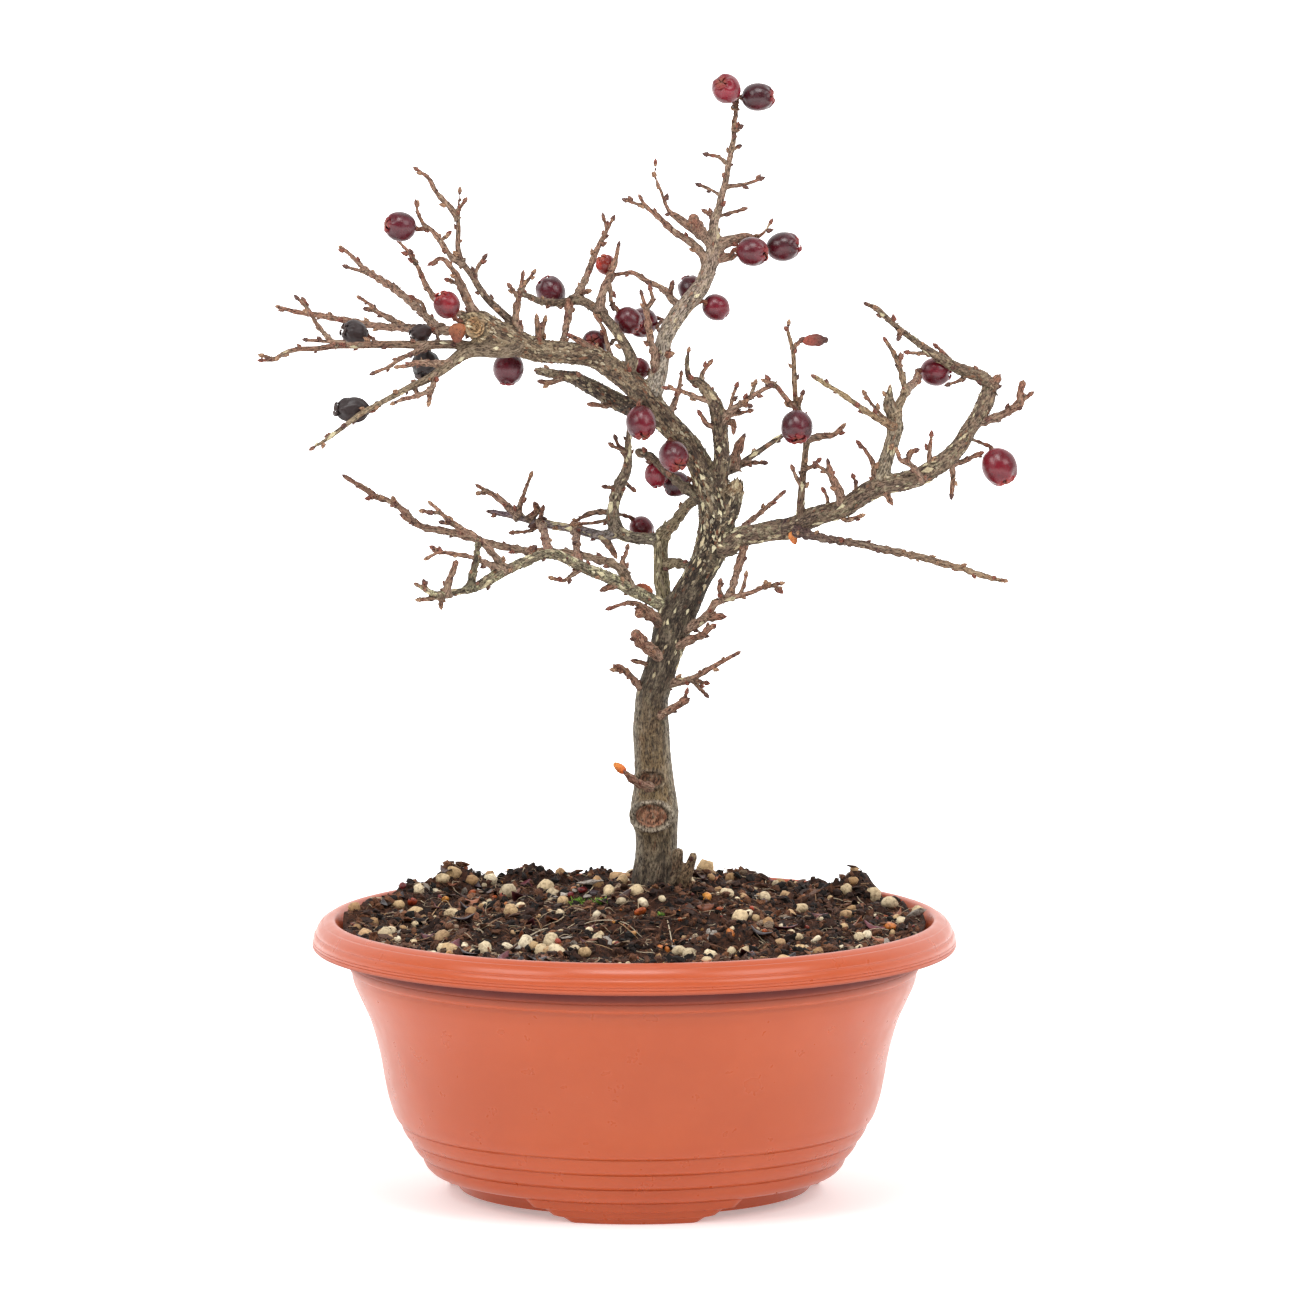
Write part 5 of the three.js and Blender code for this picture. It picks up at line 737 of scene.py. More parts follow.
def path_axes(centres):
    """The way along a path at each point, and two axes across it, the first nearest to straight back."""
    along = unit(np.gradient(centres, axis=0))
    side = unit(BACK - (along @ BACK)[:, None] * along)
    return along, side, np.cross(along, side)


def lathe(profile, sides):
    """A profile of radius and height turned about the axis, x = r cos a and y = r sin a, with a pole at
    each end."""
    angle = around(sides)
    radius, height = profile[:, :1], profile[:, 1:]
    rings = np.stack([radius * np.cos(angle), radius * np.sin(angle), height + 0 * angle], -1)
    poles = np.array([[0, 0, profile[0, 1]], [0, 0, profile[-1, 1]]])
    return np.concatenate([rings.reshape(-1, 3), poles]), *closed_rings(len(profile), sides)


ROUNDING_STEPS = 3


def rounded(corners):
    """A polyline whose rows end in a rounding, with each corner replaced by a quadratic curve that leaves
    and meets the two sides at the rounding's distance."""
    rows = np.array(corners, float)
    place, cut = rows[:, :-1], rows[:, -1]
    out = [place[:1]]
    t = np.linspace(0, 1, ROUNDING_STEPS + 1)[:, None]
    for i in range(1, len(rows) - 1):
        before, after = place[i - 1] - place[i], place[i + 1] - place[i]
        reach = min(cut[i], 0.49 * np.linalg.norm(before), 0.49 * np.linalg.norm(after))
        a = place[i] + unit(before) * reach
        b = place[i] + unit(after) * reach
        out.append((1 - t) ** 2 * a + 2 * t * (1 - t) * place[i] + t ** 2 * b)
    return np.concatenate(out + [place[-1:]])


# Small closed solids that are scattered

def icosahedron():
    """Twelve points at length one and twenty faces."""
    g = (1 + 5 ** 0.5) / 2
    points = np.array([[-1, g, 0], [1, g, 0], [-1, -g, 0], [1, -g, 0], [0, -1, g], [0, 1, g],
                       [0, -1, -g], [0, 1, -g], [g, 0, -1], [g, 0, 1], [-g, 0, -1], [-g, 0, 1]], float)
    faces = np.array([[0, 11, 5], [0, 5, 1], [0, 1, 7], [0, 7, 10], [0, 10, 11], [1, 5, 9], [5, 11, 4],
                      [11, 10, 2], [10, 7, 6], [7, 1, 8], [3, 9, 4], [3, 4, 2], [3, 2, 6], [3, 6, 8],
                      [3, 8, 9], [4, 9, 5], [2, 4, 11], [6, 2, 10], [8, 6, 7], [9, 8, 1]])
    return unit(points), faces


def divided(points, faces):
    """Each face split in four, with its edges' midpoints pushed out to length one."""
    edges = np.sort(np.concatenate([faces[:, [0, 1]], faces[:, [1, 2]], faces[:, [2, 0]]]), axis=1)
    edges, at = np.unique(edges, axis=0, return_inverse=True)
    ab, bc, ca = (at.reshape(3, -1) + len(points))
    middle = unit(points[edges].mean(axis=1))
    a, b, c = faces.T
    new = [[a, ab, ca], [b, bc, ab], [c, ca, bc], [ab, bc, ca]]
    return np.concatenate([points, middle]), np.concatenate([np.stack(f, -1) for f in new])


def scattered(base, faces, places, halves, frames, rng, roughness):
    """Copies of a base solid: every point is its base point, moved along itself by a random share, scaled
    to the copy's half-sizes, turned by its axes and set at its place."""
    many, each = len(places), len(base)
    bumps = 1 + roughness * rng.normal(size=(many, each, 1))
    local = base[None] * bumps * halves[:, None, :]
    points = np.einsum("nvk,nkc->nvc", local, frames) + places[:, None, :]
    return points.reshape(-1, 3), copied(faces, many, each)


# Shared helper: materials

# The kinds of shader node: Blender's type, its settings, the inputs that values go to in order, each with
# the number it has when none is given, and the output that is read
NODES = {
    "place": ("TexCoord", {}, {}, "Object"),
    "way": ("TexCoord", {}, {}, "Generated"),
    "facing": ("NewGeometry", {}, {}, "Normal"),
    "colour": ("Attribute", {}, {}, "Color"),
    "vector": ("Attribute", {}, {}, "Vector"),
    "number": ("Attribute", {}, {}, "Fac"),
    "y": ("SeparateXYZ", {}, {0: None}, "Y"),
    "z": ("SeparateXYZ", {}, {0: None}, "Z"),
    "stretched": ("VectorMath", {"operation": "MULTIPLY"}, {0: None, 1: None}, 0),
    "length": ("VectorMath", {"operation": "LENGTH"}, {0: None}, "Value"),
    "add": ("Math", {"operation": "ADD"}, {0: None, 1: None}, 0),
    "subtract": ("Math", {"operation": "SUBTRACT"}, {0: None, 1: None}, 0),
    "multiply": ("Math", {"operation": "MULTIPLY"}, {0: None, 1: None}, 0),
    "ranged": ("MapRange", {"interpolation_type": "SMOOTHSTEP"},
               {"Value": None, "From Min": None, "From Max": None, "To Min": 0.0, "To Max": 1.0}, 0),
    "noise": ("TexNoise", {}, {"Vector": None, "Scale": None, "Detail": 3.0, "Roughness": 0.6}, 0),
    "cells": ("TexVoronoi", {}, {"Vector": None, "Scale": None}, "Distance"),
    "mixed": ("Mix", {"data_type": "RGBA"}, {0: None, 6: None, 7: None}, 2),
    "deepened": ("Mix", {"data_type": "RGBA", "blend_type": "MULTIPLY"}, {6: None, 7: None, 0: 1.0}, 2),
    "bumped": ("Bump", {}, {"Height": None, "Distance": None, "Strength": None}, 0),
    "surface": ("BsdfPrincipled", {}, {}, 0),
    "output": ("OutputMaterial", {}, {"Surface": None}, None),
}


def put(tree, kind, *values, inputs=None, **settings):
    """Adds one shader node of a kind above with its settings, links or sets its inputs, in order or by
    name, and gives the output that is read. A colour may be an sRGB hex value."""
    blender_type, fixed, given, output = NODES[kind]
    made = tree.nodes.new("ShaderNode" + blender_type)
    for name, value in {**fixed, **settings}.items():
        setattr(made, name, value)
    for key, value in {**given, **dict(zip(given, values)), **(inputs or {})}.items():
        if isinstance(value, bpy.types.NodeSocket):
            tree.links.new(value, made.inputs[key])
        else:
            made.inputs[key].default_value = hex_linear(value) if isinstance(value, str) else value
    return None if output is None else made.outputs[output]


def new_material(name):
    """An empty node material, and its tree."""
    material = bpy.data.materials.new(name)
    material.use_nodes = True
    material.node_tree.nodes.clear()
    return material, material.node_tree


def finish_material(material, tree, **inputs):
    """Closes a material with a principled shader. Names are its sockets' with underscores for spaces."""
    named = {name.replace("_", " "): value for name, value in inputs.items()}
    put(tree, "output", put(tree, "surface", inputs=named))
    return material


# The tree's courses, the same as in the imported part

def placed(seen, depths):
    """Front-plane points with depths as places in space, on lines from the view point."""
    seen, depths = np.asarray(seen, float), np.asarray(depths, float)
    k = 1 - depths / VIEW_POINT[1]
    x = VIEW_POINT[0] + (seen[..., 0] - VIEW_POINT[0]) * k
    z = VIEW_POINT[2] + (seen[..., 1] - VIEW_POINT[2]) * k
    return np.stack([x, depths + 0 * x, z], -1)


def seen_from_front(points):
    """Where places in space are seen on the front plane."""
    k = 1 - points[..., 1] / VIEW_POINT[1]
    x = VIEW_POINT[0] + (points[..., 0] - VIEW_POINT[0]) / k
    z = VIEW_POINT[2] + (points[..., 2] - VIEW_POINT[2]) / k
    return np.stack([x, z], -1)


def curve_at(points, t):
    """A centripetal Catmull-Rom curve: knots lie the square root of their distance apart, and each span is
    a cubic between its two points with slopes from their neighbours. t runs 0..1 over the points."""
    ends = 2 * points[[0, -1]] - points[[1, -2]]
    p = np.concatenate([ends[:1], points, ends[1:]])
    knots = np.linalg.norm(np.diff(p, axis=0), axis=1) ** 0.5
    at = np.asarray(t) * (len(points) - 1)
    i = np.minimum(at.astype(int), len(points) - 2)
    w = (at - i)[:, None]
    a, b, c, d = p[i], p[i + 1], p[i + 2], p[i + 3]
    k0, k1, k2 = (knots[i + n][:, None] for n in range(3))
    leave = ((b - a) / k0 - (c - a) / (k0 + k1) + (c - b) / k1) * k1
    meet = ((c - b) / k1 - (d - b) / (k1 + k2) + (d - c) / k2) * k1
    cubic = 2 * b - 2 * c + leave + meet
    square = 3 * c - 3 * b - 2 * leave - meet
    return b + leave * w + square * w ** 2 + cubic * w ** 3


def evenly(points, pitch=1.0):
    """Points spaced evenly by length along the curve, about one pitch apart, their t, and the length."""
    t = np.linspace(0, 1, 201)
    rough = curve_at(points, t)
    lengths = np.concatenate([[0], np.cumsum(np.linalg.norm(np.diff(rough, axis=0), axis=1))])
    count = max(LEAST_STEPS, round(lengths[-1] / pitch))
    even = np.interp(np.linspace(0, lengths[-1], count + 1), lengths, t)
    return curve_at(points, even), even, lengths[-1]


def nearest_on(samples, seen):
    """The sample of a limb that is seen nearest to a front-plane point."""
    away = np.linalg.norm(seen_from_front(samples) - np.asarray(seen, float), axis=1)
    return samples[np.argmin(away)]


def grow(grown, parent, radii, depths, points, ends=None):
    """One limb from the nearest sample of what carries it: its evenly spaced centres and radii."""
    rows = np.array(points, float)
    course = np.array(depths, float)
    if parent:
        root = nearest_on(grown[parent], rows[0])
        first = seen_from_front(root)
        course = np.concatenate([[root[1]], course])
        rows = np.concatenate([[first], rows[np.linalg.norm(rows - first, axis=1) > ROOT_GAP]])
    if ends:
        end = nearest_on(grown[ends], points[-1])
        course[-1] = end[1]
        rows[-1] = seen_from_front(end)
    knots = placed(rows, spread(course, np.linspace(0, 1, len(rows))))
    centres, t, _ = evenly(knots)
    return centres, spread(radii, t)


def all_limbs():
    """Name, centres and radii of every limb, then of every spur, then of every berry's stalk."""
    grown, limbs = {}, []
    for name, parent, radii, depths, points, *ends in LIMBS:
        centres, widths = grow(grown, parent, radii, depths, points, *ends)
        grown[name] = centres
        limbs.append((name, centres, widths))
    spurs = []
    for parent, radii, reach, points in SPURS:
        depth = nearest_on(grown[parent], points[0])[1] + reach
        centres, widths = grow(grown, parent, radii, [depth], points)
        spurs.append(("spur", centres, widths))
    stalks = [("stalk", *stalk(grown, *row[:7])) for row in BERRIES]
    return limbs, spurs, stalks


def stalk(grown, seen, depth, radius, stretch, way, parent, start):
    """A berry's stalk: from its limb, bent clear of the berry, to the berry's lower end. It is thicker near
    each end, by an amount that falls off exponentially."""
    centre, calyx = placed(seen, depth), unit(np.array(way, float))
    root = nearest_on(grown[parent], start)
    end = centre - calyx * radius * stretch * STALK_SEAT
    before = end - calyx * STALK_CLEAR
    clear = radius * max(1, stretch) + STALK_CLEAR
    away = root + np.array([[0.35], [0.6], [0.85]]) * (before - root) - centre
    far = np.maximum(clear, np.linalg.norm(away, axis=1, keepdims=True))
    knots = np.concatenate([[root], centre + unit(away) * far, [before, end]])
    centres, _, length = evenly(knots, STALK_PITCH)
    left = (1 - np.linspace(0, 1, len(centres))) * length
    return centres, STALK_RADIUS * (1 + 0.9 * np.exp(-left / 0.7) + 0.5 * np.exp(-(length - left) / 0.8))


# Bark

def bark_relief(grain, radius, age, seed):
    """Height of the bark in millimetres and how far a point is down a crack. Cracks run where noise that is
    stretched along the limb passes its middle value. Between them lie plates, and fine grit covers all."""
    width = np.clip(radius * 0.28, 0.45, 1.7)[:, None]
    stretch = np.array([1.0, 1.0, 0.24])
    wander = 0.8 * (cloud(grain / 3.1, 2, seed + 9)[:, None] - 0.5) * np.array([1.0, 1.0, 0.0])
    long = cloud((grain / width + wander) * stretch, 3, seed)
    crack = (1 - smoothstep(0.0, 0.075, np.abs(long - 0.5))) * smoothstep(0.1, 0.5, age)
    plates = cloud(grain / width * np.array([0.5, 0.5, 0.2]), 2, seed + 3) - 0.5
    flakes = smoothstep(0.52, 0.6, cloud(grain / 1.7 * np.array([1.0, 1.0, 0.4]), 2, seed + 5))
    grit = cloud(grain / 0.5, 2, seed + 7) - 0.5
    depth = np.clip(radius * 0.075, 0.05, 0.42)
    height = depth * (age * (0.9 * plates - 0.85 * crack + 0.5 * flakes * age) + 0.5 * grit)
    return height, crack, flakes


def wood_values(grain, radius, age, lichen, tone, seed):
    """The bark's height, and the values that its material reads at each point."""
    height, crack, flakes = bark_relief(grain, radius, age, seed)
    values = {"grain": grain, "tone": tone, "crack": crack, "flake": flakes, "age": age, "lichen": lichen}
    return height, values


def wood_of(name, centres):
    """Tone, age and lichen at each centre of a limb, from its own row of WOOD or from that of all twigs."""
    root, tip, age, lichen = WOOD.get(name, WOOD["twig"])
    t = np.linspace(0, 1, len(centres))[:, None]
    tones = hex_rows([root, tip])
    tone = tones[0] * (1 - t) + tones[1] * t
    if name == "trunk":
        heights, colours = zip(*TRUNK_TONES)
        rows = hex_rows(colours)
        tone = np.stack([np.interp(centres[:, 2], heights, rows[:, c]) for c in range(3)], -1)
        age = np.interp(centres[:, 2], *zip(*TRUNK_AGE))
    return tone, age + np.zeros(len(centres)), np.full(len(centres), lichen)


def round_limb(centres, radii, sides):
    """Rings of a limb and its poles: radius along two axes across the path, with a dome on the tip.
    Also gives each point's place in the straightened limb: across, across and along, in millimetres."""
    along, side, across = path_axes(centres)
    dome = np.array([0.5, 0.85])
    tips = centres[-1] + dome[:, None] * radii[-1] * along[-1]
    centres = np.concatenate([centres, tips])
    reach = np.concatenate([[0], np.cumsum(np.linalg.norm(np.diff(centres, axis=0), axis=1))])
    radii = np.concatenate([radii, radii[-1] * np.sqrt(1 - dome ** 2)])
    along, side, across = (np.concatenate([a, a[-1:], a[-1:]]) for a in (along, side, across))
    angle = around(sides)
    out = np.cos(angle)[None, :, None] * side[:, None] + np.sin(angle)[None, :, None] * across[:, None]
    local = np.stack([radii[:, None] * np.cos(angle), radii[:, None] * np.sin(angle),
                      reach[:, None] + 0 * angle], -1)
    poles = np.array([centres[0], centres[-1] + along[-1] * radii[-1] * 0.3])
    return centres, radii, out, local, poles


def limb_shell(shell, name, centres, radii, sides, seed):
    """Adds one thin limb with its bark. Its girth swells in a bell at each leaf node, wavers by noise, and
    flares where it leaves what carries it. Its course wavers a little too."""
    reach = np.arange(len(centres)) * 1.0
    beat = (reach + 3 * lattice(np.array([seed, 1, 1]), 3)) % NODE_PITCH - NODE_PITCH / 2
    swell = 1 + 0.28 * np.exp(-(beat / 0.8) ** 2) * (radii < NODE_WOOD)
    knobs = 0.85 + 0.3 * noise(np.stack([reach / 1.4, 0 * reach + seed, 0 * reach], -1), 8)
    flare = 1 + 0.45 * np.exp(-reach / 1.3)
    radii = np.maximum(radii, LEAST_TWIG) * TWIG_GIRTH * swell * knobs * flare
    wobble = cloud(np.stack([reach / 4, 0 * reach + seed, 0 * reach], -1), 2, 5)[:, None] - 0.5
    centres = centres + 0.5 * wobble * np.array([0.6, 0.7, 0.6])
    tone, age, lichen = wood_of(name, centres)
    ends = len(centres)
    centres, radii, out, local, poles = round_limb(centres, radii, sides)
    at = np.minimum(np.arange(len(centres)), ends - 1)
    age, lichen, tone = (np.repeat(look[at], sides, axis=0) for look in (age, lichen, tone))
    grain = local.reshape(-1, 3) + np.array([0, 0, 40.0 * seed])
    radius = np.repeat(radii, sides)
    height, values = wood_values(grain, radius, age, lichen, tone, seed % 7)
    height = height + 0.09 * (cloud(grain / 0.9, 2, 6) - 0.5)
    points = np.repeat(centres, sides, axis=0) + out.reshape(-1, 3) * (radius + height)[:, None]
    values = {key: np.concatenate([value, value[:1], value[-1:]]) for key, value in values.items()}
    shell.add(np.concatenate([points, poles]), *closed_rings(len(centres), sides), **values)


def point_normals(points, quads):
    """Each point's normal: the sum of the cross products of its faces' diagonals."""
    a, b, c, d = (points[quads[:, k]] for k in range(4))
    face = np.cross(c - a, d - b)
    total = np.zeros_like(points)
    for k in range(4):
        for axis in range(3):
            total[:, axis] += np.bincount(quads[:, k], face[:, axis], len(points))
    return unit(total)


def relaxed(points, quads, rounds):
    """Each point moved towards the middle of its neighbours and back a little more, which smooths the steps
    that the voxels leave and keeps the girth."""
    edges = np.concatenate([quads[:, [0, 1]], quads[:, [1, 2]], quads[:, [2, 3]], quads[:, [3, 0]]])
    degree = np.bincount(edges.ravel(), minlength=len(points))
    for _ in range(rounds):
        for share in (0.55, -0.56):
            middle = np.zeros_like(points)
            for axis in range(3):
                middle[:, axis] += np.bincount(edges[:, 0], points[edges[:, 1], axis], len(points))
                middle[:, axis] += np.bincount(edges[:, 1], points[edges[:, 0], axis], len(points))
            points = points + share * (middle / degree[:, None] - points)
    return points


def fused(name, shell, voxel):
    """Closed surfaces that pass into each other, rebuilt by voxels as one skin of quads."""
    points, quads, tris, _ = shell.gathered()
    rough = bpy.data.objects.new(name, write_mesh(name, points, quads, tris))
    bpy.context.scene.collection.objects.link(rough)
    modifier = rough.modifiers.new("fuse", "REMESH")
    modifier.mode = "VOXEL"
    modifier.voxel_size = voxel * MM
    skin = rough.evaluated_get(bpy.context.evaluated_depsgraph_get()).to_mesh()
    points = np.zeros(len(skin.vertices) * 3, np.float32)
    skin.vertices.foreach_get("co", points)
    corners = np.zeros(len(skin.loops), np.int32)
    skin.loops.foreach_get("vertex_index", corners)
    bpy.data.objects.remove(rough)
    return points.reshape(-1, 3).astype(float) / MM - SHIFT, corners.reshape(-1, 4).astype(int)


def nearest_samples(points, centres, radii):
    """For each point the sample whose round surface lies nearest, worked out in blocks of points."""
    found = np.zeros(len(points), int)
    squares = (centres ** 2).sum(1)
    for start in range(0, len(points), BLOCK):
        block = points[start:start + BLOCK]
        square = (block ** 2).sum(1)[:, None] + squares - 2 * block @ centres.T
        found[start:start + BLOCK] = np.argmin(np.sqrt(np.maximum(square, 0)) - radii, axis=1)
    return found


def callus_rings(shell):
    """Rounded rings of grown-over wood round old cuts: a small circle carried round an oval."""
    u, v = around(SCAR_STEPS), around(SCAR_SIDES)
    i, j = np.meshgrid(np.arange(SCAR_STEPS), np.arange(SCAR_SIDES), indexing="ij")
    n, m = (i + 1) % SCAR_STEPS, (j + 1) % SCAR_SIDES
    corners = [SCAR_SIDES * i + j, SCAR_SIDES * i + m, SCAR_SIDES * n + m, SCAR_SIDES * n + j]
    quads = np.stack(corners, -1).reshape(-1, 4)
    for seen, depth, across, up, thickness in SCARS:
        lump = 1 + 0.18 * np.sin(3 * u + 1) + 0.1 * np.sin(7 * u)
        out = 1 + thickness / across * np.cos(v)[None] * lump[:, None]
        x = across * np.cos(u)[:, None] * out
        z = up * np.sin(u)[:, None] * out
        y = 0.7 * thickness * np.sin(v)[None] * lump[:, None]
        shell.add(np.stack([x, y, z], -1).reshape(-1, 3) + placed(seen, depth), quads)


def thick_wood(limbs, voxel):
    """The trunk and boughs as one skin, smoothed and then raised along its normals by the bark's relief.
    Gives its points, quads and bark values, its normals, and the way along the wood at each point."""
    shell = Shell()
    for _, centres, radii in limbs:
        rings, widths, out, _, poles = round_limb(centres, radii, ROUGH_SIDES)
        away = out.reshape(-1, 3) * np.repeat(widths, ROUGH_SIDES)[:, None]
        points = np.concatenate([np.repeat(rings, ROUGH_SIDES, axis=0) + away, poles])
        shell.add(points, *closed_rings(len(rings), ROUGH_SIDES))
    callus_rings(shell)
    points, quads = fused("rough_wood", shell, voxel)
    points = relaxed(points, quads, SMOOTH_ROUNDS)
    centres = np.concatenate([limb[1] for limb in limbs])
    radii = np.concatenate([limb[2] for limb in limbs])
    axes = [np.concatenate(a) for a in zip(*(path_axes(limb[1]) for limb in limbs))]
    looks = [np.concatenate(a) for a in zip(*(wood_of(*limb[:2]) for limb in limbs))]
    reach = np.concatenate([np.arange(len(limb[1])) + GRAIN_STEP * i for i, limb in enumerate(limbs)])
    at = nearest_samples(points, centres, radii)
    away = points - centres[at]
    grain = np.stack([(away * axes[1][at]).sum(1), (away * axes[2][at]).sum(1),
                      reach[at] + (away * axes[0][at]).sum(1)], -1)
    tone, age, lichen = (look[at] for look in looks)
    normals = point_normals(points, quads)
    sides = smoothstep(0.5, 0.95, np.abs(away[:, 0]) / radii[at]) * smoothstep(168, 158, points[:, 2])
    sides = (0.75 * sides * smoothstep(100, 108, points[:, 2]) * (at < len(limbs[0][1])))[:, None]
    tone = tone * (1 - sides) + sides * hex_rows([SIDE_TONE])[0]
    height, values = wood_values(grain, radii[at], age, lichen, tone, 2)
    height, values = healed(points, normals, height, values)
    points = points + normals * height[:, None]
    return points, quads, values, normals, axes[0][at]


def healed(points, normals, height, values):
    """Healed cuts pressed into the front of the bark: inside an oval the wood is sunk, with ripples that
    follow the oval, and round it run a dark groove and then a raised, paler lip."""
    seen = seen_from_front(points)
    front = smoothstep(0.05, 0.45, -normals[:, 1])
    tone, crack = values["tone"], values["crack"]
    for (x, z), across, up, wood, lip in KNOTS:
        d = np.hypot((seen[:, 0] - x) / across, (seen[:, 1] - z) / up)
        d = d * (1 + 0.12 * (cloud(points / 2.2, 2, 51) - 0.5))
        inside = front * (1 - smoothstep(0.78, 0.86, d))
        edge = front * np.exp(-(((d - 1.02) / 0.15) ** 2))
        groove = front * np.exp(-(((d - 0.84) / 0.05) ** 2))
        ripple = np.sin(17 * d + 3 * noise(points / 1.5, 52))
        height = height * (1 - inside) + inside * (0.3 * ripple - 0.4) + 0.9 * edge - 0.5 * groove
        bare = hex_rows([wood])[0] * (1 + 0.45 * ripple)[:, None]
        tone = tone * (1 - inside[:, None]) + inside[:, None] * bare
        tone = tone * (1 - 0.8 * edge[:, None]) + 0.8 * edge[:, None] * hex_rows([lip])[0]
        crack = np.maximum(crack * (1 - inside), groove)
    return height, {**values, "tone": tone, "crack": crack}


def flakes_on(rng, places, out, along, tones, size, lifted=FLAKE_LIFT):
    """Thin scales of bark that lie along the wood with one end lifted: flattened solids of eight faces."""
    base = np.array([[1, 0, 0], [-1, 0, 0], [0, 1, 0], [0, -1, 0], [0, 0, 1], [0, 0, -1]], float)
    faces = np.array([[0, 2, 4], [2, 1, 4], [1, 3, 4], [3, 0, 4], [2, 0, 5], [1, 2, 5], [3, 1, 5],
                      [0, 3, 5]])
    count = len(places)
    lift = lifted * rng.normal(size=(count, 1)) ** 2 * np.sign(rng.normal(size=(count, 1)))
    ahead = unit(along + lift * out + 0.15 * rng.normal(size=(count, 3)))
    side = unit(np.cross(out, ahead))
    frames = np.stack([side, np.cross(ahead, side), ahead], 1)
    shares = np.array([0.36, 0.1, 1.0])
    halves = (size * (0.5 + rng.random(count)))[:, None] * shares
    points, tris = scattered(base, faces, places, halves, frames, rng, 0.2)
    return points, NO_QUADS, tris, {"tone": np.repeat(tones, len(base), axis=0)}


def old_flakes(rng, count, points, normals, along, values):
    """Scales on the cracked old wood, most of them above the smooth foot of the trunk."""
    high = points[:, 2]
    likely = values["age"] ** 4 * smoothstep(96, 130, high) * (0.15 + 0.85 * smoothstep(150, 205, high))
    at = rng.choice(len(points), count, p=likely / likely.sum())
    tones = 0.35 * values["tone"][at] + 0.65 * toned(rng, FLAKE_TONES, count)
    return flakes_on(rng, points[at] + 0.02 * normals[at], normals[at], along[at], tones, 0.95)


def pale_dashes(rng, count, points, normals, along):
    """Long cream scales that lie flat on the trunk where it bends and on the boughs above."""
    likely = smoothstep(150, 200, points[:, 2]) * (0.12 + smoothstep(255, 225, points[:, 2]))
    at = rng.choice(len(points), count, p=likely / likely.sum())
    tones = toned(rng, DASH_TONES, count)
    return flakes_on(rng, points[at] + 0.05 * normals[at], normals[at], along[at], tones, 1.5, 0.02)


def young_flakes(rng, pitch, limbs):
    """Smaller scales along the thin limbs, about one a pitch, at random round the wood."""
    places, out, along, tones = [], [], [], []
    for name, centres, radii in limbs:
        ahead, side, across = path_axes(centres)
        at = rng.integers(0, len(centres), round(len(centres) / pitch))
        turn = 2 * np.pi * rng.random((len(at), 1))
        outward = np.cos(turn) * side[at] + np.sin(turn) * across[at]
        places.append(centres[at] + outward * radii[at][:, None] * TWIG_GIRTH * 1.02)
        out.append(outward)
        along.append(ahead[at])
        tones.append(0.6 * wood_of(name, centres)[0][at] + 0.4 * toned(rng, FLAKE_TONES, len(at)))
    places, out, along, tones = (np.concatenate(a) for a in (places, out, along, tones))
    return flakes_on(rng, places, out, along, tones, 0.85)


def buds(limbs, rng):
    """Buds on the leaf nodes of the thin limbs, each a golden turn past the last, and three on each thin
    tip. A bud is an egg of six sides whose scales stand out as rings, leaning forward from the bark."""
    t = np.array([0.0, 0.12, 0.3, 0.42, 0.5, 0.72, 0.92])
    width = np.array([0.55, 0.95, 1.0, 0.72, 0.88, 0.5, 0.14])
    angle = around(BUD_SIDES)
    rings = np.stack([width[:, None] * np.cos(angle), width[:, None] * np.sin(angle),
                      t[:, None] + 0 * angle], -1).reshape(-1, 3)
    base = np.concatenate([rings, [[0, 0, -0.05], [0, 0, 1.0]]])
    places, ways, sizes = [], [], []
    for number, (name, centres, radii) in enumerate(limbs):
        along, side, across = path_axes(centres)
        at = np.arange(2.2 + number % 3, len(centres) - 1.5, NODE_PITCH)
        at = at[radii[at.astype(int)] < BUD_WOOD].astype(int)
        turn = GOLDEN_TURN * np.arange(len(at)) + number
        out = np.cos(turn)[:, None] * side[at] + np.sin(turn)[:, None] * across[at]
        places.append(centres[at] + out * radii[at][:, None] * 0.8)
        ways.append(unit(out * 0.75 + along[at] * 1.0))
        sizes.append(0.6 + 0.8 * rng.random(len(at)))
        if radii[-1] < TIP_WOOD:
            places.append(centres[-1:] - along[-1:] * 0.2)
            ways.append(along[-1:])
            sizes.append(np.array([1.25 if name == "spur" else 1.1]))
            lean = unit(along[-1:] + 0.9 * side[-1:] * np.array([[1.0], [-1.0]]))
            places.append(np.repeat(centres[-1:] - along[-1:] * 0.7, 2, axis=0))
            ways.append(lean)
            sizes.append(np.array([0.8, 0.7]))
    places, ways, sizes = (np.concatenate(a) for a in (places, ways, sizes))
    halves = sizes[:, None] * np.array([BUD_RADIUS, BUD_RADIUS, BUD_LENGTH])
    frames = turned_frames(ways, rng)
    local = base[None] * halves[:, None, :]
    points = (np.einsum("nvk,nkc->nvc", local, frames) + places[:, None]).reshape(-1, 3)
    many, each = len(places), len(base)
    quads, tris = (copied(faces, many, each) for faces in closed_rings(len(t), BUD_SIDES))
    tones = hex_rows(BUD_TONES)[rng.integers(0, len(BUD_TONES), many)]
    return points, quads, tris, {"tone": np.repeat(tones, each, axis=0)}


# Bowl

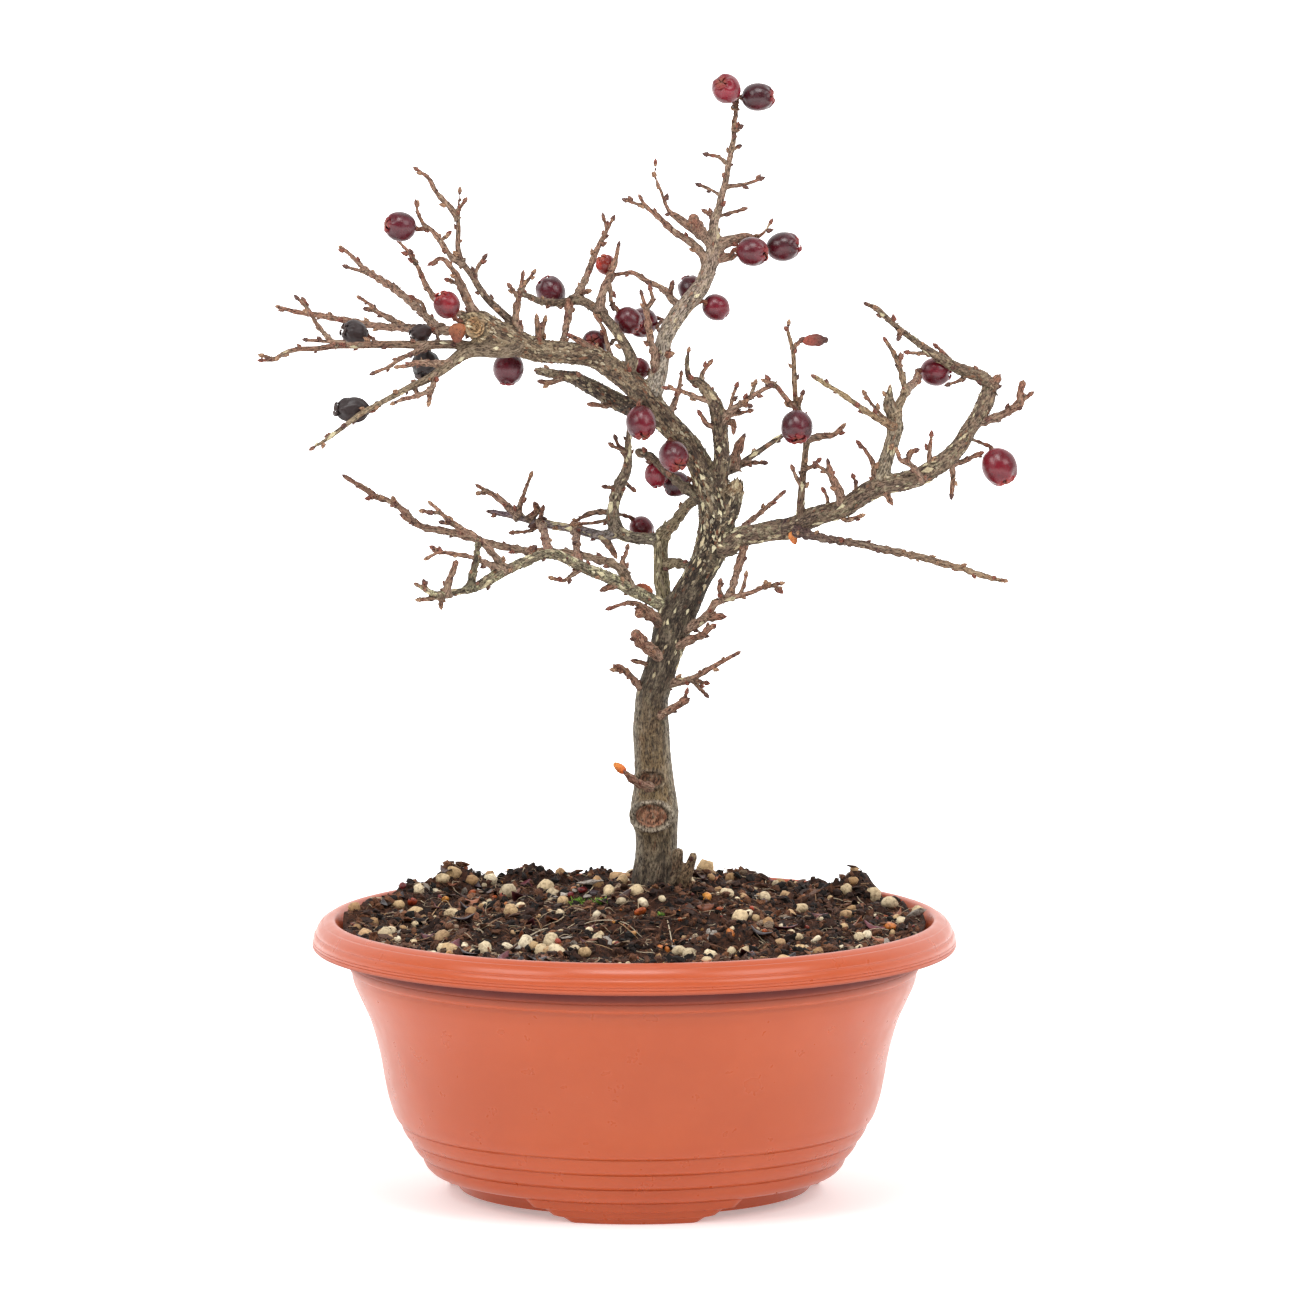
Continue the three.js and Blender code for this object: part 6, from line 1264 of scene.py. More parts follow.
# Radius, height and rounding of each corner, from the underside out, up the stepped skirt, over the rolled
# rim and down the inside
BOWL_PROFILE = [
    (22.0, 7.0, 0), (54.0, 7.0, 0.3), (54.0, 2.0, 0.5), (56.5, 2.0, 0.5), (56.5, 7.0, 0.5),
    (63.9, 7.0, 0.4), (65.4, 7.7, 0.6), (66.9, 9.2, 1.0), (67.6, 10.6, 1.0), (67.9, 11.9, 0.15),
    (67.7, 12.2, 0.1),
    (69.3, 13.2, 0.6), (70.5, 14.7, 1.0), (71.3, 16.0, 0.8), (71.6, 17.2, 0.15), (71.4, 17.5, 0.1),
    (72.6, 18.3, 0.6), (73.7, 19.8, 1.0), (74.5, 21.4, 0.8), (74.8, 22.6, 0.15), (74.6, 22.9, 0.1),
    (75.7, 23.7, 0.7), (77.1, 26.0, 1.4), (78.9, 31.5, 2), (79.9, 36.5, 3), (81.6, 46.5, 4),
    (84.3, 56.3, 3),
    (87.6, 63.4, 3), (89.7, 68.0, 1.6), (90.4, 70.6, 0.8), (90.3, 71.9, 0.2), (91.0, 72.5, 0.4),
    (91.3, 74.4, 0.3), (91.2, 74.8, 0.1), (92.0, 75.4, 0.4), (92.4, 79.4, 1.2), (93.9, 82.4, 1.5),
    (97.8, 86.2, 1.6), (100.3, 83.4, 1.4), (101.2, 79.6, 0.5), (102.5, 79.3, 0.5), (103.0, 80.1, 0.4),
    (103.0, 80.7, 0.1), (102.7, 80.9, 0.08), (102.92, 81.1, 0.1), (102.9, 81.6, 0.1), (102.62, 81.8, 0.08),
    (102.8, 82.0, 0.1), (102.6, 83.3, 0.7), (102.1, 84.1, 0.15), (101.75, 84.3, 0.1), (101.8, 84.8, 0.3),
    (101.2, 86.2, 1.0), (100.0, 87.5, 0.5), (99.5, 87.6, 0.1), (99.2, 87.9, 0.2), (98.2, 88.6, 0.5),
    (97.0, 88.9, 0.6), (95.9, 88.6, 0.5), (95.3, 87.6, 0.5), (94.0, 85.2, 1.0), (91.7, 80.2, 2.0),
    (89.9, 72.0, 2.0),
    (82.4, 56.6, 3.0), (79.6, 46.5, 3.0), (75.2, 26.9, 3.0), (64.6, 9.5, 2.5), (22.0, 9.5, 0),
]
FOOT_COUNT = 3
FOOT_BACK = 46.0
FOOT_POINTS = 41
# A foot's corners: their share of the half-width, and how far they are set back
CORNER_SHARE = 0.05
CORNER_DEPTH = 0.9
# Half-width, face radius, height and rounding of a foot, from inside the floor down to the ground
FOOT_STEPS = [
    (34.0, 63.6, 8.2, 0), (34.4, 64.3, 7.0, 0.4), (31.8, 63.4, 4.4, 0.3), (28.0, 62.6, 4.0, 0.3),
    (25.3, 62.0, 2.0, 0.3), (22.3, 61.5, 1.6, 0.3), (20.4, 61.1, 0.4, 0.3), (19.8, 60.7, 0.0, 0),
]
DRAIN_COUNT = 6
DRAIN_CIRCLE = 30.0
DRAIN_RADIUS = 4.0
DRAIN_SIDES = 40
# How far a drill reaches from below the floor to above it
DRILL_LOW, DRILL_HIGH = 4.0, 12.0
# Edges that turn more than this, in degrees, stay sharp
SHARP_TURN = 38


def foot_surface():
    """The rings of one stepped foot facing the front. Each level's outline runs along an arc of the face
    radius, from one half-width to the other, turns a rounded corner, and comes back straight behind."""
    steps = rounded(FOOT_STEPS)
    s = np.linspace(-1, 1, FOOT_POINTS)
    half, face, height = (steps[:, k:k + 1] for k in range(3))
    x = half * s
    corner = np.clip((np.abs(s) - (1 - CORNER_SHARE)) / CORNER_SHARE, 0, 1)
    front = -np.sqrt(face ** 2 - x ** 2) + CORNER_DEPTH * (1 - np.sqrt(1 - corner ** 2))
    arc = np.stack([x, front, height + 0 * x], -1)
    back = np.stack([x[:, ::-1], 0 * x - FOOT_BACK, height + 0 * x], -1)
    return np.concatenate([arc, back], axis=1)[::-1]


def bowl_mesh(sides):
    """The turned bowl joined with its feet, and drilled for drainage."""
    bowl = write_mesh("bowl", *lathe(rounded(BOWL_PROFILE), sides))
    feet = Shell()
    rings = foot_surface()
    for k in range(FOOT_COUNT):
        a = 2 * np.pi * k / FOOT_COUNT
        turn = np.array([[np.cos(a), np.sin(a), 0], [-np.sin(a), np.cos(a), 0], [0, 0, 1]])
        feet.add(with_poles(rings) @ turn, *closed_rings(*rings.shape[:2]))
    drills = Shell()
    for k in range(DRAIN_COUNT):
        a = 2 * np.pi * k / DRAIN_COUNT
        profile = np.array([[DRAIN_RADIUS, DRILL_LOW], [DRAIN_RADIUS, DRILL_HIGH]])
        points, quads, tris = lathe(profile, DRAIN_SIDES)
        drills.add(points + DRAIN_CIRCLE * np.array([np.cos(a), np.sin(a), 0]), quads, tris)
    made = joined(bowl, write_mesh("feet", *feet.gathered()[:3]), "UNION")
    made = joined(made, write_mesh("drills", *drills.gathered()[:3]), "DIFFERENCE")
    made.name = "bowl"
    made.shade_smooth()
    made.set_sharp_from_angle(angle=np.radians(SHARP_TURN))
    return made


def joined(first, second, operation):
    """The union or difference of two closed meshes, worked out by a Boolean modifier, as a new mesh."""
    objects = [bpy.data.objects.new(mesh.name, mesh) for mesh in (first, second)]
    for made in objects:
        bpy.context.scene.collection.objects.link(made)
    cut = objects[0].modifiers.new("cut", "BOOLEAN")
    cut.operation = operation
    cut.object = objects[1]
    cut.solver = "EXACT"
    shaped = objects[0].evaluated_get(bpy.context.evaluated_depsgraph_get())
    mesh = bpy.data.meshes.new_from_object(shaped)
    for made in objects:
        bpy.data.objects.remove(made)
    return mesh


def moulded_plastic(body_colour, rim_colour):
    """Terracotta-coloured polypropylene, injection moulded: satin, with a very fine moulded grain, faint
    turned lines, a painted shade that darkens the band of wall under the rim's overhang, and a little dust
    on the ledges."""
    material, tree = new_material("moulded_terracotta_plastic")
    place = put(tree, "place")
    mottle = put(tree, "noise", place, 26.0, 4.0)
    deeper = put(tree, "deepened", body_colour, "#F8F2EE")
    body = put(tree, "mixed", put(tree, "ranged", mottle, 0.3, 0.7), body_colour, deeper)
    height = put(tree, "z", place)
    # Painted shade: the band from about 72 to 81 mm up, under the rim's overhang, is darkened to red-brown
    # and made rougher
    painted_rim_shade = put(tree, "multiply", put(tree, "ranged", height, 0.0715, 0.0775),
                    put(tree, "ranged", height, 0.0815, 0.0785))
    body = put(tree, "mixed", painted_rim_shade, body, "#560F04")
    body = put(tree, "mixed", put(tree, "ranged", height, 0.0788, 0.0808, 0.0, 0.85), body, rim_colour)
    up = put(tree, "z", put(tree, "facing"))
    specks = put(tree, "ranged", put(tree, "noise", place, 3200.0, 2.0), 0.7, 0.76)
    patchy = put(tree, "ranged", put(tree, "noise", place, 60.0, 3.0), 0.45, 0.75)
    ledge = put(tree, "ranged", up, 0.0, 0.75, 0.25, 0.6)
    dust = put(tree, "multiply", put(tree, "multiply", specks, patchy), ledge)
    body = put(tree, "mixed", dust, body, "#EBC4B0")
    gloss = put(tree, "ranged", put(tree, "noise", place, 120.0, 3.0), 0.3, 0.7, 0.27, 0.34)
    gloss = put(tree, "add", gloss, put(tree, "multiply", painted_rim_shade, 0.4))
    turned = put(tree, "noise", put(tree, "stretched", place, (8.0, 8.0, 2600.0)), 1.0, 2.0)
    grainy = put(tree, "noise", place, 900.0, 2.0)
    relief = put(tree, "add", put(tree, "multiply", turned, 0.08), grainy)
    normal = put(tree, "bumped", relief, 0.00004, 0.25)
    return finish_material(material, tree, Base_Color=body, Roughness=gloss, IOR=1.49, Normal=normal,
                           Subsurface_Weight=0.05, Subsurface_Radius=(0.004, 0.0015, 0.0008))


# Soil

# Place, width and height of the heaps on the soil
SOIL_CLUMPS = [
    (-58, 66, 10, 6), (71, 54, 10, 5.5), (-36, 78, 8, 4), (38, 76, 8, 3.5), (20, 34, 10, 5),
    (-88, 8, 7, 2), (36, -40, 8, 4.5), (-50, -30, 12, 3), (64, -14, 9, 3), (-16, -58, 12, 2.5),
    (4, 80, 9, 3), (-72, 48, 9, 4),
]
# Radius and height of the soil's side, close along the bowl's inside
SOIL_SIDE = [(40.0, 9.8), (64.2, 9.8), (74.9, 26.9), (79.3, 46.5), (82.1, 56.6), (89.2, 72.0), (91.0, 80.2)]
# How far out the soil's top and the litter on it reach
SOIL_EDGE = 93.2
LITTER_EDGE = 91.8
BED_SIDES = 420
BED_RINGS = 128


def soil_height(x, y):
    """A mound round the trunk with a bell-shaped fall, a slow rise towards the rim and the back, lumps from
    crossed waves, and bell-shaped heaps."""
    z = 83.5 + 14.0 * np.exp(-((np.hypot(x - 6, y - 10) / 46.0) ** 2))
    z = z + 3.0 * smoothstep(66, 92, np.hypot(x, y)) + 1.6 * smoothstep(10, 75, y)
    z = z + 1.1 * np.sin(x * 0.21 + 1.3) * np.cos(y * 0.17) + 0.8 * np.sin(x * 0.11 - y * 0.26 + 0.7)
    for cx, cy, width, height in SOIL_CLUMPS:
        z = z + height * np.exp(-((x - cx) ** 2 + (y - cy) ** 2) / width ** 2)
    return z


def crumbly(x, y):
    """The soil's height with its crumbs: rounded lumps of three sizes, two from noise that is folded about
    its middle."""
    at = np.stack([x, y, 0 * x], -1)
    lumps = 2.4 * (cloud(at / 6.0, 2, 21) - 0.5) + 1.5 * np.abs(noise(at / 2.6, 22) - 0.5)
    return soil_height(x, y) + lumps + 0.8 * (0.5 - np.abs(noise(at / 1.2, 23) - 0.5)) - 0.75


def soil_bed():
    """The bed as rings: up the bowl's side, then inwards over the top, closed on the axis at both ends."""
    angle = around(BED_SIDES)
    radius = SOIL_EDGE * (1 - np.arange(BED_RINGS) / BED_RINGS) ** 0.9
    x, y = radius[:, None] * np.cos(angle), radius[:, None] * np.sin(angle)
    side = np.array(SOIL_SIDE)
    wall = np.stack([side[:, :1] * np.cos(angle), side[:, :1] * np.sin(angle), side[:, 1:] + 0 * angle], -1)
    points = np.concatenate([wall.reshape(-1, 3), np.stack([x, y, crumbly(x, y)], -1).reshape(-1, 3)])
    top = crumbly(np.zeros(1), np.zeros(1))[0]
    poles = np.array([[0, 0, SOIL_SIDE[0][1]], [0, 0, top]])
    return np.concatenate([points, poles]), *closed_rings(len(side) + BED_RINGS, BED_SIDES)


def strewn(rng, count, edge=LITTER_EDGE):
    """Random places spread evenly over the soil, at its height."""
    out, turn = edge * np.sqrt(rng.random(count)), 2 * np.pi * rng.random(count)
    x, y = out * np.cos(turn), out * np.sin(turn)
    return np.stack([x, y, crumbly(x, y)], -1)


def on_soil(seen):
    """Where the lines of sight through front-plane points first meet the soil, going back in small steps. A
    line that passes over the soil comes down where it is lowest above it."""
    depths = np.arange(-LITTER_EDGE, LITTER_EDGE, 0.5)
    line = placed(np.asarray(seen, float)[:, None], depths[None])
    above = line[..., 2] - crumbly(line[..., 0], line[..., 1])
    above[np.hypot(line[..., 0], line[..., 1]) > LITTER_EDGE] = np.inf
    at = np.where((above <= 0).any(axis=1), np.argmax(above <= 0, axis=1), np.argmin(above, axis=1))
    places = line[np.arange(len(line)), at]
    places[:, 2] = crumbly(places[:, 0], places[:, 1])
    return places


def lying(rng, count, tilt):
    """Directions near upright, each leaning at random."""
    return unit(np.array([0, 0, 1.0]) + tilt * rng.normal(size=(count, 3)))


def toned(rng, palette, count):
    """One colour of a palette for each copy, a little lighter or darker."""
    tones = hex_rows(palette)[rng.integers(0, len(palette), count)]
    return np.clip(tones * (1 + TONE_SPREAD * rng.normal(size=(count, 1))), 0, 1)


def litter_base(kind):
    """The solid that a kind's copies start from: a ball of twenty faces or of eighty, a ball of eighty with
    its sides cut flat, or one pressed to a thin bent leaf with narrow ends."""
    points, faces = icosahedron()
    if kind in ("peat_crumbs", "bark_chips"):
        return points, faces
    points, faces = divided(points, faces)
    if kind == "pumice_grains":
        return np.clip(points, -FLAT_CUT, FLAT_CUT) * 1.1, faces
    if kind == "fallen_leaves":
        x, y, z = points.T
        points = np.stack([x, y * (1 - 0.7 * np.abs(x) ** 3), z * 0.1 + 0.55 * x ** 2 - 0.5 * y ** 2], -1)
    return points, faces


def loose(rng, kind, count):
    """Copies of one kind, strewn at random, and those whose place shows: their points, faces and tones."""
    least, more, shares, lift, tilt, rough, palette = LITTER[kind]
    places, size = strewn(rng, count), least + more * rng.random(count) ** 2
    tones = toned(rng, palette, count)
    if kind in PLACED:
        seen, sizes, numbers = zip(*PLACED[kind])
        places = np.concatenate([places, on_soil(seen)])
        size = np.concatenate([size, sizes])
        tones = np.concatenate([tones, hex_rows([palette[number] for number in numbers])])
    places[:, 2] += lift * size
    change = (1 + 0.14 * rng.normal(size=(len(size), 3))).clip(0.75, 1.35)
    halves = size[:, None] * np.array(shares) * change
    base, faces = litter_base(kind)
    frames = turned_frames(lying(rng, len(size), tilt), rng)
    points, tris = scattered(base, faces, places, halves, frames, rng, rough)
    return points, NO_QUADS, tris, {"tone": np.repeat(tones, len(base), axis=0)}


# How much lighter or darker a copy is than its palette's colour, and where a pumice grain is cut flat
TONE_SPREAD = 0.12
FLAT_CUT = 0.86
# The kinds of loose piece in the soil: least and added half-size, its share along, across and through, how
# far it is lifted in half-sizes, how it leans, how rough its form is, and its colours
LITTER = {
    "peat_crumbs": (0.4, 1.5, (1.0, 0.9, 0.75), 0.3, 0.8, 0.26,
                    ["#301C14", "#523323", "#6A442E", "#1E120D", "#7C5238", "#3E251A", "#180F0B"]),
    "pumice_grains": (0.75, 1.9, (1.1, 0.96, 0.88), 0.25, 0.7, 0.05,
                      ["#DCC49C", "#E6D2AE", "#C6A278", "#B08A60", "#D8C4A0", "#CCAC80", "#EEDEBE"]),
    "bark_chips": (0.7, 2.4, (1.0, 0.5, 0.17), 0.4, 0.5, 0.18,
                   ["#6B4630", "#8A5A3A", "#54382A", "#7A4A30", "#3C2A22", "#8C7660", "#A39A90",
                    "#5E4030"]),
    "seeds_and_husks": (0.55, 0.9, (1.2, 0.85, 0.7), 0.35, 0.6, 0.07,
                        ["#B5541F", "#C8742E", "#9E3A1E", "#D8903A", "#7A2A18", "#6E1C1C", "#C08A50"]),
    "fallen_leaves": (1.8, 2.4, (1.0, 0.62, 0.6), 0.35, 0.45, 0.04,
                      ["#3A2A30", "#4A2C24", "#5A2A2E", "#2E2226", "#A86848", "#7A4226", "#6A3038"]),
}
# Loose pieces whose place shows, by kind: where they are seen, half-size and which colour of their kind
PLACED = {
    "pumice_grains": [
        ((-57.7, 101.9), 2.4, 5), ((-51.9, 100.0), 1.9, 3), ((-46.3, 101.3), 1.7, 3),
        ((-25.6, 95.4), 2.1, 4), ((-22.9, 93.3), 1.9, 5), ((-8.1, 96.2), 2.4, 0), ((0.7, 96.2), 2.0, 0),
        ((-4.1, 99.5), 2.0, 5), ((2.8, 92.5), 1.7, 6), ((-39.4, 89.8), 2.3, 5), ((-52.1, 89.3), 2.2, 3),
        ((-58.2, 88.7), 2.2, 0), ((-34.9, 79.6), 2.1, 6), ((-32.8, 78.2), 2.0, 5), ((-29.8, 76.9), 2.2, 0),
        ((-24.8, 76.9), 2.2, 1), ((-16.0, 76.6), 2.0, 5), ((14.2, 76.8), 2.3, 4), ((-11.0, 82.5), 1.2, 0),
        ((-12.1, 89.0), 1.2, 6), ((-23.7, 89.3), 1.4, 1), ((-40.7, 78.5), 1.6, 6), ((-47.9, 77.6), 2.2, 1),
        ((-48.2, 91.4), 1.5, 3), ((-23.5, 102.5), 1.9, 3), ((17.7, 99.5), 1.6, 4), ((22.5, 104.0), 2.6, 5),
        ((29.6, 95.7), 2.2, 1), ((34.6, 94.1), 1.8, 2), ((53.1, 90.4), 2.4, 0), ((62.7, 94.1), 1.1, 5),
        ((81.7, 92.4), 2.7, 4), ((66.8, 84.3), 1.5, 5), ((74.3, 81.9), 1.8, 6), ((69.3, 90.7), 1.5, 3),
        ((86.1, 86.2), 1.9, 1), ((46.4, 79.5), 1.6, 2), ((52.5, 81.5), 1.4, 0), ((31.0, 77.0), 1.7, 4),
        ((36.5, 89.3), 1.6, 6), ((41.8, 94.3), 1.9, 4), ((69.9, 99.8), 1.5, 3), ((67.9, 96.8), 1.9, 0),
        ((30.7, 100.8), 1.6, 3), ((46.7, 99.8), 1.6, 3), ((-89.6, 91.3), 1.9, 3), ((-70.3, 88.7), 2.9, 5),
        ((-75.7, 91.7), 2.1, 5), ((-68.9, 96.8), 1.9, 1), ((-83.6, 86.0), 1.6, 3), ((-80.3, 82.8), 1.6, 2),
        ((-74.5, 84.0), 1.7, 3), ((-70.7, 79.9), 1.3, 0), ((-47.8, 91.5), 1.2, 4),
    ],
    "seeds_and_husks": [
        ((-42.0, 95.2), 1.2, 2), ((-44.5, 94.5), 1.1, 0), ((-20.3, 95.4), 1.3, 5), ((-16.6, 96.8), 1.4, 5),
        ((-24.8, 79.9), 1.9, 2), ((-0.4, 82.4), 1.5, 6), ((1.5, 89.3), 2.0, 0), ((8.1, 78.2), 1.3, 1),
        ((10.5, 77.6), 1.2, 1), ((-56.6, 78.3), 1.1, 1), ((23.3, 94.1), 1.9, 3), ((81.7, 84.6), 2.3, 1),
        ((30.7, 82.6), 1.5, 1), ((27.2, 90.4), 1.5, 0), ((-71.0, 92.5), 1.8, 2), ((-60.5, 93.5), 1.4, 3),
        ((-62.5, 94.6), 1.2, 5),
    ],
    "fallen_leaves": [
        ((-38.1, 96.2), 2.2, 5), ((-58.0, 98.1), 2.4, 5), ((-51.3, 92.5), 3.4, 4), ((-59.0, 94.4), 2.7, 0),
        ((-54.3, 86.6), 3.8, 0), ((-3.3, 94.6), 3.2, 1), ((-33.3, 85.5), 2.8, 2), ((-34.6, 98.4), 2.7, 6),
        ((-49.7, 98.1), 2.4, 0), ((-80.5, 91.8), 2.9, 3), ((-66.0, 81.5), 3.0, 2), ((22.8, 90.7), 2.8, 5),
        ((84.0, 88.5), 2.8, 4),
    ],
    "bark_chips": [
        ((-14.0, 98.2), 4.6, 6), ((-4.5, 77.6), 4.5, 5), ((-16.0, 80.5), 3.0, 1), ((-38.0, 88.0), 3.2, 7),
    ],
}
# Roots that arch over the soil: the places they are seen to pass
ROOT_HAIRS = [
    [(-19.5, 83.6), (-14.5, 86.3), (-3.8, 86.3), (2.5, 81.7)], [(31.6, 92.1), (37.5, 91.4), (43.6, 87.9)],
    [(57.6, 97.9), (57.9, 95.0), (58.2, 92.4)], [(-84.5, 96.0), (-79.0, 93.8), (-74.0, 92.0)],
    [(-61.0, 91.3), (-59.0, 89.0), (-55.5, 86.4)],
    [(-66.6, 85.8), (-64.0, 89.6), (-60.8, 93.4), (-57.0, 88.7)],
    [(-36.5, 87.2), (-31.5, 87.2), (-29.5, 83.6)], [(-10.0, 88.2), (-4.0, 85.4), (1.5, 81.0)],
    [(10.5, 87.5), (11.4, 83.0), (12.2, 78.8)], [(-18.0, 80.2), (-10.0, 78.5), (-5.0, 76.6)],
    [(0.0, 79.0), (3.0, 79.6), (6.0, 77.2)], [(-34.0, 82.0), (-28.0, 84.0), (-20.0, 82.6)],
]
FIBRE_TONES = ["#D0BC9C", "#6E3F2A", "#55392B", "#6A4632", "#44301F", "#7A543A", "#5E3E2C", "#8A6244",
               "#4A3426", "#A88664", "#C8B498"]
ROOT_TONES = ["#C09A70", "#D8C8AC", "#A87E56"]
# Cushions of moss: where they are seen and their width
MOSS = [((-18.6, 93.6), 1.5), ((-15.8, 93.2), 1.7), ((-12.8, 93.5), 1.8), ((-10.2, 93.2), 1.2),
        ((8.6, 88.9), 0.8)]
MOSS_TONES = ["#6E9A30", "#86AE3C", "#557E26", "#9ABF52"]


def fibres(rng, count):
    """Fine roots and peat fibres: three-sided threads along shallow arches that bend to one side."""
    steps, sides = 7, 3
    starts = strewn(rng, count, LITTER_EDGE - 1)
    turn = 2 * np.pi * rng.random(count)
    ahead = np.stack([np.cos(turn), np.sin(turn), 0 * turn], -1)[:, None]
    aside = np.stack([-np.sin(turn), np.cos(turn), 0 * turn], -1)[:, None]
    length = (2.0 + 9.0 * rng.random(count) ** 2.4)[:, None, None]
    bend = 0.6 * rng.normal(size=(count, 1, 1))
    t = np.linspace(0, 1, steps)[None, :, None]
    path = starts[:, None] + length * (ahead * (t - 0.5) + aside * bend * t * (1 - t) * 2)
    inside = np.minimum(1, LITTER_EDGE / np.maximum(np.hypot(path[..., 0], path[..., 1]), 1e-6))
    path[..., :2] *= inside[..., None]
    rise = 0.3 + 0.2 * length[:, :, 0] * rng.random((count, 1)) ** 2
    ground = crumbly(path[..., 0], path[..., 1])
    path[..., 2] = ground * 0.5 + 0.5 * path[:, :1, 2] + rise * 4 * (t * (1 - t))[..., 0]
    thick = (0.08 + 0.1 * rng.random((count, 1)) ** 2) * (1 - 0.6 * np.abs(2 * t[0, :, 0] - 1) ** 3)
    return threads(path, thick, sides, toned(rng, FIBRE_TONES, count))


def root_hairs(rng):
    """The longer pale roots, along smooth curves through their places on the soil, lifted in the middle."""
    steps, sides = 18, 5
    paths = np.stack([curve_at(on_soil(row), np.linspace(0, 1, steps)) for row in ROOT_HAIRS])
    t = np.linspace(0, 1, steps)
    paths[..., 2] += 0.2 + 2.0 * t * (1 - t)
    thick = 0.17 * (1 - 0.5 * t ** 2) * (1 + 0.4 * rng.random((len(paths), 1)))
    return threads(paths, thick, sides, toned(rng, ROOT_TONES, len(paths)))


def threads(path, thick, sides, tones):
    """Closed threads along many paths at once: each point has a small polygon across the path. Each thread
    has one tone."""
    many, steps = path.shape[:2]
    along = unit(np.gradient(path, axis=1))
    side = unit(np.cross(along, np.array([0.13, 0.21, 0.97])))
    across = np.cross(along, side)
    a = around(sides)
    ring = np.cos(a)[:, None] * side[:, :, None] + np.sin(a)[:, None] * across[:, :, None]
    rings = path[:, :, None] + thick[:, :, None, None] * ring
    ends = np.stack([path[:, 0], path[:, -1]], 1)
    points = np.concatenate([rings.reshape(many, -1, 3), ends], axis=1).reshape(-1, 3)
    each = steps * sides + 2
    quads, tris = (copied(faces, many, each) for faces in closed_rings(steps, sides))
    return points, quads, tris, {"tone": np.repeat(tones, each, axis=0)}


def moss(rng, count):
    """A tuft of moss: narrow pointed leaves of six faces standing out from low cushions."""
    where = rng.integers(0, len(MOSS), count)
    width = np.array([row[1] for row in MOSS])[where, None]
    out = rng.normal(size=(count, 3)) * np.array([1.0, 1.0, 0.35])
    root = on_soil([row[0] for row in MOSS])[where] + out * width * 0.7
    root[:, 2] = crumbly(root[:, 0], root[:, 1])
    way = unit(out * 0.45 + np.array([0, 0, 1.0]) + 0.4 * rng.normal(size=(count, 3)))
    t = np.linspace(0, 1, 4)[None, :, None]
    length = (0.6 + 0.9 * rng.random(count))[:, None, None]
    path = root[:, None] + way[:, None] * t * length + 0.25 * length * t ** 2 * unit(out)[:, None]
    thick = 0.13 * np.array([0.7, 1.0, 0.75, 0.15])[None] * np.ones((count, 1))
    return threads(path, thick, 3, toned(rng, MOSS_TONES, count))


def peat(dark, light):
    """Damp peat: nearly matt, almost black in its hollows and red-brown where it has dried."""
    material, tree = new_material("damp_peat")
    place = put(tree, "place")
    fine = put(tree, "noise", place, 800.0, 5.0, 0.7)
    wide = put(tree, "noise", place, 110.0, 3.0)
    body = put(tree, "mixed", put(tree, "ranged", fine, 0.38, 0.66), dark, light)
    body = put(tree, "mixed", put(tree, "ranged", wide, 0.45, 0.75, 0.0, 0.6), body, "#5E3A2A")
    normal = put(tree, "bumped", put(tree, "noise", place, 1400.0, 5.0, 0.7), 0.0008, 1.0)
    gloss = put(tree, "ranged", wide, 0.3, 0.7, 0.6, 0.95)
    return finish_material(material, tree, Base_Color=body, Roughness=gloss, IOR=1.4, Normal=normal,
                           Specular_IOR_Level=0.3)


def litter(name, roughness, pit_scale, pit_depth, contrast):
    """Dry grains, chips and threads: matt, each of its own tone, darker in its pits and stained by peat."""
    material, tree = new_material(name)
    place = put(tree, "place")
    tone = put(tree, "colour", attribute_name="tone")
    pits = put(tree, "noise", place, pit_scale, 4.0, 0.65)
    dark = put(tree, "deepened", tone, "#7A6450")
    body = put(tree, "mixed", put(tree, "ranged", pits, 0.56, 0.36, 0.0, contrast), tone, dark)
    stain = put(tree, "ranged", put(tree, "noise", place, pit_scale * 0.4, 3.0), 0.58, 0.7, 0.0, contrast)
    body = put(tree, "mixed", stain, body, put(tree, "deepened", tone, "#6A4A34"))
    normal = put(tree, "bumped", pits, pit_depth, 0.9)
    return finish_material(material, tree, Base_Color=body, Roughness=roughness, IOR=1.45, Normal=normal)


# Berries

# Half a berry cut along its axis, in radii: out from the axis, and up from the stalk's end to the calyx
BERRY_PROFILE = np.array([
    [0.02, -0.985], [0.14, -0.985], [0.32, -0.945], [0.56, -0.83], [0.79, -0.6],
    [0.94, -0.3], [1.0, 0.04], [0.97, 0.38], [0.86, 0.67], [0.69, 0.87], [0.53, 0.965],
    [0.43, 0.99], [0.35, 0.955], [0.26, 0.875], [0.14, 0.83], [0.02, 0.82],
])
BERRY_SIDES = 44
BERRY_RINGS = 40
# A sepal's middle line, in radii: out, up, half-width and half-thickness
SEPAL_ROWS = np.array([
    [0.47, 0.93, 0.25, 0.07], [0.45, 1.02, 0.25, 0.07], [0.36, 1.08, 0.21, 0.055],
    [0.24, 1.085, 0.14, 0.045], [0.12, 1.04, 0.06, 0.035], [0.06, 1.0, 0.02, 0.02],
])
# Each colour's shades, which berries take in turn, and that of its calyx
BERRY_TONES = {
    "dark": (["#580C1A", "#460A16", "#620E1C", "#3A0912", "#500C18", "#400A14"], "#76161A"),
    "bright": (["#6A0A14", "#5C0C18"], "#8E1A1A"),
    "orange": (["#8E2414"], "#9A3A20"),
    "black": (["#2A1514", "#321A18", "#221110"], "#2A1A18"),
}
SEPAL_COUNT = 5
SEPAL_SIDES = 8
SEPAL_STEPS = 9
SEPAL_TIP = "#8C5A3C"


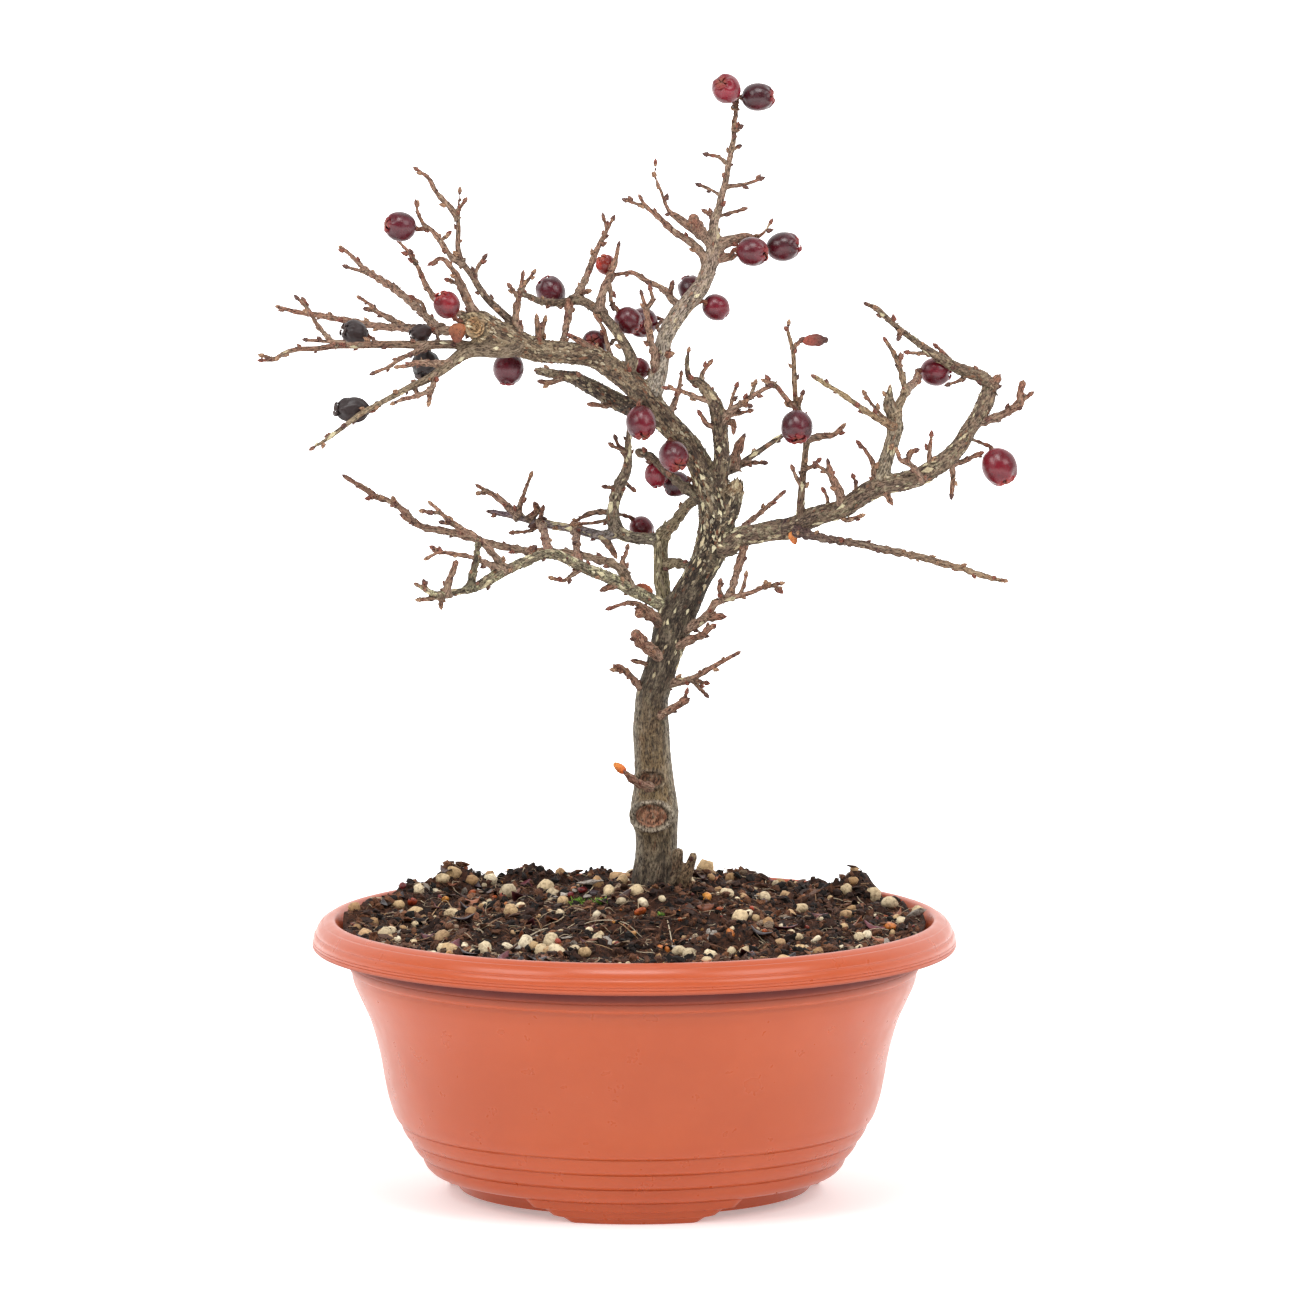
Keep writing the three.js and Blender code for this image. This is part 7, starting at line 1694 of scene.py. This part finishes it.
def berry_body(radius, stretch, dried, number):
    """The fruit's skin: the profile turned about the axis, a little lumpy, drawn in by five folds beside
    the calyx. A dried one is also sunk between ridges that run from end to end."""
    profile = curve_at(BERRY_PROFILE, np.linspace(0, 1, BERRY_RINGS))
    angle = around(BERRY_SIDES)
    out, up = profile[:, :1], profile[:, 1:]
    folds = smoothstep(0.45, 0.95, up) * smoothstep(0.1, 0.4, out) * (0.055 * np.cos(5 * angle + 2.4))
    ball = np.stack([out * np.cos(angle), out * np.sin(angle), up + 0 * angle], -1)
    lumps = 0.07 * (cloud(ball * 1.3 + number * 7.1, 2, 31) - 0.5)
    size = 1 + folds + lumps
    if dried:
        ridges = np.abs(noise(ball * np.array([2.6, 2.6, 1.2]) + number * 3.7, 33) - 0.5) * 2
        sunk = np.clip(1 - ridges * 1.3, 0, 1) * smoothstep(0.05, 0.4, out)
        size = size * (0.98 - 0.13 * sunk)
    points = ball * size[..., None] * np.array([1, 1, stretch])
    poles = np.array([[0, 0, profile[0, 1] * stretch], [0, 0, profile[-1, 1] * stretch]])
    return np.concatenate([points.reshape(-1, 3), poles]) * radius


def sepals(radius, stretch, rng):
    """Five fleshy sepals folded over the dimple, each a flat oval carried along its middle line."""
    t = np.linspace(0, 1, SEPAL_STEPS)
    rows = curve_at(SEPAL_ROWS[:, :2], t)
    wide, thick = (spread(SEPAL_ROWS[:, k], t) for k in (2, 3))
    ahead = unit(np.gradient(rows, axis=0))
    over = np.stack([-ahead[:, 1], ahead[:, 0]], -1)
    a = around(SEPAL_SIDES)
    tip = np.concatenate([np.repeat(t, SEPAL_SIDES), [0, 1]])
    shell = Shell()
    for k in range(SEPAL_COUNT):
        turn = 2 * np.pi * (k + 0.08 * rng.normal()) / SEPAL_COUNT - 0.48
        lift = 1 + 0.05 * rng.normal()
        out = rows[:, :1] + over[:, :1] * thick[:, None] * np.sin(a)
        up = (rows[:, 1:] + over[:, 1:] * thick[:, None] * np.sin(a)) * lift * stretch
        side = wide[:, None] * np.cos(a)
        x, y = out * np.cos(turn) - side * np.sin(turn), out * np.sin(turn) + side * np.cos(turn)
        points = with_poles(np.stack([x, y, up], -1)) * radius
        shell.add(points, *closed_rings(SEPAL_STEPS, SEPAL_SIDES), tip=tip)
    return shell


def berry_shell(number, row, rng):
    """One berry in its place, its long axis turned from upright to where its calyx faces. It is mottled by
    noise, redder round the calyx, and its sepals fade to tan by the square of the way to their tips."""
    seen, depth, radius, stretch, way, _, _, colour = row
    dried = colour == "black"
    points = berry_body(radius, stretch, dried, number)
    calyx = unit(np.array(way, float))
    side = unit(np.cross(calyx, [0.3, 1.0, 0.2]))
    axes = np.stack([side, np.cross(calyx, side), calyx])
    centre = placed(seen, depth)
    palette, calyx_tone = (hex_rows(tones) for tones in (BERRY_TONES[colour][0], BERRY_TONES[colour][1:]))
    tone = palette[number % len(palette)] * (1 + 0.1 * rng.normal())
    up = points[:, 2] / (radius * stretch)
    cheek = cloud(points / radius * 0.9 + number * 5.3, 2, 35)
    ripe = smoothstep(0.35, 0.75, cheek)[:, None]
    skin_tone = tone * (0.7 + 0.7 * ripe * (not dried))
    near = (smoothstep(0.84, 1.0, up) * (not dried))[:, None]
    skin_tone = skin_tone * (1 - 0.5 * near) + 0.5 * near * calyx_tone
    shell = Shell()
    offset = np.array([13.0, 7.0, 5.0]) * number
    shell.add(points @ axes + centre, *closed_rings(BERRY_RINGS, BERRY_SIDES), tone=skin_tone,
              skin=points + offset, fold=np.full(len(points), 0.9 * dried))
    leaves, quads, tris, values = sepals(radius, stretch, rng).gathered()
    tip = values["tip"][:, None]
    tan = hex_rows([SEPAL_TIP]) * (0.5 if dried else 1.0)
    leaf_tone = calyx_tone * (1 - 0.8 * tip ** 2) + tan * 0.8 * tip ** 2
    shell.add(leaves @ axes + centre, quads, tris, tone=leaf_tone, skin=leaves + offset,
              fold=np.ones(len(leaves)))
    return shell


def berry_skin():
    """Ripe skin with a natural wax: satin, clouded by a thin grey-pink bloom, dotted with pale pores."""
    material, tree = new_material("waxy_berry_skin")
    skin = put(tree, "vector", attribute_name="skin")
    tone = put(tree, "colour", attribute_name="tone")
    fold = put(tree, "number", attribute_name="fold")
    cloudy = put(tree, "noise", skin, 0.45, 4.0, 0.6)
    bare = put(tree, "subtract", 1.0, fold)
    bloom = put(tree, "multiply", put(tree, "ranged", cloudy, 0.42, 0.72, 0.0, 0.05), bare)
    body = put(tree, "mixed", bloom, tone, "#A08090")
    blotch = put(tree, "ranged", put(tree, "noise", skin, 0.9, 3.0), 0.55, 0.7, 0.0, 0.5)
    body = put(tree, "mixed", blotch, body, put(tree, "deepened", body, "#9A8088"))
    cells = put(tree, "cells", skin, 1.15)
    dot = put(tree, "ranged", cells, 0.16, 0.09)
    dot = put(tree, "multiply", put(tree, "multiply", dot, bare), 0.3)
    body = put(tree, "mixed", dot, body, "#A87870")
    gloss = put(tree, "ranged", cloudy, 0.35, 0.7, 0.22, 0.34)
    gloss = put(tree, "add", gloss, put(tree, "multiply", fold, 0.25))
    relief = put(tree, "noise", skin, 2.2, 3.0)
    relief = put(tree, "subtract", relief, put(tree, "multiply", dot, 0.5))
    normal = put(tree, "bumped", relief, 0.00012, 0.5)
    return finish_material(material, tree, Base_Color=body, Roughness=gloss, IOR=1.45, Normal=normal,
                           Subsurface_Weight=0.04, Subsurface_Radius=(0.002, 0.0006, 0.0004),
                           Coat_Weight=0.1, Coat_Roughness=0.15)


# Dry bits

def set_out(points, row):
    """A dry piece's points in place: its long axis slopes up and is then turned about the upright."""
    seen, depth, slope, turn = row[1], row[2], np.radians(row[4]), np.radians(row[5])
    spin = np.array([[np.cos(turn), np.sin(turn), 0], [-np.sin(turn), np.cos(turn), 0], [0, 0, 1]])
    axes = np.array([[np.cos(slope), 0, np.sin(slope)], [0, 1, 0], [-np.sin(slope), 0, np.cos(slope)]])
    return points @ axes @ spin + placed(seen, depth)


def dry_leaf_points(along, across, number):
    """A dead leaf: its width grows and falls along the midrib, its sides fold up, and its edges are wavy.
    Both faces are one closed surface a fifth of a millimetre apart."""
    t = np.linspace(-1, 1, 29)[:, None]
    a = around(30)
    width = (1 - t ** 2) ** 0.55 * (1 + 0.25 * t) + 0.03
    across_at = np.cos(a) * width * (1 + 0.06 * np.sin(17 * t))
    wave = 0.12 * across * np.sin(5 * t + number) * np.abs(np.cos(a)) * width
    fold = 0.45 * across * (across_at ** 2) - 0.25 * across * t ** 2
    vein = 0.05 * np.cos(14 * (t - 0.6 * np.abs(np.cos(a))))
    y = 0.1 * np.sin(a) + fold + wave + vein - 0.1 * across
    x = along * (t + 0 * a)
    rings = np.stack([x, y, across * across_at], -1)
    return rings


def husk_points(along, across, through):
    """A shrivelled fruit: a long egg, sunk between five crooked ribs and pinched before its dry calyx."""
    t = np.linspace(-1, 1, 40)[:, None]
    a = around(36)
    width = np.sqrt(np.clip(1 - t ** 2, 0, 1)) * (1 - 0.28 * np.exp(-((t - 0.68) / 0.14) ** 2)) + 0.02
    ribs = 1 - 0.14 * np.abs(np.sin(2.5 * a + 1.3 * t + 0.4 * np.sin(3 * t)))
    x = along * (t + 0 * a)
    ball = np.stack([x, across * width * np.cos(a), through * width * np.sin(a)], -1)
    ribs = ribs * (1 + 0.16 * (cloud(ball / 0.9, 2, 41) - 0.5))
    return np.stack([x, through * width * ribs * np.sin(a), across * width * ribs * np.cos(a)], -1)


def bud_points(along, across, through):
    """A fat bud: an egg whose surface steps out and in where each scale overlaps the next."""
    t = np.linspace(-1, 1, 60)[:, None]
    a = around(40)
    width = (np.clip(1 - t ** 2, 0, 1)) ** 0.5 * (1 - 0.22 * t) + 0.02
    row = (t + 1) * 2.4 + 0.55 * np.abs(np.sin(1.5 * a))
    step = row - np.floor(row)
    scales = 1 + 0.13 * step - 0.05
    x = along * (t + 0 * a)
    return np.stack([x, through * width * scales * np.sin(a), across * width * scales * np.cos(a)], -1)


def dry_shell(number, row):
    """One dry piece in its place. Its tone runs from its root's to its tip's, mottled by noise."""
    name, halves, tones = row[0], row[3], row[6]
    if name == "trunk_bud":
        rings = bud_points(*halves)
    elif name == "dry_husk":
        rings = husk_points(*halves)
    else:
        rings = dry_leaf_points(*halves, number)
    points = with_poles(rings)
    root, tip = hex_rows(tones)
    t = smoothstep(-1.0, 1.0, points[:, :1] / halves[0])
    tone = root * (1 - t) + tip * t
    tone = tone * (0.75 + 0.5 * cloud(points / 0.8 + number, 3, 43)[:, None])
    shell = Shell()
    shell.add(set_out(points, row), *closed_rings(*rings.shape[:2]), tone=tone)
    return shell


def dry_skin():
    """Dead leaf and bud scale: thin and papery, blotched, a little glossy, with paler worn high places."""
    material, tree = new_material("dry_leaf_skin")
    place = put(tree, "place")
    tone = put(tree, "colour", attribute_name="tone")
    blotch = put(tree, "noise", place, 1300.0, 4.0, 0.65)
    dark = put(tree, "deepened", tone, "#7A6050")
    body = put(tree, "mixed", put(tree, "ranged", blotch, 0.5, 0.7, 0.0, 0.8), tone, dark)
    fine = put(tree, "noise", place, 4200.0, 2.0)
    body = put(tree, "mixed", put(tree, "ranged", fine, 0.6, 0.72, 0.0, 0.4), body, "#D8B080")
    gloss = put(tree, "ranged", blotch, 0.3, 0.7, 0.4, 0.62)
    normal = put(tree, "bumped", put(tree, "add", blotch, fine), 0.00012, 0.6)
    return finish_material(material, tree, Base_Color=body, Roughness=gloss, IOR=1.45, Normal=normal,
                           Subsurface_Weight=0.05, Subsurface_Radius=(0.001, 0.0005, 0.0003))


# Bark and buds

def bark():
    """Bark as it grew: fine grain along each limb, black cracks, pale worn ridges and flakes, and crusts of
    lichen. Young wood is smoother and has a thin silvery skin that splits over red-brown."""
    material, tree = new_material("cotoneaster_bark")
    grain = put(tree, "vector", attribute_name="grain")
    tone = put(tree, "colour", attribute_name="tone")
    crack, flake, age, lichen = (put(tree, "number", attribute_name=name)
                                 for name in ("crack", "flake", "age", "lichen"))
    streak, stipple, patch, skin, rust = (
        put(tree, "noise", put(tree, "stretched", grain, scale), 1.0, detail, roughness)
        for scale, detail, roughness in (
            ((2.6, 2.6, 0.7), 5.0, 0.68), ((3.4, 3.4, 2.2), 4.0, 0.7), ((0.36, 0.36, 0.15), 4.0, 0.65),
            ((0.9, 0.9, 0.22), 4.0, 0.6), ((0.7, 0.7, 0.25), 3.0, 0.6),
        )
    )
    dark = put(tree, "deepened", tone, "#5C5048")
    body = put(tree, "mixed", put(tree, "ranged", streak, 0.56, 0.4), tone, dark)
    old = put(tree, "ranged", age, 0.7, 0.95)
    peeled = put(tree, "multiply", put(tree, "ranged", patch, 0.53, 0.6, 0.0, 0.6), old)
    body = put(tree, "mixed", peeled, body, "#A08C70")
    pale = put(tree, "mixed", put(tree, "ranged", streak, 0.56, 0.74, 0.0, 0.5), body, "#B0A08A")
    young = put(tree, "subtract", 1.0, age, use_clamp=True)
    split_skin = put(tree, "multiply", put(tree, "ranged", skin, 0.55, 0.62, 0.0, 0.55), young)
    silver = put(tree, "mixed", split_skin, pale, "#9E8E7A")
    worn = put(tree, "multiply", flake, put(tree, "ranged", stipple, 0.42, 0.62, 0.1, 0.85))
    worn = put(tree, "multiply", put(tree, "multiply", worn, age), 0.62)
    flaked = put(tree, "mixed", worn, silver, "#A8977C")
    rusty = put(tree, "mixed", put(tree, "ranged", rust, 0.6, 0.72, 0.0, 0.45), flaked, "#6E3C22")
    crust = put(tree, "ranged", put(tree, "noise", grain, 0.42, 5.0, 0.7), 0.52, 0.6)
    crust = put(tree, "multiply", crust, put(tree, "ranged", stipple, 0.35, 0.55))
    green = put(tree, "mixed", put(tree, "ranged", stipple, 0.42, 0.6), "#928E68", "#CCC69E")
    grown = put(tree, "mixed", put(tree, "multiply", crust, lichen), rusty, green)
    black = put(tree, "ranged", stipple, 0.42, 0.32, 0.0, 0.55)
    dotted = put(tree, "mixed", black, grown, "#1E1613")
    split = put(tree, "mixed", put(tree, "multiply", crack, 0.82), dotted, "#180F0B")
    gloss = put(tree, "ranged", streak, 0.3, 0.7, 0.62, 0.88)
    relief = put(tree, "add", streak, put(tree, "multiply", stipple, 0.6))
    normal = put(tree, "bumped", relief, 0.00022, 0.75)
    return finish_material(material, tree, Base_Color=split, Roughness=gloss, IOR=1.45, Normal=normal,
                           Specular_IOR_Level=0.3)


def bud_skin():
    """Small winter buds: dark red-brown scales with paler dry edges and a short soft down."""
    material, tree = new_material("winter_bud_scales")
    place = put(tree, "place")
    tone = put(tree, "colour", attribute_name="tone")
    fine = put(tree, "noise", place, 2600.0, 3.0)
    dark = put(tree, "deepened", tone, "#6A5850")
    body = put(tree, "mixed", put(tree, "ranged", fine, 0.55, 0.4), tone, dark)
    body = put(tree, "mixed", put(tree, "ranged", fine, 0.6, 0.72, 0.0, 0.6), body, "#B08A70")
    normal = put(tree, "bumped", fine, 0.00012, 0.7)
    return finish_material(material, tree, Base_Color=body, Roughness=0.62, IOR=1.45, Normal=normal)


# Stage

# Half the floor's width in metres
FLOOR_HALF = 15.0
# The camera's sensor and lens in millimetres, how far it sees in metres and how many degrees it looks down
SENSOR_WIDTH = 36.0
LENS = 262.55
FAR_CLIP = 60.0
LOOK_DOWN = 6.98


def soft_light(name, place, target, size, power):
    """A square softbox at a place in metres, facing a target."""
    light = bpy.data.lights.new(name, "AREA")
    light.shape = "SQUARE"
    light.size = size
    light.energy = power
    made = bpy.data.objects.new(name, light)
    made.location = place
    made.rotation_euler = (Vector(target) - Vector(place)).to_track_quat("-Z", "Y").to_euler()
    bpy.context.scene.collection.objects.link(made)


def pale_floor(glow):
    """A level white sheet, wide enough to fill the view behind the object, and lit up away from it."""
    corners = FLOOR_HALF * np.array([[-1, -1, 0], [1, -1, 0], [1, 1, 0], [-1, 1, 0]])
    floor = write_mesh("floor", corners / MM - SHIFT, np.array([[0, 1, 2, 3]]))
    piece = bpy.data.objects.new("floor", floor)
    bpy.context.scene.collection.objects.link(piece)
    material, tree = new_material("white_sheet")
    place = put(tree, "place")
    tint = put(tree, "ranged", put(tree, "noise", place, 3.0), 0.3, 0.7)
    body = put(tree, "mixed", tint, "#F4F4F4", "#F8F8F8")
    away = put(tree, "length", place)
    far = put(tree, "ranged", away, 0.15, 1.6, 0.2 * glow, glow)
    floor.materials.append(finish_material(material, tree, Base_Color=body, Roughness=0.7, IOR=1.45,
                                            Emission_Color="#FFFFFF", Emission_Strength=far))


def photo_camera():
    """The camera, about three metres before the bowl and looking seven degrees down."""
    camera = bpy.data.cameras.new("camera")
    camera.sensor_width = SENSOR_WIDTH
    camera.lens = LENS
    camera.clip_end = FAR_CLIP
    made = bpy.data.objects.new("camera", camera)
    made.location = (VIEW_POINT + SHIFT) * MM
    made.rotation_euler = (np.radians(90 - LOOK_DOWN), 0.0, 0.0)
    bpy.context.scene.collection.objects.link(made)
    bpy.context.scene.camera = made


def even_light(front, back):
    """Soft light from all round, as in a white tent, stronger behind the object than in front of it."""
    world = bpy.data.worlds.new("even_light")
    world.use_nodes = True
    tree = world.node_tree
    behind = put(tree, "y", put(tree, "way"))
    strength = put(tree, "ranged", behind, -0.3, 0.6, front, back)
    background = tree.nodes["Background"]
    background.inputs["Color"].default_value = hex_linear("#FFFFFF")
    tree.links.new(strength, background.inputs["Strength"])
    bpy.context.scene.world = world


# Settings, kept with the scene so that they can be changed in the sidebar

def tint(name, description, colour):
    """A colour property with an sRGB hex default."""
    return FloatVectorProperty(name=name, description=description, subtype="COLOR", size=4, min=0, max=1,
                               default=hex_linear(colour))


class WoodSettings(bpy.types.PropertyGroup):
    voxel: FloatProperty(name="Voxel", description="Grain of the joined wood in millimetres",
                         default=0.55, min=0.3)
    twig_sides: IntProperty(name="Twig sides", description="Sides of a thin twig", default=10, min=5)
    scales: IntProperty(name="Scales", description="Loose scales on the old bark", default=5200, min=0)
    pitch: FloatProperty(name="Pitch", description="Millimetres of twig for each loose scale",
                         default=0.6, min=0.1)
    dashes: IntProperty(name="Dashes", description="Long pale scales on the wood", default=620, min=0)
    seed: IntProperty(name="Seed", description="Changes the scatter of the buds and scales", default=4)


class SoilSettings(bpy.types.PropertyGroup):
    crumbs: IntProperty(name="Crumbs", description="Clods of peat", default=5200, min=0)
    stones: IntProperty(name="Stones", description="Grains of pumice", default=190, min=0)
    chips: IntProperty(name="Chips", description="Bits of bark", default=700, min=0)
    seeds: IntProperty(name="Seeds", description="Seeds and dry husks", default=130, min=0)
    leaves: IntProperty(name="Leaves", description="Small dead leaves", default=90, min=0)
    fibres: IntProperty(name="Fibres", description="Fine roots and threads of peat", default=4500, min=0)
    moss: IntProperty(name="Moss", description="Leaves of moss", default=300, min=0)
    seed: IntProperty(name="Seed", description="Changes how the litter lies", default=11)
    dark: tint("Dark", "Colour of wet peat", "#150D0A")
    light: tint("Light", "Colour of dry peat", "#4C2E20")


class BowlSettings(bpy.types.PropertyGroup):
    sides: IntProperty(name="Sides", description="Sides of the turned bowl", default=260, min=48)
    body: tint("Body", "Colour of the wall and feet", "#B44F23")
    rim: tint("Rim", "Colour of the rolled rim", "#B4502C")


class BerrySettings(bpy.types.PropertyGroup):
    seed: IntProperty(name="Seed", description="Changes each berry's shade and its sepals", default=5)


class StageSettings(bpy.types.PropertyGroup):
    front: FloatProperty(name="Front", description="Strength of even light in front", default=0.3, min=0)
    back: FloatProperty(name="Back", description="Strength of even light behind", default=1.5, min=0)
    glow: FloatProperty(name="Glow", description="Light that the white floor gives off", default=1.6, min=0)
    sides: FloatProperty(name="Sides", description="Watts of each side softbox", default=17.0, min=0)
    top: FloatProperty(name="Top", description="Watts of the overhead softbox", default=15.0, min=0)


class BonsaiSettings(bpy.types.PropertyGroup):
    wood: PointerProperty(type=WoodSettings)
    soil: PointerProperty(type=SoilSettings)
    bowl: PointerProperty(type=BowlSettings)
    berries: PointerProperty(type=BerrySettings)
    stage: PointerProperty(type=StageSettings)


# Operators

class BONSAI_OT_bowl(bpy.types.Operator):
    """Build the moulded bowl on its three stepped feet"""
    bl_idname = "bonsai.bowl"
    bl_label = "Build Bowl"

    def execute(self, context):
        settings = context.scene.bonsai.bowl
        finish = moulded_plastic(settings.body, settings.rim)
        add_piece("moulded_bowl", bowl_mesh(settings.sides), finish, ["pot"])
        return {"FINISHED"}


class BONSAI_OT_soil(bpy.types.Operator):
    """Build the bed of peat and strew its crumbs, stones, chips, threads and moss"""
    bl_idname = "bonsai.soil"
    bl_label = "Build Soil"

    def execute(self, context):
        settings = context.scene.bonsai.soil
        rng = np.random.default_rng(settings.seed)
        finish = peat(settings.dark, settings.light)
        add_piece("peat_bed", write_mesh("peat_bed", *soil_bed()), finish, ["soil"])
        for name, count, finish, smooth in (
            ("peat_crumbs", settings.crumbs, litter("peat_crumb", 0.9, 1500.0, 0.0005, 0.8), False),
            ("pumice_grains", settings.stones, litter("pumice", 0.8, 900.0, 0.0003, 0.45), True),
            ("bark_chips", settings.chips, litter("bark_chip", 0.75, 1300.0, 0.0003, 0.7), False),
            ("seeds_and_husks", settings.seeds, litter("dry_seed_skin", 0.38, 900.0, 0.0002, 0.7), True),
            ("fallen_leaves", settings.leaves, litter("leathery_leaf", 0.42, 700.0, 0.0002, 0.6), True),
        ):
            mesh = write_mesh(name, *loose(rng, name, count), smooth)
            add_piece(name, mesh, finish)
        thread = litter("root_thread", 0.7, 2600.0, 0.0001, 0.5)
        for name, made, finish in (
            ("root_threads", fibres(rng, settings.fibres), thread),
            ("root_hairs", root_hairs(rng), thread),
            ("moss_tuft", moss(rng, settings.moss), litter("moss_leaf", 0.6, 2600.0, 0.0001, 0.3)),
        ):
            add_piece(name, write_mesh(name, *made), finish)
        return {"FINISHED"}


class BONSAI_OT_tree(bpy.types.Operator):
    """Grow the wood with its bark, its thin twigs, spurs and stalks, and its winter buds"""
    bl_idname = "bonsai.tree"
    bl_label = "Grow Tree"

    def execute(self, context):
        settings = context.scene.bonsai.wood
        rng = np.random.default_rng(settings.seed)
        limbs, spurs, stalks = all_limbs()
        finish = bark()
        thick = [limb for limb in limbs if max(limb[2]) >= THICK_RADIUS]
        thin = [limb for limb in limbs if max(limb[2]) < THICK_RADIUS]
        points, quads, values, normals, along = thick_wood(thick, settings.voxel)
        wood = write_mesh("old_wood", points, quads, values=values)
        add_piece("old_wood", wood, finish, ["tree"])
        for name, group in (("twigs", thin), ("spurs", spurs), ("berry_stalks", stalks)):
            shell = Shell()
            for number, limb in enumerate(group):
                limb_shell(shell, *limb, settings.twig_sides, number + 1)
            add_shell(name, shell, finish)
        scales = litter("bark_scale", 0.8, 2200.0, 0.0002, 0.5)
        for name, made in (
            ("old_bark_scales", old_flakes(rng, settings.scales, points, normals, along, values)),
            ("young_bark_scales", young_flakes(rng, settings.pitch, thin + spurs)),
            ("pale_bark_dashes", pale_dashes(rng, settings.dashes, points, normals, along)),
        ):
            add_piece(name, write_mesh(name, *made, smooth=False), scales)
        mesh = write_mesh("winter_buds", *buds(limbs + spurs, rng))
        add_piece("winter_buds", mesh, bud_skin())
        return {"FINISHED"}


class BONSAI_OT_berries(bpy.types.Operator):
    """Build the berries with their sepals, one piece for each"""
    bl_idname = "bonsai.berries"
    bl_label = "Build Berries"

    def execute(self, context):
        rng = np.random.default_rng(context.scene.bonsai.berries.seed)
        skin = berry_skin()
        for number, row in enumerate(BERRIES, 1):
            node = f"berry_{number:02d}"
            add_shell(f"ripe_{node}", berry_shell(number, row, rng), skin, [node])
        return {"FINISHED"}


class BONSAI_OT_dry_bits(bpy.types.Operator):
    """Build the fat bud, the dead leaves caught in the branches and the shrivelled husk"""
    bl_idname = "bonsai.dry_bits"
    bl_label = "Build Dry Bits"

    def execute(self, context):
        skin = dry_skin()
        for number, row in enumerate(DRY_PIECES):
            add_shell(f"dry_{row[0]}", dry_shell(number, row), skin, [row[0]])
        return {"FINISHED"}


class BONSAI_OT_stage(bpy.types.Operator):
    """Lay the pale floor, hang the softboxes and set up the camera"""
    bl_idname = "bonsai.stage"
    bl_label = "Set Stage"

    def execute(self, context):
        settings = context.scene.bonsai.stage
        pale_floor(settings.glow)
        photo_camera()
        middle = (0.0, 0.0, 0.16)
        soft_light("left_softbox", (-1.4, -1.1, 1.5), middle, 1.0, settings.sides)
        soft_light("right_softbox", (1.4, -1.1, 1.5), middle, 1.0, settings.sides)
        soft_light("top_softbox", (-0.05, -0.8, 1.8), middle, 0.7, settings.top)
        even_light(settings.front, settings.back)
        context.scene.view_settings.view_transform = "Standard"
        return {"FINISHED"}


class BONSAI_PT_panel(bpy.types.Panel):
    """The bonsai's settings and build steps"""
    bl_idname = "BONSAI_PT_panel"
    bl_label = "Cotoneaster Bonsai"
    bl_space_type = "VIEW_3D"
    bl_region_type = "UI"
    bl_category = "Bonsai"

    def draw(self, context):
        settings = context.scene.bonsai
        for group, step in (("bowl", "bonsai.bowl"), ("soil", "bonsai.soil"), ("wood", "bonsai.tree"),
                            ("berries", "bonsai.berries"), ("stage", "bonsai.stage")):
            box = self.layout.box()
            part = getattr(settings, group)
            for name in part.bl_rna.properties.keys():
                if name not in ("rna_type", "name"):
                    box.prop(part, name)
            box.operator(step)
        self.layout.operator("bonsai.dry_bits")


SETTINGS = (WoodSettings, SoilSettings, BowlSettings, BerrySettings, StageSettings, BonsaiSettings)
OPERATORS = (BONSAI_OT_bowl, BONSAI_OT_soil, BONSAI_OT_tree, BONSAI_OT_berries, BONSAI_OT_dry_bits,
             BONSAI_OT_stage)


def register():
    """Registers the settings, the operators and the panel."""
    for made in (*SETTINGS, *OPERATORS, BONSAI_PT_panel):
        bpy.utils.register_class(made)
    bpy.types.Scene.bonsai = PointerProperty(type=BonsaiSettings)


def unregister():
    """Takes away all that register adds, the last first."""
    del bpy.types.Scene.bonsai
    for made in reversed((*SETTINGS, *OPERATORS, BONSAI_PT_panel)):
        bpy.utils.unregister_class(made)


def main():
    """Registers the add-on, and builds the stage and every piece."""
    register()
    bpy.ops.bonsai.stage()
    bpy.ops.bonsai.bowl()
    bpy.ops.bonsai.soil()
    bpy.ops.bonsai.tree()
    bpy.ops.bonsai.berries()
    bpy.ops.bonsai.dry_bits()


if __name__ == "__main__":
    main()
